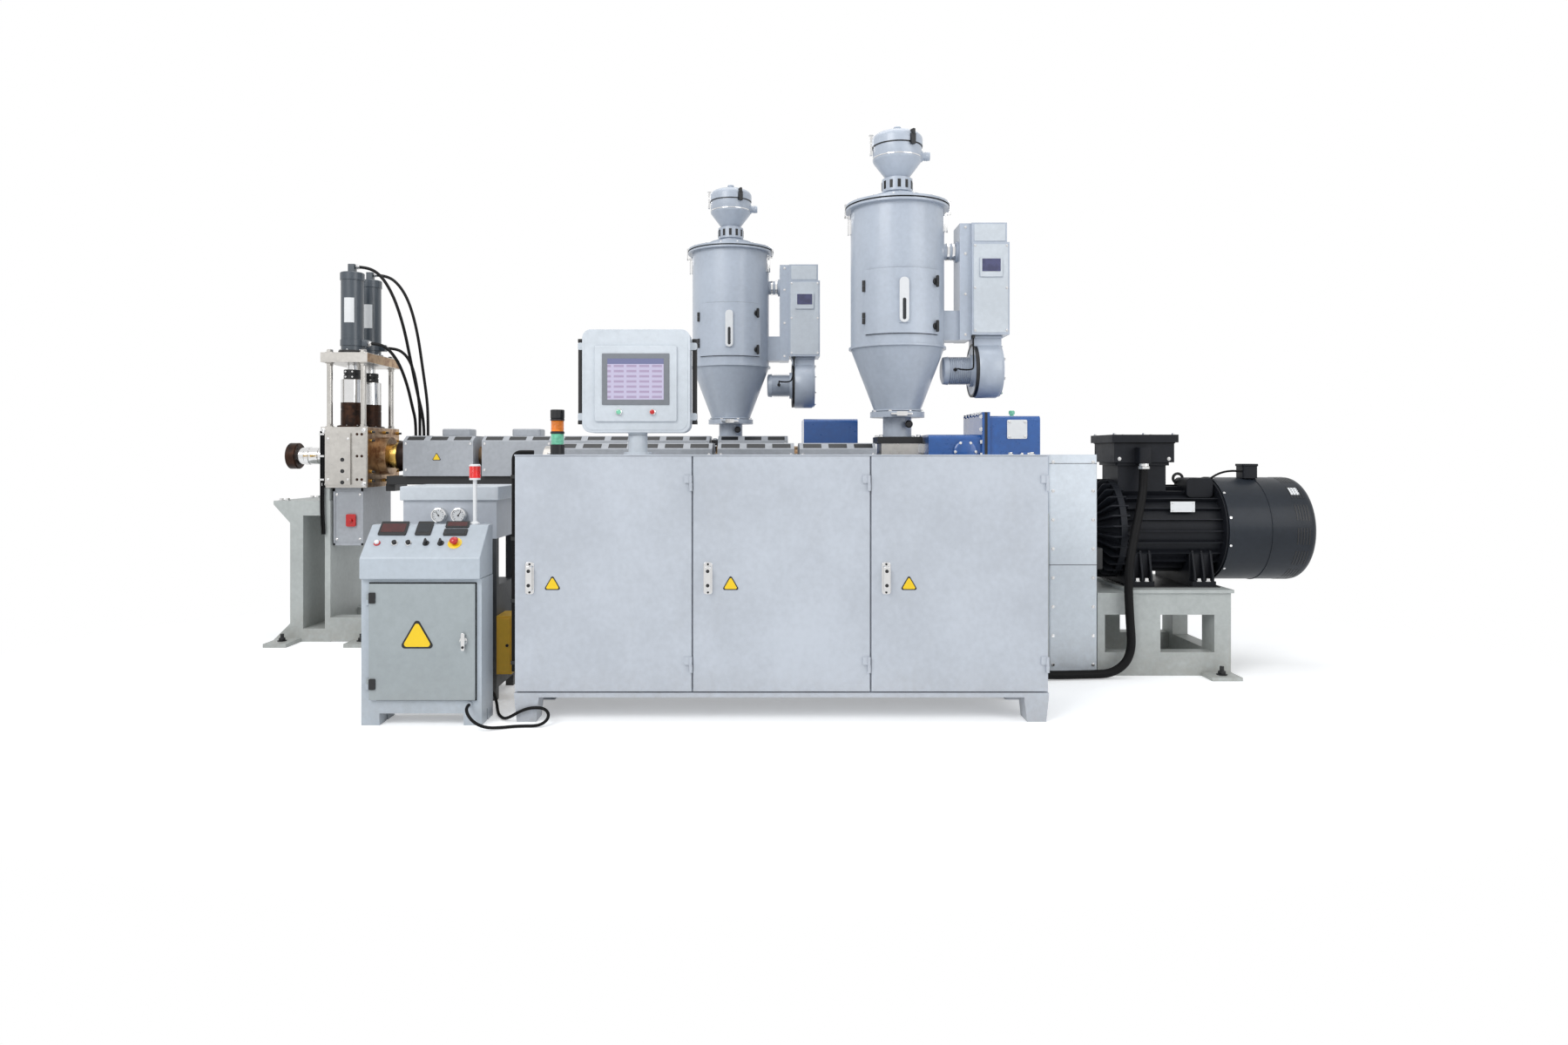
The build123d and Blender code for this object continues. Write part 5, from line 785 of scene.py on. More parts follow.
@dataclass
class Studio:
    """The plain studio round the line, and the camera at the photograph's place."""

    camera_place: Point = (0.0, -4300.0, 1200.0)
    lens: float = 22.0
    sensor: float = 36.0
    shift: tuple[float, float] = (20 / 1800, -78 / 1800)
    floor_size: float = 60.0
    key_power: float = 480.0
    fill_power: float = 170.0
    floor_lift: float = 0.3
    air_light: float = 0.5

    def light(self, name: str, place: Point, target: Point, size: float, power: float) -> None:
        """Hang a square soft light that faces a point.

        Args:
            name: The light's name.
            place: Where it hangs, in metres.
            target: The point that it faces.
            size: Side of the square.
            power: Power in watts.
        """
        data = bpy.data.lights.new(name, "AREA")
        data.shape, data.size, data.energy = "SQUARE", size, power
        lamp = bpy.data.objects.new(name, data)
        away = np.array(place, float) - np.array(target, float)
        across = math.hypot(away[0], away[1])
        lamp.location = place
        lamp.rotation_euler = (math.atan2(across, away[2]), 0, math.atan2(away[0], -away[1]) if across else 0)
        bpy.context.scene.collection.objects.link(lamp)

    def build(self) -> None:
        """Lay the floor, light the object and place the camera."""
        scene = bpy.context.scene
        scene.view_settings.view_transform = "Standard"
        scene.world = bpy.data.worlds.new("studio air")
        air = Shader(scene.world, "ShaderNodeOutputWorld")
        soft = air.node("ShaderNodeBackground", inputs={"Color": (0.96, 0.98, 1.0, 1), "Strength": self.air_light})
        white = air.node("ShaderNodeBackground", inputs={"Color": (1, 1, 1, 1)})
        mixed = air.node("ShaderNodeMixShader", inputs={0: air.seen(), 1: soft, 2: white})
        air.tree.links.new(mixed.output, air.surface)
        self.floor()
        self.light("key", (-5.0, -7.5, 7.0), (0, 0, 1.0), 5.0, self.key_power)
        self.light("fill", (6.5, -6.0, 4.0), (0.5, 0, 1.0), 5.0, self.fill_power)
        self.light("top", (0.0, 0.5, 7.5), (0, 0.2, 0), 6.0, self.fill_power)
        data = bpy.data.cameras.new("camera")
        data.lens, data.sensor_width, data.sensor_fit = self.lens, self.sensor, "HORIZONTAL"
        data.shift_x, data.shift_y = self.shift
        data.clip_end = 200
        camera = bpy.data.objects.new("camera", data)
        camera.location = (np.array(self.camera_place) + SHIFT) / 1000
        camera.rotation_euler = (math.pi / 2, 0, 0)
        scene.collection.objects.link(camera)
        scene.camera = camera

    def floor(self) -> None:
        """Lay a pale floor that keeps the shadow near the line and goes plain white with the distance from it.

        The distance is that of an oval round the line, longer on X than on Y.
        """
        shader = Shader(bpy.data.materials.new("studio floor"))
        lit = shader.node("ShaderNodeBsdfDiffuse", inputs={"Color": (0.95, 0.96, 0.97, 1)})
        seen = shader.seen()
        lift = shader.node("ShaderNodeEmission", inputs={"Strength": seen * self.floor_lift})
        raised = shader.node("ShaderNodeAddShader", inputs={0: lit, 1: lift})
        white = shader.node("ShaderNodeEmission", inputs={"Strength": 1.0})
        oval = shader.node("ShaderNodeVectorMath", {"operation": "MULTIPLY"},
                           {0: shader.node("ShaderNodeTexCoord", output="Object"), 1: (1.0, 1.5, 0.0)})
        away = shader.node("ShaderNodeVectorMath", {"operation": "LENGTH"}, {0: oval}, output="Value")
        mixed = shader.node("ShaderNodeMixShader", inputs={0: away.spread(3.3, 4.6) * seen, 1: raised, 2: white})
        shader.tree.links.new(mixed.output, shader.surface)
        half = self.floor_size / 2
        mesh = bpy.data.meshes.new("studio floor")
        mesh.from_pydata([(-half, -half, 0), (half, -half, 0), (half, half, 0), (-half, half, 0)], [], [(0, 1, 2, 3)])
        mesh.materials.append(shader.owner)
        floor = bpy.data.objects.new("studio_floor", mesh)
        bpy.context.scene.collection.objects.link(floor)


@dataclass
class Cord:
    """A free cable or hose along its given route."""

    name: str
    route: Sequence[Point]
    diameter: float
    length: float
    stiffness: str
    lay: str
    finish: str

    def build(self, shop: Workshop) -> None:
        curve = bpy.data.curves.new(self.name, "CURVE")
        curve.dimensions = "3D"
        spline = curve.splines.new("NURBS")
        points = (np.asarray(self.route, float) + SHIFT) / 1000
        spline.points.add(len(points) - 1)
        spline.points.foreach_set("co", np.column_stack([points, np.ones(len(points))]).ravel())
        spline.order_u = 3
        spline.use_endpoint_u = True
        spline.resolution_u = 12
        curve.bevel_depth = self.diameter / 2000
        curve.bevel_resolution = 4
        curve.use_fill_caps = True
        curve.materials.append(shop.paint.materials[self.finish])
        cord = bpy.data.objects.new(f"{self.name}_run", curve)
        bpy.context.scene.collection.objects.link(cord)
        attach(cord, STATIC)
        shop.paint.slot(self.finish)
        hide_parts(self.name)
        LOG.info("%s: %d route points", self.name, len(points))


HOSE_ROUTES = {
    "hose_front_top": (1.304, [
        (-2685, 1957.5, 2425), (-2605, 1957.5, 2425), (-2520, 1970, 2372), (-2450, 1996, 2242), (-2404, 2048, 2050),
        (-2391, 2130, 1843), (-2380, 2235, 1610), (-2364, 2312, 1440), (-2364, 2312, 1330)]),
    "hose_rear_top": (1.251, [
        (-2685, 2242.5, 2425), (-2605, 2242.5, 2425), (-2522, 2247, 2376), (-2448, 2256, 2255), (-2395, 2270, 2048),
        (-2366, 2290, 1800), (-2341, 2306, 1585), (-2336, 2312, 1455), (-2336, 2312, 1330)]),
    "hose_front_low": (0.813, [
        (-2600, 1957.5, 1925), (-2530, 1957.5, 1925), (-2470, 1980, 1886), (-2424, 2034, 1795), (-2405, 2120, 1660),
        (-2408, 2215, 1522), (-2420, 2312, 1430), (-2420, 2312, 1330)]),
    "hose_rear_low": (0.713, [
        (-2600, 2242.5, 1925), (-2528, 2242.5, 1925), (-2464, 2252, 1882), (-2423, 2266, 1795), (-2402, 2285, 1665),
        (-2392, 2306, 1530), (-2392, 2312, 1425), (-2392, 2312, 1330)]),
}
MOTOR_ROUTE = [
    (2103, 1045, 1150), (2103, 1045, 1010), (2052, 982, 870), (1988, 902, 720), (1944, 856, 545), (1950, 846, 330),
    (1962, 838, 124), (1864, 832, 26), (1700, 815, 26), (1500, 795, 26), (1310, 792, 40), (1140, 785, 90),
    (1005, 745, 165), (945, 645, 190), (945, 530, 190)]
CONSOLE_ROUTE = [
    (-1312, -76, 96), (-1312, -118, 96), (-1296, -150, 72), (-1262, -160, 38), (-1214, -146, 14), (-1160, -118, 8),
    (-1108, -98, 8), (-1062, -92, 8), (-1016, -92, 8), (-987, -84, 14), (-968, -64, 29), (-968, -41, 47),
    (-987, -21, 62), (-1016, -14, 68), (-1062, -13, 66), (-1106, -13, 50), (-1146, -11, 26), (-1180, 14, 10),
    (-1208, 56, 8), (-1232, 104, 8), (-1250, 152, 14), (-1268, 202, 36), (-1294, 246, 68), (-1330, 272, 92),
    (-1350, 308, 96), (-1350, 350, 96)]

LEAD_ROUTE = [
    (419, -98, 602), (419, -98, 560), (418, -106, 520), (415, -124, 484), (410, -148, 454), (404, -174, 432),
    (399, -192, 420), (389, -207, 413), (375, -217, 409), (359, -220, 408), (343, -216, 409), (330, -206, 411),
    (322, -192, 414), (320, -174, 418), (320, -134, 421), (320, -88, 421)]


def lay_cords(shop: Workshop) -> None:
    """Lay every free cable and hose."""
    for name, (length, route) in HOSE_ROUTES.items():
        Cord(name, route, 20, length, "stiff", "hanging", "braided hose").build(shop)
    Cord("motor_cable", MOTOR_ROUTE, 46, 2.328, "stiff", "loose", "black rubber").build(shop)
    Cord("console_cable", CONSOLE_ROUTE, 14, 1.130, "limp", "loose", "black rubber").build(shop)


@dataclass
class Cabinet:
    """The control cabinet's trim: handles, locks, blank plates, roof bolts and a conduit."""

    left: float = -1133
    bay: float = 800
    top: float = 1200
    handle_inset: float = 70
    handle_bottom: float = 590
    handle_length: float = 110
    handle_width: float = 26
    handle_proud: float = 24
    plate_side: float = 78
    plate_middle: float = 615
    plate_inset: float = 172

    def handle(self, x: float) -> list[Patch]:
        """Make a swing handle with its dished plate: two rounded plates, one on the other."""
        middle = self.handle_bottom + self.handle_length / 2
        dish = plate((x, -2, middle), (self.handle_width + 14, 4, self.handle_length + 34), 12, Y)
        grip = plate((x, -self.handle_proud / 2 - 1, middle), (self.handle_width + 1, self.handle_proud + 1,
                                                              self.handle_length + 2), 10, Y)
        return [dish, grip]

    def locks(self, x: float) -> list[Patch]:
        """Make the dark lock and the two screw covers on a handle: short round bars."""
        middle = self.handle_bottom + self.handle_length / 2
        face = -self.handle_proud - 1
        return [rod((x, face - 3, middle + 34), face, 8, Y), rod((x, face - 3, middle - 30), face, 8, Y),
                rod((x, -7, middle + self.handle_length / 2 + 8), -4, 5, Y),
                rod((x, -7, middle - self.handle_length / 2 - 8), -4, 5, Y)]

    def build(self, shop: Workshop) -> None:
        """Dress the cabinet and hang the trim on each door."""
        shop.dress("cabinet grey paint", "cabinet_shell", "cabinet_feet")
        for number, name in enumerate(("left", "middle", "right")):
            left, body = self.left + self.bay * number, f"cabinet_door_{name}"
            shop.dress("cabinet grey paint", body)
            x = left + self.handle_inset
            shop.make(f"cabinet_handle_{name}", self.handle(x), "bright plated steel", body, bevel=1.5)
            shop.make(f"cabinet_locks_{name}", self.locks(x), "black plastic", body, bevel=0.5)
            x, z = left + self.plate_inset, self.plate_middle
            edge, side = triangle_plate((x, -0.3, z), self.plate_side), self.plate_side - 15
            shop.make(f"cabinet_plate_edge_{name}", [edge], "black plastic", body, bevel=0.4)
            shop.make(f"cabinet_plate_{name}", [triangle_plate((x, -1.4, z), side)], "plate yellow", body, bevel=0.4)
        ends = (self.left + 60, self.left + 3 * self.bay - 60)
        shop.steel("cabinet_roof_bolts", bolt_rows(ends, (60, 440), (self.top,), 12, Z))
        x, z = self.left - 10, self.top + 10
        route = bend([(x + 90, 34, z), (x, 34, z), (x, 34, 700), (x, 34, 220)], 34)
        shop.make("cabinet_conduit", [pipe(route, 10)], "black rubber")
        clips = [plate((x, 34, height), (24, 26, 16), 5, Z) for height in (1100, 820, 540, 260)]
        shop.make("cabinet_conduit_clips", clips, "black plastic", bevel=0.5)


@dataclass
class OperatorPanel:
    """The swivelling operator panel with its neck, grips and sunk screen."""

    x: float = -605
    y: float = 205
    bottom: float = 1302
    width: float = 500
    height: float = 479
    depth: float = 130
    corner: float = 40
    bezel_width: float = 380
    bezel_height: float = 352
    bezel_proud: float = 12
    screen_width: float = 311
    screen_height: float = 238
    grip_offset: float = 18
    grip: float = 22
    button_offset: float = 77.5
    body: str = "operator_panel"

    @property
    def front(self) -> float:
        """Y of the housing's front."""
        return self.y - self.depth / 2

    @property
    def middle(self) -> float:
        """Height of the housing's middle."""
        return self.bottom + self.height / 2

    def housing(self) -> list[Patch]:
        """Make the housing with its rounded front rim and collar."""
        size = (self.width, self.depth, self.height)
        shell = plate((self.x, self.y, self.middle), size, self.corner, Y, 8)
        rim = plate((self.x, self.front + 6, self.middle), (self.width - 22, 16, self.height - 22), self.corner, Y, 8)
        collar = rod((self.x, self.y, self.bottom - 12), self.bottom + 2, 45, Z, 48)
        return [shell, rim, collar]

    def brackets(self) -> list[Patch]:
        """Make the four brackets of the side grips."""
        reach = self.width / 2 + self.grip_offset + self.grip / 2
        parts = []
        for rise in (75, 405):
            for side in (-1, 1):
                inner, outer = sorted((side * (self.width / 2 - 6), side * reach))
                parts.append(plate((self.x + (inner + outer) / 2, self.y, self.bottom + rise),
                                   (outer - inner, 40, 34), 8, Y))
        return parts

    def grips(self) -> list[Patch]:
        """Make the two upright grips: rounded bars with a cap at each end."""
        parts = []
        for side in (-1, 1):
            x = self.x + side * (self.width / 2 + self.grip_offset)
            parts.append(plate((x, self.y - 2, self.bottom + 240), (self.grip, 26, 400), 7, Z))
            for end in (48, 432):
                parts.append(plate((x, self.y - 2, self.bottom + end), (self.grip + 3, 29, 16), 8, Z))
        return parts

    def build(self, shop: Workshop) -> None:
        """Build the panel on its neck."""
        shop.dress("panel white-grey paint", "panel_neck")
        shop.make("panel_housing", self.housing() + self.brackets(), "panel white-grey paint", self.body,
                  ["panel_box"], bevel=5)
        shop.make("panel_side_grips", self.grips(), "black plastic", self.body, bevel=1)
        middle = self.middle - 13
        face = self.front - self.bezel_proud
        size = (self.bezel_width, self.bezel_proud, self.bezel_height)
        bezel = plate((self.x, face + self.bezel_proud / 2, middle), size, 10, Y)
        shop.make("panel_bezel", [bezel], "panel white-grey paint", self.body, ["panel_screen"], bevel=3)
        high = middle + 20
        corners = np.array(((-1, -1), (1, -1), (1, 1), (-1, 1))) * (self.screen_height / 2, self.screen_width / 2)
        shop.make("panel_screen_frame", [prism(corners + (high, self.x), Y, face - 5, face)], "grey plastic",
                  self.body, bevel=3)
        glass = block(self.x - 130, self.x + 130, face - 6, face - 4.9, high - 95, high + 95)
        shop.make("panel_display", [glass], "panel display", self.body, bevel=0.4)
        button_z = middle - self.bezel_height / 2 + 44
        for name, side, finish in (("start", -1, "green lens"), ("stop", 1, "red plastic")):
            place = (self.x + side * self.button_offset, face, button_z)
            ring = boss([(0, 0), (0, 15), (3, 16), (7, 15), (9, 12), (9, 0)], place)
            cap = boss([(0, 0), (0, 11), (14, 11), (16, 8), (16.5, 0)], place)
            shop.steel(f"panel_{name}_ring", [ring], self.body)
            shop.make(f"panel_{name}_button", [cap], finish, self.body)


@dataclass
class StackLight:
    """The cabinet's stack light: base, green lens, ring, amber lens, ring and cap."""

    place: Point = (-993, 250, 1200)
    radius: float = 33
    steps: tuple[float, ...] = (48, 50, 12, 50, 12, 41)
    finishes: tuple[str, ...] = ("black plastic", "green lens", "black plastic", "amber lens", "black plastic",
                                 "black plastic")

    def tier(self, low: float, step: float, lens: bool) -> Patch:
        """Turn one tier: a lens is ribbed, its radius a sine of the height, and other tiers have broken edges."""
        if lens:
            height = np.linspace(0, step, 41)
            radius = self.radius - 3 + 0.9 * np.sin(height / step * 2 * math.pi * 9)
            profile = np.column_stack([height, radius])
            profile = np.vstack([(0, 0), profile, (step, 0)])
        else:
            profile = np.array([(0, 0), (0, self.radius - 1.5), (1.5, self.radius), (step - 3, self.radius),
                                (step, self.radius - 3), (step, 0)])
        return lathe(profile, (self.place[0], self.place[1], self.place[2] + low), Z, 48)

    def build(self, shop: Workshop) -> None:
        """Stack the tiers."""
        low = 0.0
        for number, (step, finish) in enumerate(zip(self.steps, self.finishes)):
            replaced = ["stack_light"] if number == 0 else []
            shop.make(f"stack_tier_{number + 1}", [self.tier(low, step, "lens" in finish)], finish, replaces=replaced)
            low += step


@dataclass
class Console:
    """The operator console: head, instruments, door furniture and alarm lamp."""

    left: float = -1795
    right: float = -1262
    front: float = -56
    back: float = 118
    body_top: float = 650
    overhang: float = 26
    edge: float = 94
    rise: float = 137
    ridge: float = 60
    button_rise: float = 85
    stop_x: float = -1392
    door: tuple[float, float, float, float] = (-1755, -1288, 116, 629)

    @property
    def head_front(self) -> float:
        """Y of the head's front."""
        return self.front - self.overhang

    @property
    def slope(self) -> float:
        """Angle of the instrument face in degrees."""
        return math.degrees(math.atan2(self.rise, self.back - self.ridge - self.head_front))

    def on_slope(self, patch: Patch, x: float, rise: float) -> Patch:
        """Seat a patch that was made flat at the origin, facing up, on the sloping face at a distance up it."""
        angle = math.radians(self.slope)
        y = self.head_front + rise * math.cos(angle)
        z = self.body_top + self.edge + rise * math.sin(angle)
        return patch.turned(self.slope, ORIGIN, X).moved(x, y, z)

    def head(self) -> list[Patch]:
        """Draw the head's side outline across the console."""
        top = self.body_top + self.edge + self.rise
        outline = np.array([(self.head_front, self.body_top), (self.back, self.body_top), (self.back, top),
                            (self.back - self.ridge, top), (self.head_front, self.body_top + self.edge)])
        return [prism(outline, X, self.left, self.right)]

    def instruments(self, shop: Workshop) -> None:
        """Seat the displays and the push buttons on the sloping face."""
        displays = ((-1687, 171, 126, 80, "red display"), (-1548, 171, 71, 80, "dark display"),
                    (-1403, 194, 106, 38, "red display"), (-1403, 148, 106, 38, "dark display"))
        frames = []
        for number, (x, rise, width, height, glow) in enumerate(displays):
            frames.append(self.on_slope(plate((0, 0, 3.5), (width, height, 7), 5, Z), x, rise))
            glass = plate((0, 0, 7.4), (width - 18, height * 0.62, 1), 2, Z)
            shop.make(f"console_display_{number + 1}", [self.on_slope(glass, x, rise)], glow, bevel=0.3)
        shop.make("console_display_frames", frames, "black plastic", bevel=1)
        ring = lathe([(0, 0), (0, 14), (2, 15), (5, 13.5), (6, 0)], ORIGIN, Z, 40)
        cap = lathe([(5, 0), (5, 10.5), (13, 10.5), (15, 8), (15, 0)], ORIGIN, Z, 40)
        lever = plate((0, 0, 14), (9, 24, 18), 4, Z)
        kinds = ((-1739, cap, "red plastic", "blank label white"), (-1661, cap, "bright plated steel", "black plastic"),
                 (-1599, cap, "bright plated steel", "black plastic"), (-1521, lever, "black plastic", "black plastic"),
                 (-1455, lever, "black plastic", "black plastic"))
        for number, (x, top, base_finish, top_finish) in enumerate(kinds):
            shop.make(f"console_button_ring_{number + 1}", [self.on_slope(ring, x, self.button_rise)], base_finish)
            shop.make(f"console_button_{number + 1}", [self.on_slope(top, x, self.button_rise)], top_finish, bevel=0.4)
        disc = lathe([(0, 0), (0, 31), (2, 31), (3, 29), (3, 0)], ORIGIN, Z, 48)
        cap = lathe([(3, 0), (3, 11), (15, 10), (17, 18), (23, 19), (28, 15), (31, 8), (32, 0)], ORIGIN, Z, 48)
        shop.make("console_stop_plate", [self.on_slope(disc, self.stop_x, self.button_rise)], "plate yellow")
        shop.make("console_stop_button", [self.on_slope(cap, self.stop_x, self.button_rise)], "red plastic", sharp=50)

    def furniture(self, shop: Workshop) -> None:
        """Fit the door's black hinge covers, latch, dark strips of painted shade in the gaps round the door, and blank
        plate.
        """
        left, right, bottom, top = self.door
        body, face, front = "console_door", self.front - 16.5, self.front
        covers = [plate((left + 15, face - 3, z), (28, 8, 48), 4, Y) for z in (bottom + 70, top - 62)]
        shop.make("console_hinge_covers", covers, "black plastic", body, bevel=1.2)
        x, z = right - 48, (bottom + top) / 2
        latch = [lathe([(0, 0), (0, 17), (6, 17), (8, 15), (8, 0)], (x, face - 8, z + 6), Y, 40),
                 plate((x + 1, face - 14, z + 4), (16, 14, 78), 7, Y)]
        shop.make("console_latch", latch, "bright plated steel", body, bevel=1)
        keyhole = rod((x + 1, face - 23, z - 20), face - 20, 6, Y)
        shop.make("console_keyhole", [keyhole], "black plastic", body)
        seam = 5
        # Black strips in the gaps round the door: painted shade in the door's gaps.
        gap_shade_strips = [block(left - seam, right + seam, front - 2, front, top - 2, top + seam),
                  block(right - 2, right + seam, front - 2, front, bottom - 1, top),
                  block(left + 26, right + seam, front - 2, front, bottom - seam, bottom + 2)]
        shop.make("console_door_gap_shade", gap_shade_strips, "black rubber", bevel=0.3)
        middle = (left + right) / 2 - 20
        edge, plain = triangle_plate((middle, face - 0.2, 390), 158), triangle_plate((middle, face - 1.5, 390), 132)
        shop.make("console_plate_edge", [edge], "black plastic", body, bevel=0.4)
        shop.make("console_plate", [plain], "plate yellow", body, bevel=0.4)

    def lamp(self, shop: Workshop) -> None:
        """Turn the alarm lamp: white stem and cap, ribbed red lens."""
        x, y, base = -1336, 90, self.body_top + self.edge + self.rise
        stem = lathe([(0, 0), (0, 22), (6, 22), (10, 14), (14, 9), (203, 9), (203, 25), (212, 25), (212, 0)],
                     (x, y, base), Z, 40)
        height = np.linspace(212, 266, 31)
        radius = 25.5 + 0.8 * np.sin((height - 212) / 54 * 2 * math.pi * 7)
        lens = lathe(np.vstack([(212, 0), np.column_stack([height, radius]), (266, 0)]), (x, y, base), Z, 48)
        cap = lathe([(266, 0), (266, 26), (271, 26), (275, 20), (275, 0)], (x, y, base), Z, 48)
        shop.make("alarm_stem", [stem, cap], "blank label white", replaces=["alarm_lamp"])
        shop.make("alarm_lens", [lens], "red lamp lens", sharp=50)

    def build(self, shop: Workshop) -> None:
        """Build the console."""
        shop.dress("console off-white paint", "console_body")
        # The door takes the console paint darkened for the shade on it: painted shade.
        shop.dress("console door painted-shade grey", "console_door")
        shop.make("console_head_skin", self.head(), "console off-white paint", replaces=["console_head"], bevel=6)
        self.instruments(shop)
        self.furniture(shop)
        self.lamp(shop)


def bolt_circle(centre: Point, radius: float, count: int, size: float, axis: Axis, outwards: int = 1,
                turn: float = 0) -> list[Patch]:
    """Set bolts round a circle: bolt i stands at the angle turn + 360 i / count.

    Args:
        centre: Middle of the circle, in the plane of the seats.
        radius: Radius of the circle.
        count: Number of bolts.
        size: Thread size.
        axis: The bolts' axis.
        outwards: 1 where the heads point up the axis, -1 where they point down.
        turn: Angle of the first bolt in degrees.

    Returns:
        The heads and their washers.
    """
    parts = []
    for number in range(count):
        angle = math.radians(turn + 360 * number / count)
        seat = list(centre)
        seat[(axis.value + 1) % 3] += radius * math.cos(angle)
        seat[(axis.value + 2) % 3] += radius * math.sin(angle)
        parts += bolt(*seat, size, axis, outwards)
    return parts


def arc_plate(centre: Point, inner: float, thick: float, angles: Point, span: Point, axis: Axis = Z,
              steps: int = 12) -> Patch:
    """Bend a plate round an axis: its section runs over an arc of angles and is drawn along the axis.

    Args:
        centre: A point on the axis, from which the span counts.
        inner: Radius of its back.
        thick: Thickness.
        angles: First and last angle in degrees, from the next axis towards the one after it.
        span: Where it starts and ends along the axis.
        axis: The axis.
        steps: Spans over the arc.

    Returns:
        A closed patch.
    """
    angle = np.radians(np.linspace(*angles, steps + 1))
    direction = np.column_stack([np.cos(angle), np.sin(angle)])
    outline = np.concatenate([direction * (inner + thick), direction[::-1] * inner])
    return prism(outline, axis, *span).moved(*centre)


def eye(x: float, y: float, z: float, radius: float, thick: float) -> list[Patch]:
    """Make a lifting eye that faces Y: a ring whose section is a circle, on a short shank and a collar."""
    angle = np.linspace(0, 2 * math.pi, 14, endpoint=False)
    section = np.column_stack([thick * np.sin(angle), radius + thick * np.cos(angle)])
    ring = lathe(section[::-1], (x, y, z + radius + 2 * thick), Y, 32, loop=True)
    collar = lathe([(0, 0), (0, 2.2 * thick), (0.7 * thick, 2.2 * thick), (1.4 * thick, thick), (1.4 * thick, 0)],
                   (x, y, z), Z, 28)
    return [ring, collar]


@dataclass
class HydraulicUnit:
    """The oil tank with its pump, pipes, gauge box and valve box."""

    left: float = -1770
    right: float = -1316
    front: float = 370
    back: float = 720
    tank_top: float = 560
    box_bottom: float = 790
    lid_bottom: float = 978
    lid_top: float = 1044
    gauge_z: float = 905

    @property
    def middle(self) -> tuple[float, float]:
        """X and Y of the tank's middle."""
        return (self.left + self.right) / 2, (self.front + self.back) / 2

    def gauges(self, shop: Workshop) -> None:
        """Make the two gauges: a bright bezel, a pale dial with ticks and a needle each."""
        face, z = self.front - 22, self.gauge_z
        for number, side in enumerate((-1, 1), 1):
            x = self.middle[0] + side * 48
            bezel = boss([(0, 0), (0, 38), (20, 38), (26, 36), (28, 31), (24, 30), (24, 0)], (x, self.front, z), 48)
            dial = rod((x, face - 3.4, z), face - 2, 29.5, Y, 48, 0.3)
            ticks = [block(-1, 1, face - 3.9, face - 3.3, 21, 27).turned(turn, ORIGIN, Y).moved(x, 0, z)
                     for turn in range(-135, 136, 27)]
            needle = [block(-1.2, 1.2, face - 5, face - 4, -6, 22).turned(35 * side, ORIGIN, Y).moved(x, 0, z),
                      rod((x, face - 6, z), face - 3.4, 4, Y)]
            shop.steel(f"gauge_bezel_{number}", [bezel])
            shop.make(f"gauge_dial_{number}", [dial], "blank label white")
            shop.make(f"gauge_needle_{number}", ticks + needle, "black plastic")

    def pipes(self) -> list[Patch]:
        """Run the oil pipes from the tank up into the gauge box, each with its two nuts."""
        parts = []
        for x, y in ((-1690, 470), (-1650, 430), (-1420, 430), (-1390, 480), (-1450, 640)):
            parts.append(rod((x, y, self.tank_top), self.box_bottom, 9, Z, 20))
            parts += [drum(low, low + 22, 17, (x, y, 0), Z, 6) for low in (self.tank_top, self.box_bottom - 22)]
        return parts

    def motor(self) -> list[Patch]:
        """Make the pump motor's cooling ribs: thin rings one over the other, and its fan cover."""
        foot = (*self.middle, 0)
        parts = [drum(low, low + 4, 103, foot, Z, 48)
                 for low in np.arange(self.tank_top + 14, self.tank_top + 140, 11)]
        top = self.tank_top + 150
        cover = [(top, 0), (top, 106), (top + 44, 106), (top + 56, 96), (top + 56, 0)]
        return parts + [lathe(cover, foot, Z, 48)]

    def build(self, shop: Workshop) -> None:
        """Dress the unit."""
        shop.dress("dark grey paint", "hydraulic_unit")
        shop.dress("cabinet grey paint", "gauge_box")
        shop.dress("yellow paint", "valve_box")
        (x, y), front = self.middle, self.front
        size = (self.right - self.left + 28, self.back - front + 28, 68)
        lid = plate((x, y, (self.lid_bottom + self.lid_top) / 2), size, 10, Z)
        shop.make("gauge_box_lid", [lid], "panel white-grey paint", bevel=4)
        shop.steel("oil_pipes", self.pipes())
        shop.make("oil_pump_motor", self.motor(), "motor charcoal paint")
        self.gauges(shop)
        level = plate((-1700, front - 5, 330), (34, 10, 190), 6, Y)
        shop.make("oil_level_frame", [level], "bright plated steel", bevel=1)
        glass = plate((-1700, front - 10.5, 330), (14, 2, 150), 6, Y)
        shop.make("oil_level_glass", [glass], "sight glass", bevel=0.3)
        filler = lathe([(0, 0), (0, 40), (8, 40), (10, 30), (48, 30), (52, 26), (52, 0)], (-1710, 640, self.tank_top),
                       Z, 40)
        cover = plate((x + 60, front - 4, 310), (230, 8, 300), 14, Y)
        shop.make("oil_tank_cover", [cover, filler], "dark grey paint", bevel=1.5)
        shop.steel("oil_tank_bolts", bolt_rows((x - 40, x + 60, x + 160), (front - 8,), (175, 445), 10, Y, -1))
        door = plate((-1279, front - 3, 271), (58, 6, 262), 5, Y)
        shop.make("valve_box_door", [door], "yellow paint", bevel=1.5)
        lock = rod((-1262, front - 14, 271), front - 6, 7, Y)
        shop.make("valve_box_lock", [lock], "black plastic")


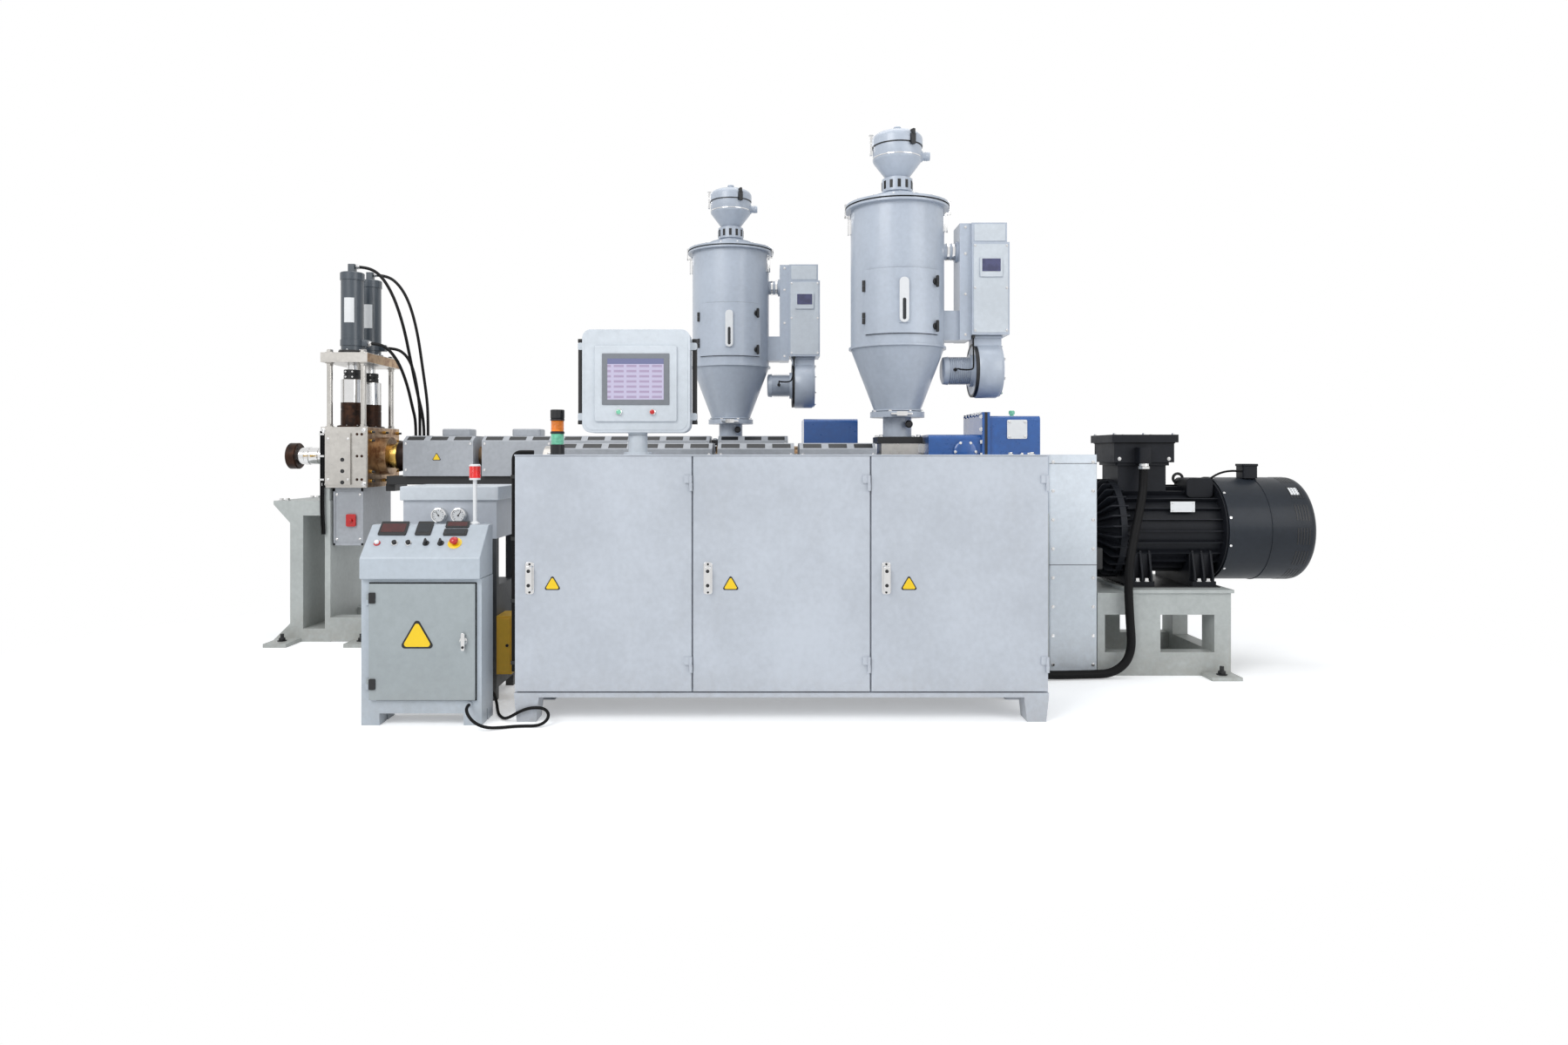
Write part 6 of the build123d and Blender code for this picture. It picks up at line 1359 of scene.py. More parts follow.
@dataclass
class Frames:
    """The welded frames on the floor with their anchors, and the guard over the belt drive."""

    main_feet: tuple[Point, ...] = ((2438.5, 832), (2438.5, 1648), (-1159.5, 832), (-1159.5, 1648))
    main_foot: float = 20
    co_feet: tuple[Point, ...] = ((-3055.5, 1743), (-3055.5, 2457), (-2555.5, 1743), (-2555.5, 2457))
    co_foot: float = 24
    guard: tuple[float, float, float, float] = (1530, 1795, 897, 1200)
    stand: tuple[float, float, float] = (-3053, -2795, 1840)

    def anchor(self, x: float, y: float, z: float) -> list[Patch]:
        """Make an anchor: a nut on its washer with the stud standing out of it."""
        return bolt(x, y, z, 24, Z) + [rod((x, y, z), z + 46, 11, Z)]

    def screws(self) -> list[Patch]:
        """Set the guard's screws down both edges of its front."""
        left, right, front, top = self.guard
        rows = np.linspace(60, top - 40, 8)
        return [part for z in rows for x in (left + 24, right - 24) for part in bolt(x, front, z, 8, Y, -1)]

    def build(self, shop: Workshop) -> None:
        """Dress the frames and set the anchors."""
        shop.dress("cream frame paint", "main_base", "main_pedestal", "co_stand", "co_drive_base")
        shop.dress("guard blue-grey paint", "drive_guard")
        anchors = [part for x, y in self.main_feet for part in self.anchor(x, y, self.main_foot)]
        anchors += [part for x, y in self.co_feet for part in self.anchor(x, y, self.co_foot)]
        shop.make("floor_anchors", anchors, "black paint")
        left, right, front, _ = self.guard
        shop.steel("guard_screws", self.screws())
        seam = [block(left + 4, right - 4, front - 1.2, front + 4, z, z + 3) for z in (600, 1150)]
        shop.make("guard_seams", seam, "dark grey paint", bevel=0.3)
        left, right, front = self.stand
        bolts = bolt_rows((left - 80, left - 40), (front + 50, front + 470), (904,), 16, Z)
        shop.steel("stand_bolts", bolts)


@dataclass
class Gearboxes:
    """The two cast gearboxes: split flanges, bolts, window and breather."""

    left: float = 898
    step: float = 1190
    flange: float = 44
    right: float = 1516
    front: float = 1010
    back: float = 1470
    bottom: float = 880
    tall_top: float = 1415
    split: float = 1100
    window: tuple[float, float, float, float] = (1332, 1443, 1287, 1393)

    def ribs(self) -> list[Patch]:
        """Make the foot rails, the split flange and the bearing caps on the main gearbox's front."""
        front, rails = self.front, ((self.left, self.right, 16, self.bottom), (self.left, self.step, 14, self.split),
                                    (self.step + self.flange, self.right, 14, self.split))
        parts = [block(x0, x1, front - proud, front, z, z + 34) for x0, x1, proud, z in rails]
        for x, z, radius in ((985, 1010, 58), (1100, 1215, 66), (1310, 990, 70), (1430, 1170, 46)):
            cap = [(0, 0), (0, radius), (10, radius), (14, radius - 6), (18, radius - 16), (18, 0)]
            parts.append(boss(cap, (x, front, z), 48))
        return parts

    def bolts(self) -> list[Patch]:
        """Set the bolts of the split flange, the foot rail, the big flange and the bearing caps."""
        parts = []
        for x in (930, 1040, 1160, 1270, 1380, 1490):
            parts += bolt(x, self.front - 8, self.split + 34, 14, Z)
            parts += bolt(x, self.front - 8, self.bottom + 34, 16, Z)
        for z in np.arange(920, 1420, 70):
            parts += bolt(self.step, self.front - 10, z, 12, X, -1)
        for y in np.arange(self.front + 30, self.back, 80):
            parts += bolt(self.step, y, self.tall_top + 10, 12, X, -1)
        for x, z, radius in ((985, 1010, 47), (1100, 1215, 55), (1310, 990, 58), (1430, 1170, 36)):
            parts += bolt_circle((x, self.front - 14, z), radius, 6, 8, Y, -1, 30)
        return parts

    def build(self, shop: Workshop) -> None:
        """Dress both gearboxes."""
        shop.dress("gearbox blue paint", "main_gearbox", "co_gearbox")
        shop.make("gearbox_castings", self.ribs(), "gearbox blue paint", bevel=3)
        shop.steel("gearbox_bolts", self.bolts())
        front, top = self.front, self.tall_top
        joint = block(self.step + 14, self.step + 30, front - 21, front - 18, self.bottom, top + 19)
        shop.make("gearbox_joint", [joint], "black paint", bevel=0.5)
        x0, x1, z0, z1 = self.window
        window = plate(((x0 + x1) / 2, front - 3, (z0 + z1) / 2), (x1 - x0, 6, z1 - z0), 8, Y)
        shop.make("gearbox_window", [window], "blank label white", bevel=1)
        corners = bolt_rows((x0 + 12, x1 - 12), (front - 6,), (z0 + 12, z1 - 12), 7, Y, -1)
        shop.steel("gearbox_window_screws", corners)
        breather = [(0, 0), (0, 11), (12, 11), (12, 17), (28, 17), (33, 13), (33, 0)]
        # The breather takes the glowing green lens finish; its glow is painted light, as the breather is no lamp.
        shop.make("gearbox_breather", [lathe(breather, (1384, 1110, top), Z, 32)], "green lens")
        shop.steel("co_gearbox_bolts", bolt_rows(np.arange(270, 580, 60), (1884,), (800,), 12, Y, -1))


@dataclass
class MainMotor:
    """The big motor: finned end bell, eye, feet, plates, terminal box and fan cowl."""

    y: float = 1240
    z: float = 777
    left: float = 1950
    shield: float = 280
    bell_left: float = 1856
    bell_fins: int = 30
    guard_right: float = 1795
    cowl: tuple[int, int] = (2536, 3030)
    cowl_radius: float = 292
    foot_top: float = 499
    box: tuple[float, float, float, float, float, float] = (1951, 2289, 1080, 1400, 1156, 1268)
    lid_top: float = 1312

    def bell(self) -> list[Patch]:
        """Make the end bell's bearing cap and the radial fins that ring it."""
        middle, left, shield, start = (0, self.y, self.z), self.left, self.shield, self.bell_left
        cap = [(start - 26, 0), (start - 26, 92), (start - 8, 98), (start, 132), (start + 4, 132), (start + 4, 0)]
        fin = np.array([(128, start + 2), (176, start - 4), (shield - 6, left - 52), (shield + 2, left - 40),
                        (shield + 2, left + 52), (shield - 46, left + 52), (shield - 60, left - 10)])
        blade = prism(fin, Y, -4.5, 4.5).moved(0, self.y, self.z)
        return [lathe(cap, middle, X, 72)] + [blade.turned(360 * count / self.bell_fins, middle, X) for count in
                                              range(self.bell_fins)]

    def coupling(self) -> list[Patch]:
        """Make the sleeve over the shaft and the dark block beside it on the guard."""
        start, end = self.guard_right, self.bell_left - 20
        sleeve = lathe([(start, 0), (start, 96), (start + 12, 96), (start + 16, 74), (end, 74), (end, 0)],
                       (0, self.y, self.z), X, 48)
        return [sleeve, plate((start + 24, 1000, 628), (48, 90, 119), 8, X)]

    def ribs(self) -> list[Patch]:
        """Make the tapered ribs on the feet, in threes: an outline of (out from the middle, up), drawn along X."""
        slope, low = np.array([(252, 0), (252, 30), (214, 168), (180, 168), (150, 0)]), self.foot_top
        parts = []
        for x, side in product((2026, 2076, 2126, 2366, 2416, 2466), (-1, 1)):
            outline = np.column_stack([self.y - side * slope[:, 0], slope[:, 1] + low])[::-side]
            parts.append(prism(outline, X, x - 6, x + 6))
        return parts

    def feet_bolts(self) -> list[Patch]:
        """Set one bolt at each corner of the motor's feet."""
        return bolt_rows((2050, 2100, 2390, 2440), (self.y - 232, self.y + 232), (self.foot_top,), 20, Z)

    def cowl_trim(self, shop: Workshop) -> None:
        """Trim the cowl: rim band, screws, blank label, junction box and its wire."""
        (left, right), y, radius, middle = self.cowl, self.y, self.cowl_radius, (0, self.y, self.z)
        bands = [hoop(x, x + wide, radius - 4, radius + 3, middle, X, 96)
                 for x, wide in ((left, 20), (left + 236, 6))]
        shop.make("cowl_bands", bands, "cowl charcoal paint", bevel=1)
        screw = rod((left + 10, y - radius - 7, self.z), y - radius + 2, 7, Y)
        shop.steel("cowl_screws", [screw.turned(turn, middle, X) for turn in range(-75, 286, 30)])
        label = arc_plate(middle, radius, 1.2, (126, 137), (2916, 2964), X, 4)
        shop.make("cowl_label", [label], "blank label white")
        box = plate((2755, y - 40, 1101), (84, 96, 74), 14, Z)
        lid = plate((2755, y - 40, 1140), (94, 104, 14), 18, Z)
        shop.make("fan_junction_box", [box, lid], "motor charcoal paint", bevel=2)
        wire = bend([(2716, y - 70, 1104), (2650, y - 74, 1108), (2590, y - 76, 1098), (2535, y - 78, 1070),
                     (2500, y - 80, 1032)], 30)
        shop.make("fan_wire", [pipe(wire, 6)], "black rubber")
        vents = [arc_plate(middle, radius - 1, 2.2, (start, start + 18), (x, x + 6), X, 6)
                 for x in range(right - 120, right - 40, 16) for start in range(72, 262, 26)]
        shop.make("cowl_vents", vents, "black paint")

    def box_trim(self, shop: Workshop) -> None:
        """Trim the terminal box: gasket, lid bolts, neck flange and the cable's glands."""
        x0, x1, y0, y1, z0, z1 = self.box
        gasket = [block(x0 - 4, x1 + 4, y0 - 4, y1 + 4, z1 - 5, z1 + 1)]
        shop.make("terminal_box_gasket", gasket, "black rubber", bevel=0.5)
        bolts = bolt_rows(np.linspace(x0 + 4, x1 - 4, 3), (y0 + 4, y1 - 4), (self.lid_top,), 10, Z)
        bolts += bolt_rows((x0 + 30, (x0 + x1) / 2, x1 - 30), (y0,), (z0 + 20,), 9, Y, -1)
        shop.steel("terminal_box_bolts", bolts)
        flange = [plate(((x0 + x1) / 2, (y0 + y1) / 2, z0 - 9), (x1 - x0 - 36, y1 - y0 - 36, 18), 12, Z)]
        shop.make("terminal_box_flange", flange, "motor charcoal paint", bevel=2)
        gland = [(0, 0), (0, 33), (14, 33), (16, 29), (34, 28), (36, 25), (36, 0)]
        shop.steel("motor_cable_gland", [lathe(gland, (2103, 1045, 1120), Z, 32)])
        lower = boss([(0, 0), (0, 25), (16, 25), (18, 32), (40, 34), (40, 0)], ORIGIN, 32)
        shop.steel("cabinet_cable_gland", [lower.turned(180, ORIGIN, Z).moved(945, 530, 190)])

    def build(self, shop: Workshop) -> None:
        """Dress the motor."""
        shop.dress("motor charcoal paint", "main_motor", "co_motor", "main_terminal_box")
        shop.dress("cowl charcoal paint", "main_motor_cowl")
        shop.make("motor_end_bell", self.bell(), "motor charcoal paint", bevel=1.5)
        shop.make("motor_shaft_sleeve", self.coupling(), "black paint", bevel=2)
        shop.make("motor_foot_ribs", self.ribs(), "motor charcoal paint", bevel=2)
        shop.steel("motor_foot_bolts", self.feet_bolts())
        pad = [block(1990, 2500, self.y - 262, self.y + 262, 465, 472)]
        shop.make("motor_foot_shim", pad, "black paint", bevel=1)
        shop.make("motor_eye", eye(2377, self.y, 1020, 27, 8), "black paint")
        rear = [plate((2440, self.y - 60, 1012), (150, 170, 112), 26, Y)]
        shop.make("motor_rear_box", rear, "motor charcoal paint", bevel=4)
        plates = [block(2241, 2376, 1014, 1019, 881, 939)]
        shop.make("motor_plate", plates, "blank label white", bevel=0.6)
        studs = [rod((x, 1012, z), 1040, 5, Y) for x in (2252, 2365) for z in (890, 930)]
        shop.steel("motor_plate_studs", studs)
        self.cowl_trim(shop)
        self.box_trim(shop)


@dataclass
class Barrels:
    """Both barrels and their folded covers, with black blocks under the co-extruder's covers that stand partly for its
    heater wiring and partly for painted shade, and a blank plate.
    """

    co_front: float = 1920
    co_top: float = 1322
    co_cover_left: tuple[float, ...] = (-316, -827, -1338, -1849, -2360)
    cover_length: float = 455
    main_cover_left: tuple[float, ...] = (185, -275, -735, -1195)
    main_cover_length: float = 430

    def vents(self, lefts: Sequence[float], length: float, front: float, top: float, drop: float) -> list[Patch]:
        """Lay three dark vent grilles on the sloping edge of each cover: thin plates tilted to the slope."""
        slope = math.degrees(math.atan2(drop, 60))
        pitch = length / 3
        grille = block(0, pitch * 0.72, -23, 23, -1, 1.2).turned(slope, ORIGIN, X)
        return [grille.moved(left + pitch * (number + 0.14), front + 30, top - drop / 2)
                for left in lefts for number in range(3)]

    def build(self, shop: Workshop) -> None:
        """Dress the barrels and set the covers' screws."""
        shop.dress("machined steel", "main_barrel")
        shop.dress("straw-tinted steel", "co_barrel")
        shop.dress("cover grey paint", "main_barrel_covers", "co_barrel_covers")
        screws, front = [], self.co_front
        for lefts, length, y, rows in ((self.co_cover_left, self.cover_length, front, (1270, 1100)),
                                       (self.main_cover_left, self.main_cover_length, 1060, (1200, 1000))):
            for left in lefts:
                screws += bolt_rows((left + 18, left + length - 18), (y,), rows, 7, Y, -1)
        shop.steel("cover_screws", screws)
        vents = self.vents(self.co_cover_left, self.cover_length, front, self.co_top, 34)
        vents += self.vents(self.main_cover_left, self.main_cover_length, 1060, 1265, 34)
        shop.make("cover_vents", vents, "black paint")
        # Black blocks under the co-extruder's covers: partly its dark wiring, partly painted shade under the covers.
        wiring_and_shade_fill = [block(-2480, -1150, 1950, 2250, 1004, 1061), block(-2500, -2440, 1990, 2210, 960, 1010)]
        shop.make("barrel_wiring_and_shade_fill", wiring_and_shade_fill, "black paint", bevel=3)
        lids = [plate((x, 2130, 1346), (190, 150, 50), 22, Z) for x in (-2060, -1595)]
        shop.make("cover_fan_lids", lids, "cover grey paint", bevel=8)
        shop.make("cover_plate_edge", [triangle_plate((-2142, front - 0.3, 1180), 60)], "black plastic", bevel=0.3)
        shop.make("cover_plate", [triangle_plate((-2142, front - 1.4, 1180), 48)], "plate yellow", bevel=0.3)


@dataclass
class HopperDryer:
    """A hopper dryer's detail, drawn about its own upright axis at the main dryer's size and then seated."""

    side: str
    place: Point
    ratio: float
    door_back: float = 268.5
    door_face: float = 282.5
    latches: tuple[float, ...] = (650, 899)
    hinges: tuple[tuple[float, float], ...] = ((667, 696), (847, 876))
    hinge_angle: float = -48
    hinge_radius: float = 286.5

    def seat(self, patches: Iterable[Patch]) -> list[Patch]:
        """Scale patches to the dryer's size and move them to its place."""
        return [Patch(patch.points * self.ratio + np.array(self.place, float), patch.faces) for patch in patches]

    def add(self, shop: Workshop, name: str, patches: Iterable[Patch], finish: str = "bright plated steel",
            door: bool = False, replaces: Sequence[str] = (), bevel: float = 0, sharp: float = 32) -> None:
        """Make a piece of this dryer on the line or on its door."""
        body = f"{self.side}_hopper_door" if door else STATIC
        nodes = [f"{self.side}_{node}" for node in replaces]
        shop.make(f"{self.side}_{name}", self.seat(patches), finish, body, nodes, bevel, sharp)

    def around(self, parts: Sequence[Patch], *angles: float) -> list[Patch]:
        """Turn each part that was made at the dryer's front to each angle to the right."""
        return [part.turned(angle, ORIGIN, Z) for part in parts for angle in angles]

    def loader(self, shop: Workshop) -> None:
        """Make the vacuum loader: neck with a slotted plate, cone, body, domed lid, clamps, clasp and spigot."""
        arc = np.linspace(0, math.pi / 2, 9)[:-1]
        dome = [(1748 + 49 * math.sin(value), 28 + 118 * math.cos(value) ** 0.7) for value in arc] + [(1797, 28)]
        profile = [(1403, 0), (1403, 150), (1421, 150), (1421, 74), (1448, 74), (1448, 88), (1523, 88), (1523, 66),
                   (1532, 66), (1626, 137), (1632, 140), (1712, 140), (1712, 146), *dome, (1800, 28), (1800, 20),
                   (1816, 20), (1822, 24), (1829, 20), (1829, 0)]
        spigot = [(120, 0), (120, 32), (144, 32), (144, 24), (160, 24), (160, 26), (166, 24), (172, 26), (178, 24),
                  (187, 24), (187, 21), (184, 0)]
        skin = [lathe(profile, ORIGIN, Z, 72), lathe(spigot, (0, 0, 1660), X, 32)]
        self.add(shop, "loader_skin", skin, "hopper pale paint", replaces=["loader"], sharp=30)
        seal = hoop(1706, 1713, 136, 144, ORIGIN, Z, 72)
        slots = self.around([block(-9, 9, -89.5, -86, 1462, 1508)], *range(-60, 301, 30))
        clasp = self.around([plate((0, -152, 1722), (30, 16, 62), 5, Y), plate((0, -150, 1762), (18, 26, 30), 5, Y)],
                            28)
        self.add(shop, "loader_dark_trim", [seal, *slots, *clasp], "black plastic", bevel=0.6)
        clamp = [plate((0, -152, 1700), (26, 14, 74), 5, Y), block(-6, 6, -160, -142, 1736, 1780),
                 plate((0, -151, 1783), (20, 26, 10), 3, Y)]
        band = hoop(1640, 1646, 138, 142, ORIGIN, Z, 72)
        self.add(shop, "loader_clamps", [*self.around(clamp, -90, 150), band], bevel=1)
        self.add(shop, "loader_bolts", bolt_circle((0, 0, 1421), 124, 8, 9, Z))

    def body(self, shop: Workshop) -> None:
        """Trim the hopper: lid gasket, hanging clamps, seam ring, gate, knob, black foot plate and bolts."""
        self.add(shop, "lid_gasket", [hoop(1351, 1358, 292, 300, ORIGIN, Z, 96)], "black rubber")
        clamp = [plate((0, -271, 1262), (30, 8, 118), 4, Y), rod((-18, -288, 1306), 18, 5, X, 20),
                 block(-5, 5, -306, -284, 1300, 1312), block(-5, 5, -306, -299, 1300, 1380),
                 block(-7, 7, -306, -278, 1371, 1381), plate((0, -284, 1252), (22, 7, 104), 6, Y),
                 block(-12, 12, -286, -270, 1296, 1314)]
        self.add(shop, "lid_clamps", self.around(clamp, -88, 72, 180), bevel=1)
        cone = lathe([(186, 128), (186, 146), (194, 146), (194, 136)], ORIGIN, Z, 64, loop=True)
        rings = [hoop(541, 553, 262, 279, ORIGIN, Z, 96), cone]
        self.add(shop, "hopper_rings", rings, "hopper pale paint", bevel=0.8)
        half, skin = 126, 0.6
        foot = [block(-half, half, side * half - skin, side * half + skin, -0.2, 37.6) for side in (-1, 1)]
        foot += [block(side * half - skin, side * half + skin, -half, half, -0.2, 37.6) for side in (-1, 1)]
        top = hoop(37.1, 38.4, 83, 124, ORIGIN, Z, 64)
        knob = boss([(0, 0), (0, 9), (24, 9), (28, 20), (44, 22), (50, 15), (50, 0)], (52, -66, 110), 32)
        self.add(shop, "foot_plate", [*foot, top, knob], "black paint", bevel=0.4)
        bolts = bolt_circle((0, 0, 182), 144, 8, 10, Z, 1, 22)
        bolts += bolt_rows((-106, 106), (-106, 106), (37,), 14, Z)
        bolts += bolt_circle((0, 0, 1371), 286, 16, 8, Z, 1, 11)
        self.add(shop, "hopper_bolts", bolts)
        slide = [plate((0, -176, 166), (120, 46, 10), 4, Z), plate((0, -200, 166), (60, 12, 26), 5, Y)]
        self.add(shop, "slide_gate", slide, bevel=1)

    def door(self, shop: Workshop) -> None:
        """Fit the hopper door: seal, hinge covers, latches and the sight glass in its white frame."""
        face = -self.door_face
        frame = plate((0, face - 9.5, 787), (53, 9, 249), 26, Y, 10)
        self.add(shop, "sight_frame", [frame], "blank label white", True, bevel=2)
        glass = plate((0, face - 14.6, 737), (19, 1.6, 118), 9, Y, 8)
        self.add(shop, "sight_glass", [glass], "dark display", True, bevel=0.3)
        seal = [arc_plate(ORIGIN, self.door_back - 0.2, 4, (-137.5, -42.5), span, Z, 40)
                for span in ((604.5, 606.8), (967.2, 969.5))]
        self.add(shop, "door_seal", seal, "black rubber")
        angle = math.radians(self.hinge_angle)
        x, y = self.hinge_radius * math.sin(angle), -self.hinge_radius * math.cos(angle)
        fixed = [rod((x, y, low - 2), high, 9.5, Z, 24) for low, high in self.hinges]
        moving = [rod((x, y, high + 1), high + 32, 9.5, Z, 24) for _, high in self.hinges]
        self.add(shop, "fixed_hinge_covers", fixed, "black plastic")
        self.add(shop, "moving_hinge_covers", moving, "black plastic", True)
        latches = []
        for height in self.latches:
            latches += [boss([(0, 0), (0, 19), (9, 19), (12, 15), (12, 0)], (0, face + 1, height), 32),
                        plate((0, face - 17, height), (17, 11, 66), 8, Y)]
        self.add(shop, "door_latches", self.around(latches, 40), "black plastic", True, bevel=1)

    def heater(self, shop: Workshop) -> None:
        """Trim the heater column and its control box: panels, display, bands and screws."""
        panel = [plate((514, -121.2, 878), (194, 3, 500), 6, Y), plate((510, -109.5, 1196), (176, 3, 96), 6, Y)]
        self.add(shop, "control_panel", panel, "panel white-grey paint", bevel=1)
        frame = plate((514, -129, 996), (126, 7, 108), 5, Y)
        self.add(shop, "display_frame", [frame], "panel white-grey paint", bevel=1)
        glass = plate((514, -133, 1008), (104, 1.4, 72), 3, Y)
        self.add(shop, "display_glass", [glass], "violet display", bevel=0.2)
        screws = bolt_rows((424, 604), (-122.7,), (640, 880, 1120), 6, Y, -1)
        screws += bolt_rows((376,), (-90,), (620, 850, 1080, 1230), 7, Y, -1)
        bands = [hoop(x, x + 14, 45, 51, (0, 0, 1108), X, 40) for x in (282, 312)]
        self.add(shop, "heater_screws", [*screws, *bands])

    def blower(self, shop: Workshop) -> None:
        """Dress the blower: dark seam, ribbed motor with its pale ring, fan cover, flange and bolts."""
        middle, pale = (0, 0, 421), "hopper pale paint"
        seams = [hoop(428, 446, 140, 154, middle, X, 72), hoop(583, 590, 44, 60, middle, X, 48)]
        self.add(shop, "blower_seam", seams, "black paint", bevel=0.5)
        ribs = [drum(x, x + 4, 80, middle, X, 48) for x in np.arange(300, 410, 11)]
        self.add(shop, "blower_motor_ribs", ribs, pale)
        ring = lathe([(256, 0), (256, 62), (262, 78), (290, 82), (290, 0)], middle, X, 48)
        self.add(shop, "blower_motor_ends", [ring, drum(412, 430, 92, middle, X, 48)], pale)
        volute = lathe([(444, 120), (444, 152), (452, 158), (566, 158), (580, 150), (587, 132), (587, 60), (586, 58),
                        (580, 58), (580, 100), (560, 120)], middle, X, 72, loop=True)
        self.add(shop, "blower_volute", [volute], pale, sharp=40)
        self.add(shop, "blower_flange", [block(424, 591, -80, 80, 600, 614)], pale, bevel=2)
        self.add(shop, "blower_bolts", bolt_circle((587, 0, 421), 141, 8, 9, X, 1, 22))

    def lead(self, shop: Workshop) -> None:
        """Lay the lead from the control box's underside to the blower's motor, with its two glands."""
        gland, reach = 14, 73 * self.ratio
        points = [list(point) for point in LEAD_ROUTE]
        points[0][2] = 616 * self.ratio - gland
        points[-1][1] = -reach - gland
        points[-1][2] = points[-2][2] = 421 * self.ratio
        route = np.array(points, float) + np.array(self.place, float)
        length = 0.425 if self.ratio == 1 else 0.401
        Cord(f"{self.side}_dryer_lead", route.tolist(), 9, length, "limp", "hanging", "black rubber").build(shop)
        (x0, y0, z0), (x1, y1, z1) = route[0], route[-1]
        glands = [rod((x0, y0, z0 - 4), z0 + gland + 1, 10, Z, 24), rod((x1, y1 - 4, z1), y1 + gland + 1, 10, Y, 24)]
        shop.make(f"{self.side}_lead_glands", glands, "black plastic")

    def build(self, shop: Workshop) -> None:
        """Dress the dryer."""
        names = ("hopper", "hopper_lid", "hopper_door", "dryer_duct", "dryer_panel", "dryer_blower")
        shop.dress("hopper pale paint", *(f"{self.side}_{name}" for name in names))
        self.loader(shop)
        self.body(shop)
        self.door(shop)
        self.heater(shop)
        self.blower(shop)


@dataclass
class ScreenChanger:
    """The screen changer: block, pistons, tie rods, top plate, cylinders, guard and heater wiring."""

    left: float = -2855
    right: float = -2555
    front: float = 1830
    back: float = 2369
    bottom: float = 988
    top: float = 1377
    rows: tuple[tuple[str, float], ...] = (("front", 1957.5), ("rear", 2242.5))
    piston_top: float = 1690
    burnt_top: float = 1538
    plate: tuple[float, float] = (1792, 1855)
    cylinder_top: float = 2385

    @property
    def middle(self) -> float:
        """X of the pistons."""
        return (self.left + self.right) / 2

    def pistons(self, shop: Workshop) -> None:
        """Turn each piston: burnt lower part with vent grooves, bright upper part, dark coupling, bright rod."""
        burnt, top = self.burnt_top, self.piston_top
        low = [(975, 0), (975, 66), (979, 70)]
        for groove in (1040, 1190, 1340, 1490):
            low += [(groove, 70), (groove + 2, 68.4), (groove + 8, 68.4), (groove + 10, 70)]
        low += [(burnt, 70), (burnt, 0)]
        high = [(burnt, 0), (burnt, 70), (top - 4, 70), (top, 66), (top, 0)]
        halves = [(0, 0), (0, 52), (26, 52), (28, 49), (34, 49), (36, 52), (60, 52), (62, 49), (62, 0)]
        for name, y in self.rows:
            body, foot = f"screen_piston_{name}", (self.middle, y, 0)
            shop.make(f"piston_{name}_burnt", [lathe(low, foot, Z, 64)], "heat-browned steel", body, [body])
            shop.steel(f"piston_{name}_bright", [lathe(high, foot, Z, 64)], body)
            coupling = lathe(halves, (self.middle, y, top), Z, 48)
            shop.make(f"piston_{name}_coupling", [coupling], "black paint", body)
            screws = [rod((self.middle + dx, y - 54, top + z), y - 40, 6, Y, 20) for dx in (-22, 22)
                      for z in (14, 48)]
            bar = rod((self.middle, y, top + 61), 2300, 32, Z, 48)
            shop.steel(f"piston_{name}_rod", [bar, *screws], body)

    def cylinders(self, shop: Workshop) -> None:
        """Turn the two cylinders with their foot flanges, end caps, ports and blank labels."""
        skins, flanges, labels, fittings = [], [], [], []
        x, base, top, port_z = self.middle, self.plate[1], self.cylinder_top, 1925
        skin = [(base, 34), (base, 69), (base + 50, 69), (base + 52, 74), (base + 92, 74), (base + 94, 70),
                (top - 52, 70), (top - 50, 75), (top - 4, 75), (top, 71), (top, 34)]
        for _, y in self.rows:
            foot = (x, y, 0)
            skins += [lathe(skin, foot, Z, 64, loop=True), plate((x, y, top + 28), (44, 44, 58), 5, Z),
                      drum(top - 42, top, 34, foot, Z, 48), plate((x + 86, y, port_z), (42, 44, 44), 5, X)]
            flanges.append(lathe([(0, 60), (0, 84), (18, 84), (22, 80), (22, 60)], (x, y, base), Z, 64, loop=True))
            labels.append(arc_plate(foot, 70, 1, (-110, -58), (2055, 2215)))
            fittings += bolt_circle((x, y, base + 22), 77, 6, 7, Z, 1, 30)
            fittings += [lathe([(0, 0), (0, 17), (14, 17), (14, 13), (22, 13), (22, 0)], (x + reach, y, z), X, 6)
                         for reach, z in ((28, top + 40), (104, port_z))]
        shop.make("screen_cylinder_skins", skins, "cylinder blue-grey paint", replaces=["screen_cylinders"])
        shop.make("screen_cylinder_feet", flanges, "black paint")
        shop.make("screen_cylinder_labels", labels, "blank label white")
        shop.steel("screen_cylinder_fittings", fittings)

    def frame(self, shop: Workshop) -> None:
        """Trim the top plate and the tie rods: straw-tinted side, nuts with their washers, piston seals and their
        screws.
        """
        (low, high), top, side = self.plate, self.top, self.right
        tint = [block(side - 1, side + 0.8, self.front + 3, self.back - 3, low + 3, high - 3),
                block(side - 1, side + 0.8, self.front + 8, self.back - 8, self.bottom + 2, top - 2)]
        shop.make("screen_tinted_sides", tint, "straw-tinted steel", bevel=0.5)
        nuts = []
        for x, y in product((self.left + 42, self.right - 42), (self.front + 42, self.back - 42)):
            nuts += bolt(x, y, high, 24, Z) + bolt(x, y, low, 24, Z, -1) + bolt(x, y, top, 24, Z)
        shop.make("screen_tie_nuts", nuts, "machined steel")
        ring = [(-2, 71.5), (-2, 92), (9, 92), (12, 88), (12, 71.5)]
        seals = [lathe(ring, (self.middle, y, top), Z, 64, loop=True) for _, y in self.rows]
        shop.make("screen_piston_seals", seals, "heat-browned steel")
        screws = [part for _, y in self.rows for part in bolt_circle((self.middle, y, top + 9), 82, 8, 6, Z)]
        shop.steel("screen_seal_screws", screws)

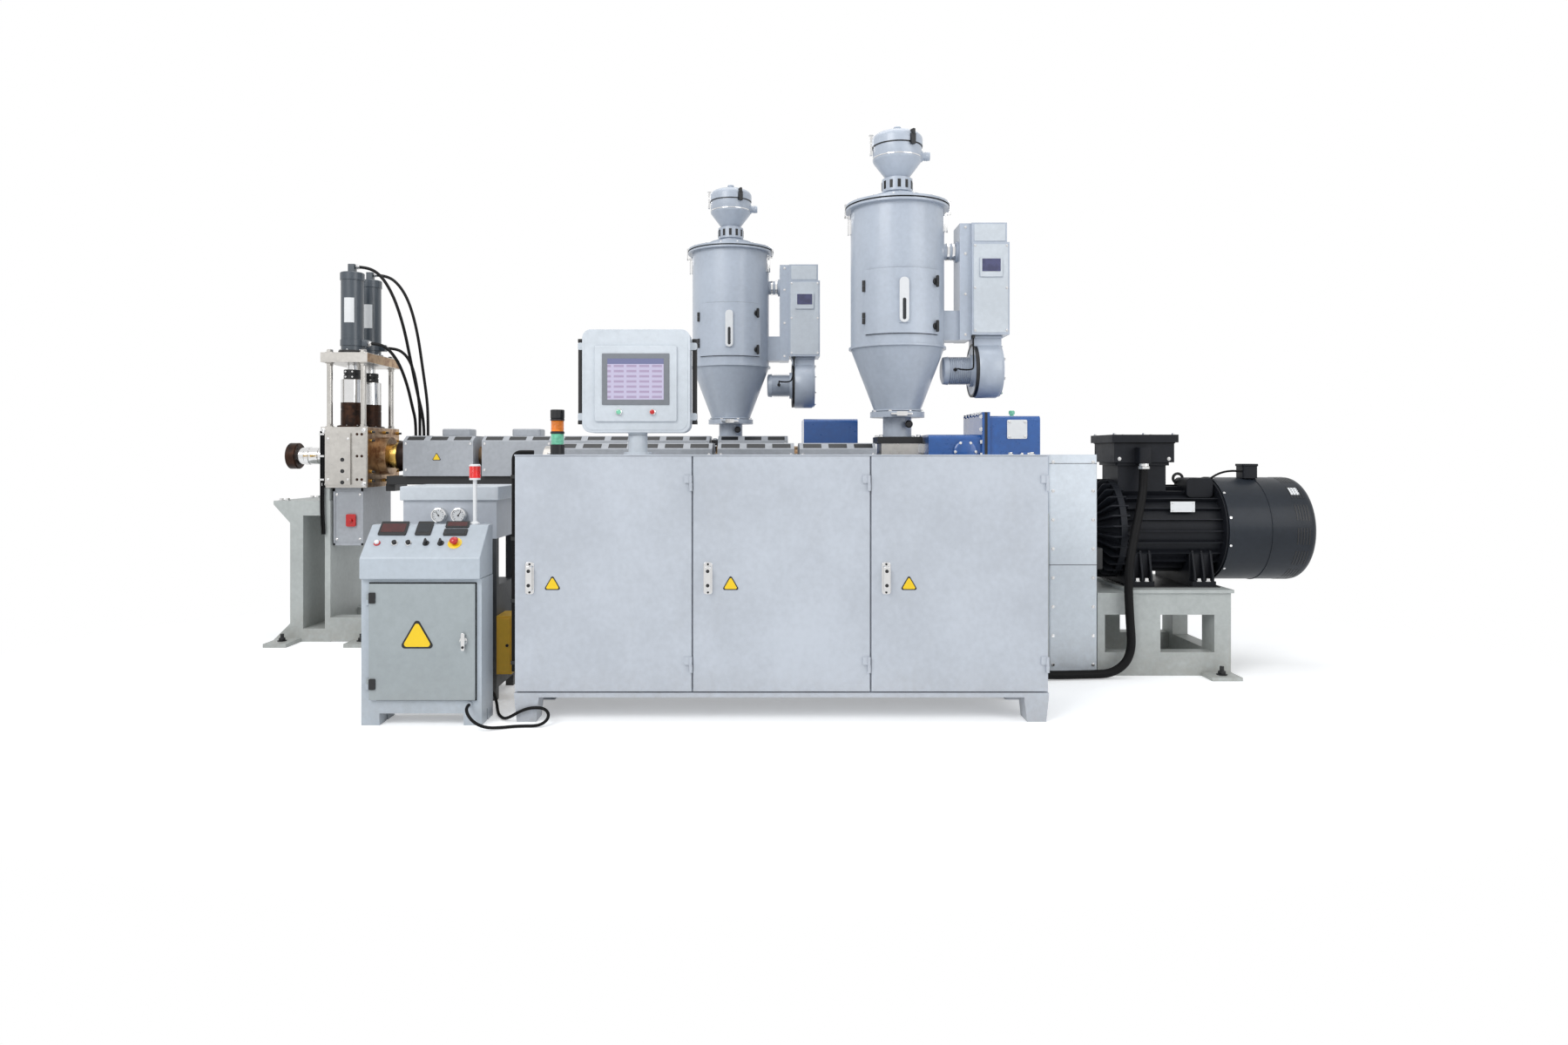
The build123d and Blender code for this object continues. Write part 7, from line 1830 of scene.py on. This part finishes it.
    def heating(self, shop: Workshop) -> None:
        """Fit the block's heater cartridges, probe holes, clipped wiring loom and corner bolts, and the barrel's heater
        end and band.
        """
        front, side = self.front, self.right
        seats = [(y, z) for z in (1030, 1090, 1290, 1345) for y in (1875, 2100, 2325)]
        heads = [rod((side, y, z), side + 14, 11, X, 24) for y, z in seats]
        collars = [rod((side + 13, y, z), side + 30, 7, X, 20) for y, z in seats]
        shop.make("heater_cartridges", heads, "brass")
        shop.make("heater_caps", collars, "black plastic")
        bolts = bolt_rows((self.left + 18, side - 22), (front,), (self.bottom + 22, self.top - 22), 14, Y, -1)
        bolts += bolt_rows((-2800, -2672), (front - 15,), (1040, 1300), 7, Y, -1)
        shop.steel("screen_block_bolts", bolts)
        probes = [rod((-2708, front - 16.5, z), front - 14, 13, Y, 28) for z in (1022, 1094, 1167)]
        shop.make("probe_holes", probes, "black paint")
        bores = [rod((x, front - 1, z), front + 1, 9, Y, 24) for x in (-2620, -2590) for z in (1040, 1190, 1330)]
        shop.make("block_front_holes", bores, "heat-browned steel")
        loom = []
        for x, high in ((-2846, 1350), (-2832, 1324)):
            route = [(x, front - 9, z) for z in (high, 1200, 1010, 840)] + [(x + 8, front - 9, 690)]
            loom.append(pipe(bend(route, 40), 6.5))
        shop.make("heater_loom", loom, "black rubber")
        clips = [plate((-2839, front - 10, z), (34, 21, 12), 4, Z) for z in (1330, 1190, 1040)]
        shop.make("loom_clips", clips, "bright plated steel", bevel=0.6)
        housing = lathe([(0, 0), (0, 92), (20, 92), (20, 80), (96, 80), (96, 92), (112, 92), (112, 0)],
                        (side, 2100, 1191), X, 56)
        shop.make("barrel_heater_end", [housing], "brass")
        band = lathe([(0, 60), (0, 98), (6, 101), (70, 101), (76, 98), (76, 60)], (side + 114, 2100, 1191), X, 64,
                     loop=True)
        shop.make("barrel_heater_band", [band], "heat-browned steel")

    def guard(self, shop: Workshop) -> None:
        """Trim the drip guard under the block: folded rims, screws and a red valve plate."""
        left, right, low, high = -2785, -2600, 615, self.bottom - 1
        spans = ((left - 4, right + 4, high - 25, high), (left - 4, right + 4, low, low + 16),
                 (left - 4, left + 10, low, high), (right - 10, right + 4, low, high))
        shop.make("guard_rims", [block(x0, x1, 1866, 1872, z0, z1) for x0, x1, z0, z1 in spans], "cover grey paint",
                  bevel=1)
        shop.steel("guard_rim_screws", bolt_rows((left + 18, right - 18), (1870,), (low + 40, high - 45), 7, Y, -1))
        tag = [plate((-2672, 1862, 777), (62, 14, 80), 10, Y), rod((-2672, 1840, 777), 1860, 11, Y)]
        shop.make("guard_valve", tag, "red plastic", bevel=1.5)

    def build(self, shop: Workshop) -> None:
        """Dress the screen changer."""
        shop.dress("machined steel", "screen_block", "screen_frame")
        shop.dress("cover grey paint", "screen_guard")
        self.pistons(shop)
        self.cylinders(shop)
        self.frame(shop)
        self.heating(shop)
        self.guard(shop)


@dataclass
class DieAdaptor:
    """The die adaptor: dark end ring with its bolt holes, bright neck, bolted flange and thin probe leads."""

    y: float = 2100
    z: float = 1191
    left: float = -3184
    ring_right: float = -3113
    flange_left: float = -2891
    right: float = -2855

    def build(self, shop: Workshop) -> None:
        """Turn the ring, the neck with its grooves and the flange, and bolt them up."""
        wide = self.ring_right - self.left
        ring = lathe([(0, 30), (0, 46), (5, 46), (5, 80), (11, 86.5), (wide - 6, 86.5), (wide, 80), (wide, 30)],
                     (self.left, self.y, self.z), X, 72, loop=True)
        shop.make("adaptor_ring", [ring], "heat-browned steel", replaces=["die_adaptor"])
        start, end = self.ring_right - 1, self.flange_left + 1
        neck = lathe([(start, 30), (start, 56), (-3070, 56), (-3066, 60), (-3040, 60), (-3036, 56), (-2980, 56),
                      (-2976, 52), (-2930, 52), (-2926, 56), (end, 56), (end, 30)], (0, self.y, self.z), X, 64,
                     loop=True)
        shop.steel("adaptor_neck", [neck])
        thick = self.right - self.flange_left
        flange = lathe([(0, 30), (0, 118), (3, 120), (thick, 120), (thick, 30)], (self.flange_left, self.y, self.z),
                       X, 80, loop=True)
        shop.make("adaptor_flange", [flange], "machined steel")
        bolts = bolt_circle((self.flange_left, self.y, self.z), 92, 8, 14, X, -1, 22)
        shop.make("adaptor_bolts", bolts, "heat-browned steel")
        screws = bolt_circle((self.left + 6, self.y, self.z), 64, 8, 7, X, -1)
        shop.make("adaptor_ring_screws", screws, "black paint")
        probes = [rod((x, self.y - reach, self.z), self.y - 50, radius, Y, 20)
                  for x, reach, radius in ((-3000, 96, 7), (-3050, 88, 5))]
        shop.make("adaptor_probes", probes, "brass")


def main() -> None:
    """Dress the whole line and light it."""
    logging.basicConfig(level=logging.INFO)
    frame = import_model()
    shop = Workshop(Paintwork(), frame)
    main_dryer = HopperDryer("main", (755, 1240, 1263), 1.0)
    co_dryer = HopperDryer("co", (-239, 2100, 1260), 0.95)
    sections = (Cabinet(), OperatorPanel(), StackLight(), Console(), HydraulicUnit(), Frames(), Gearboxes(),
                MainMotor(), Barrels(), main_dryer, co_dryer, ScreenChanger(), DieAdaptor())
    for section in sections:
        section.build(shop)
    lay_cords(shop)
    for dryer in (main_dryer, co_dryer):
        dryer.lead(shop)
    Studio().build()
    LOG.info("%d pieces made", len(shop.made))


if __name__ == "__main__":
    main()
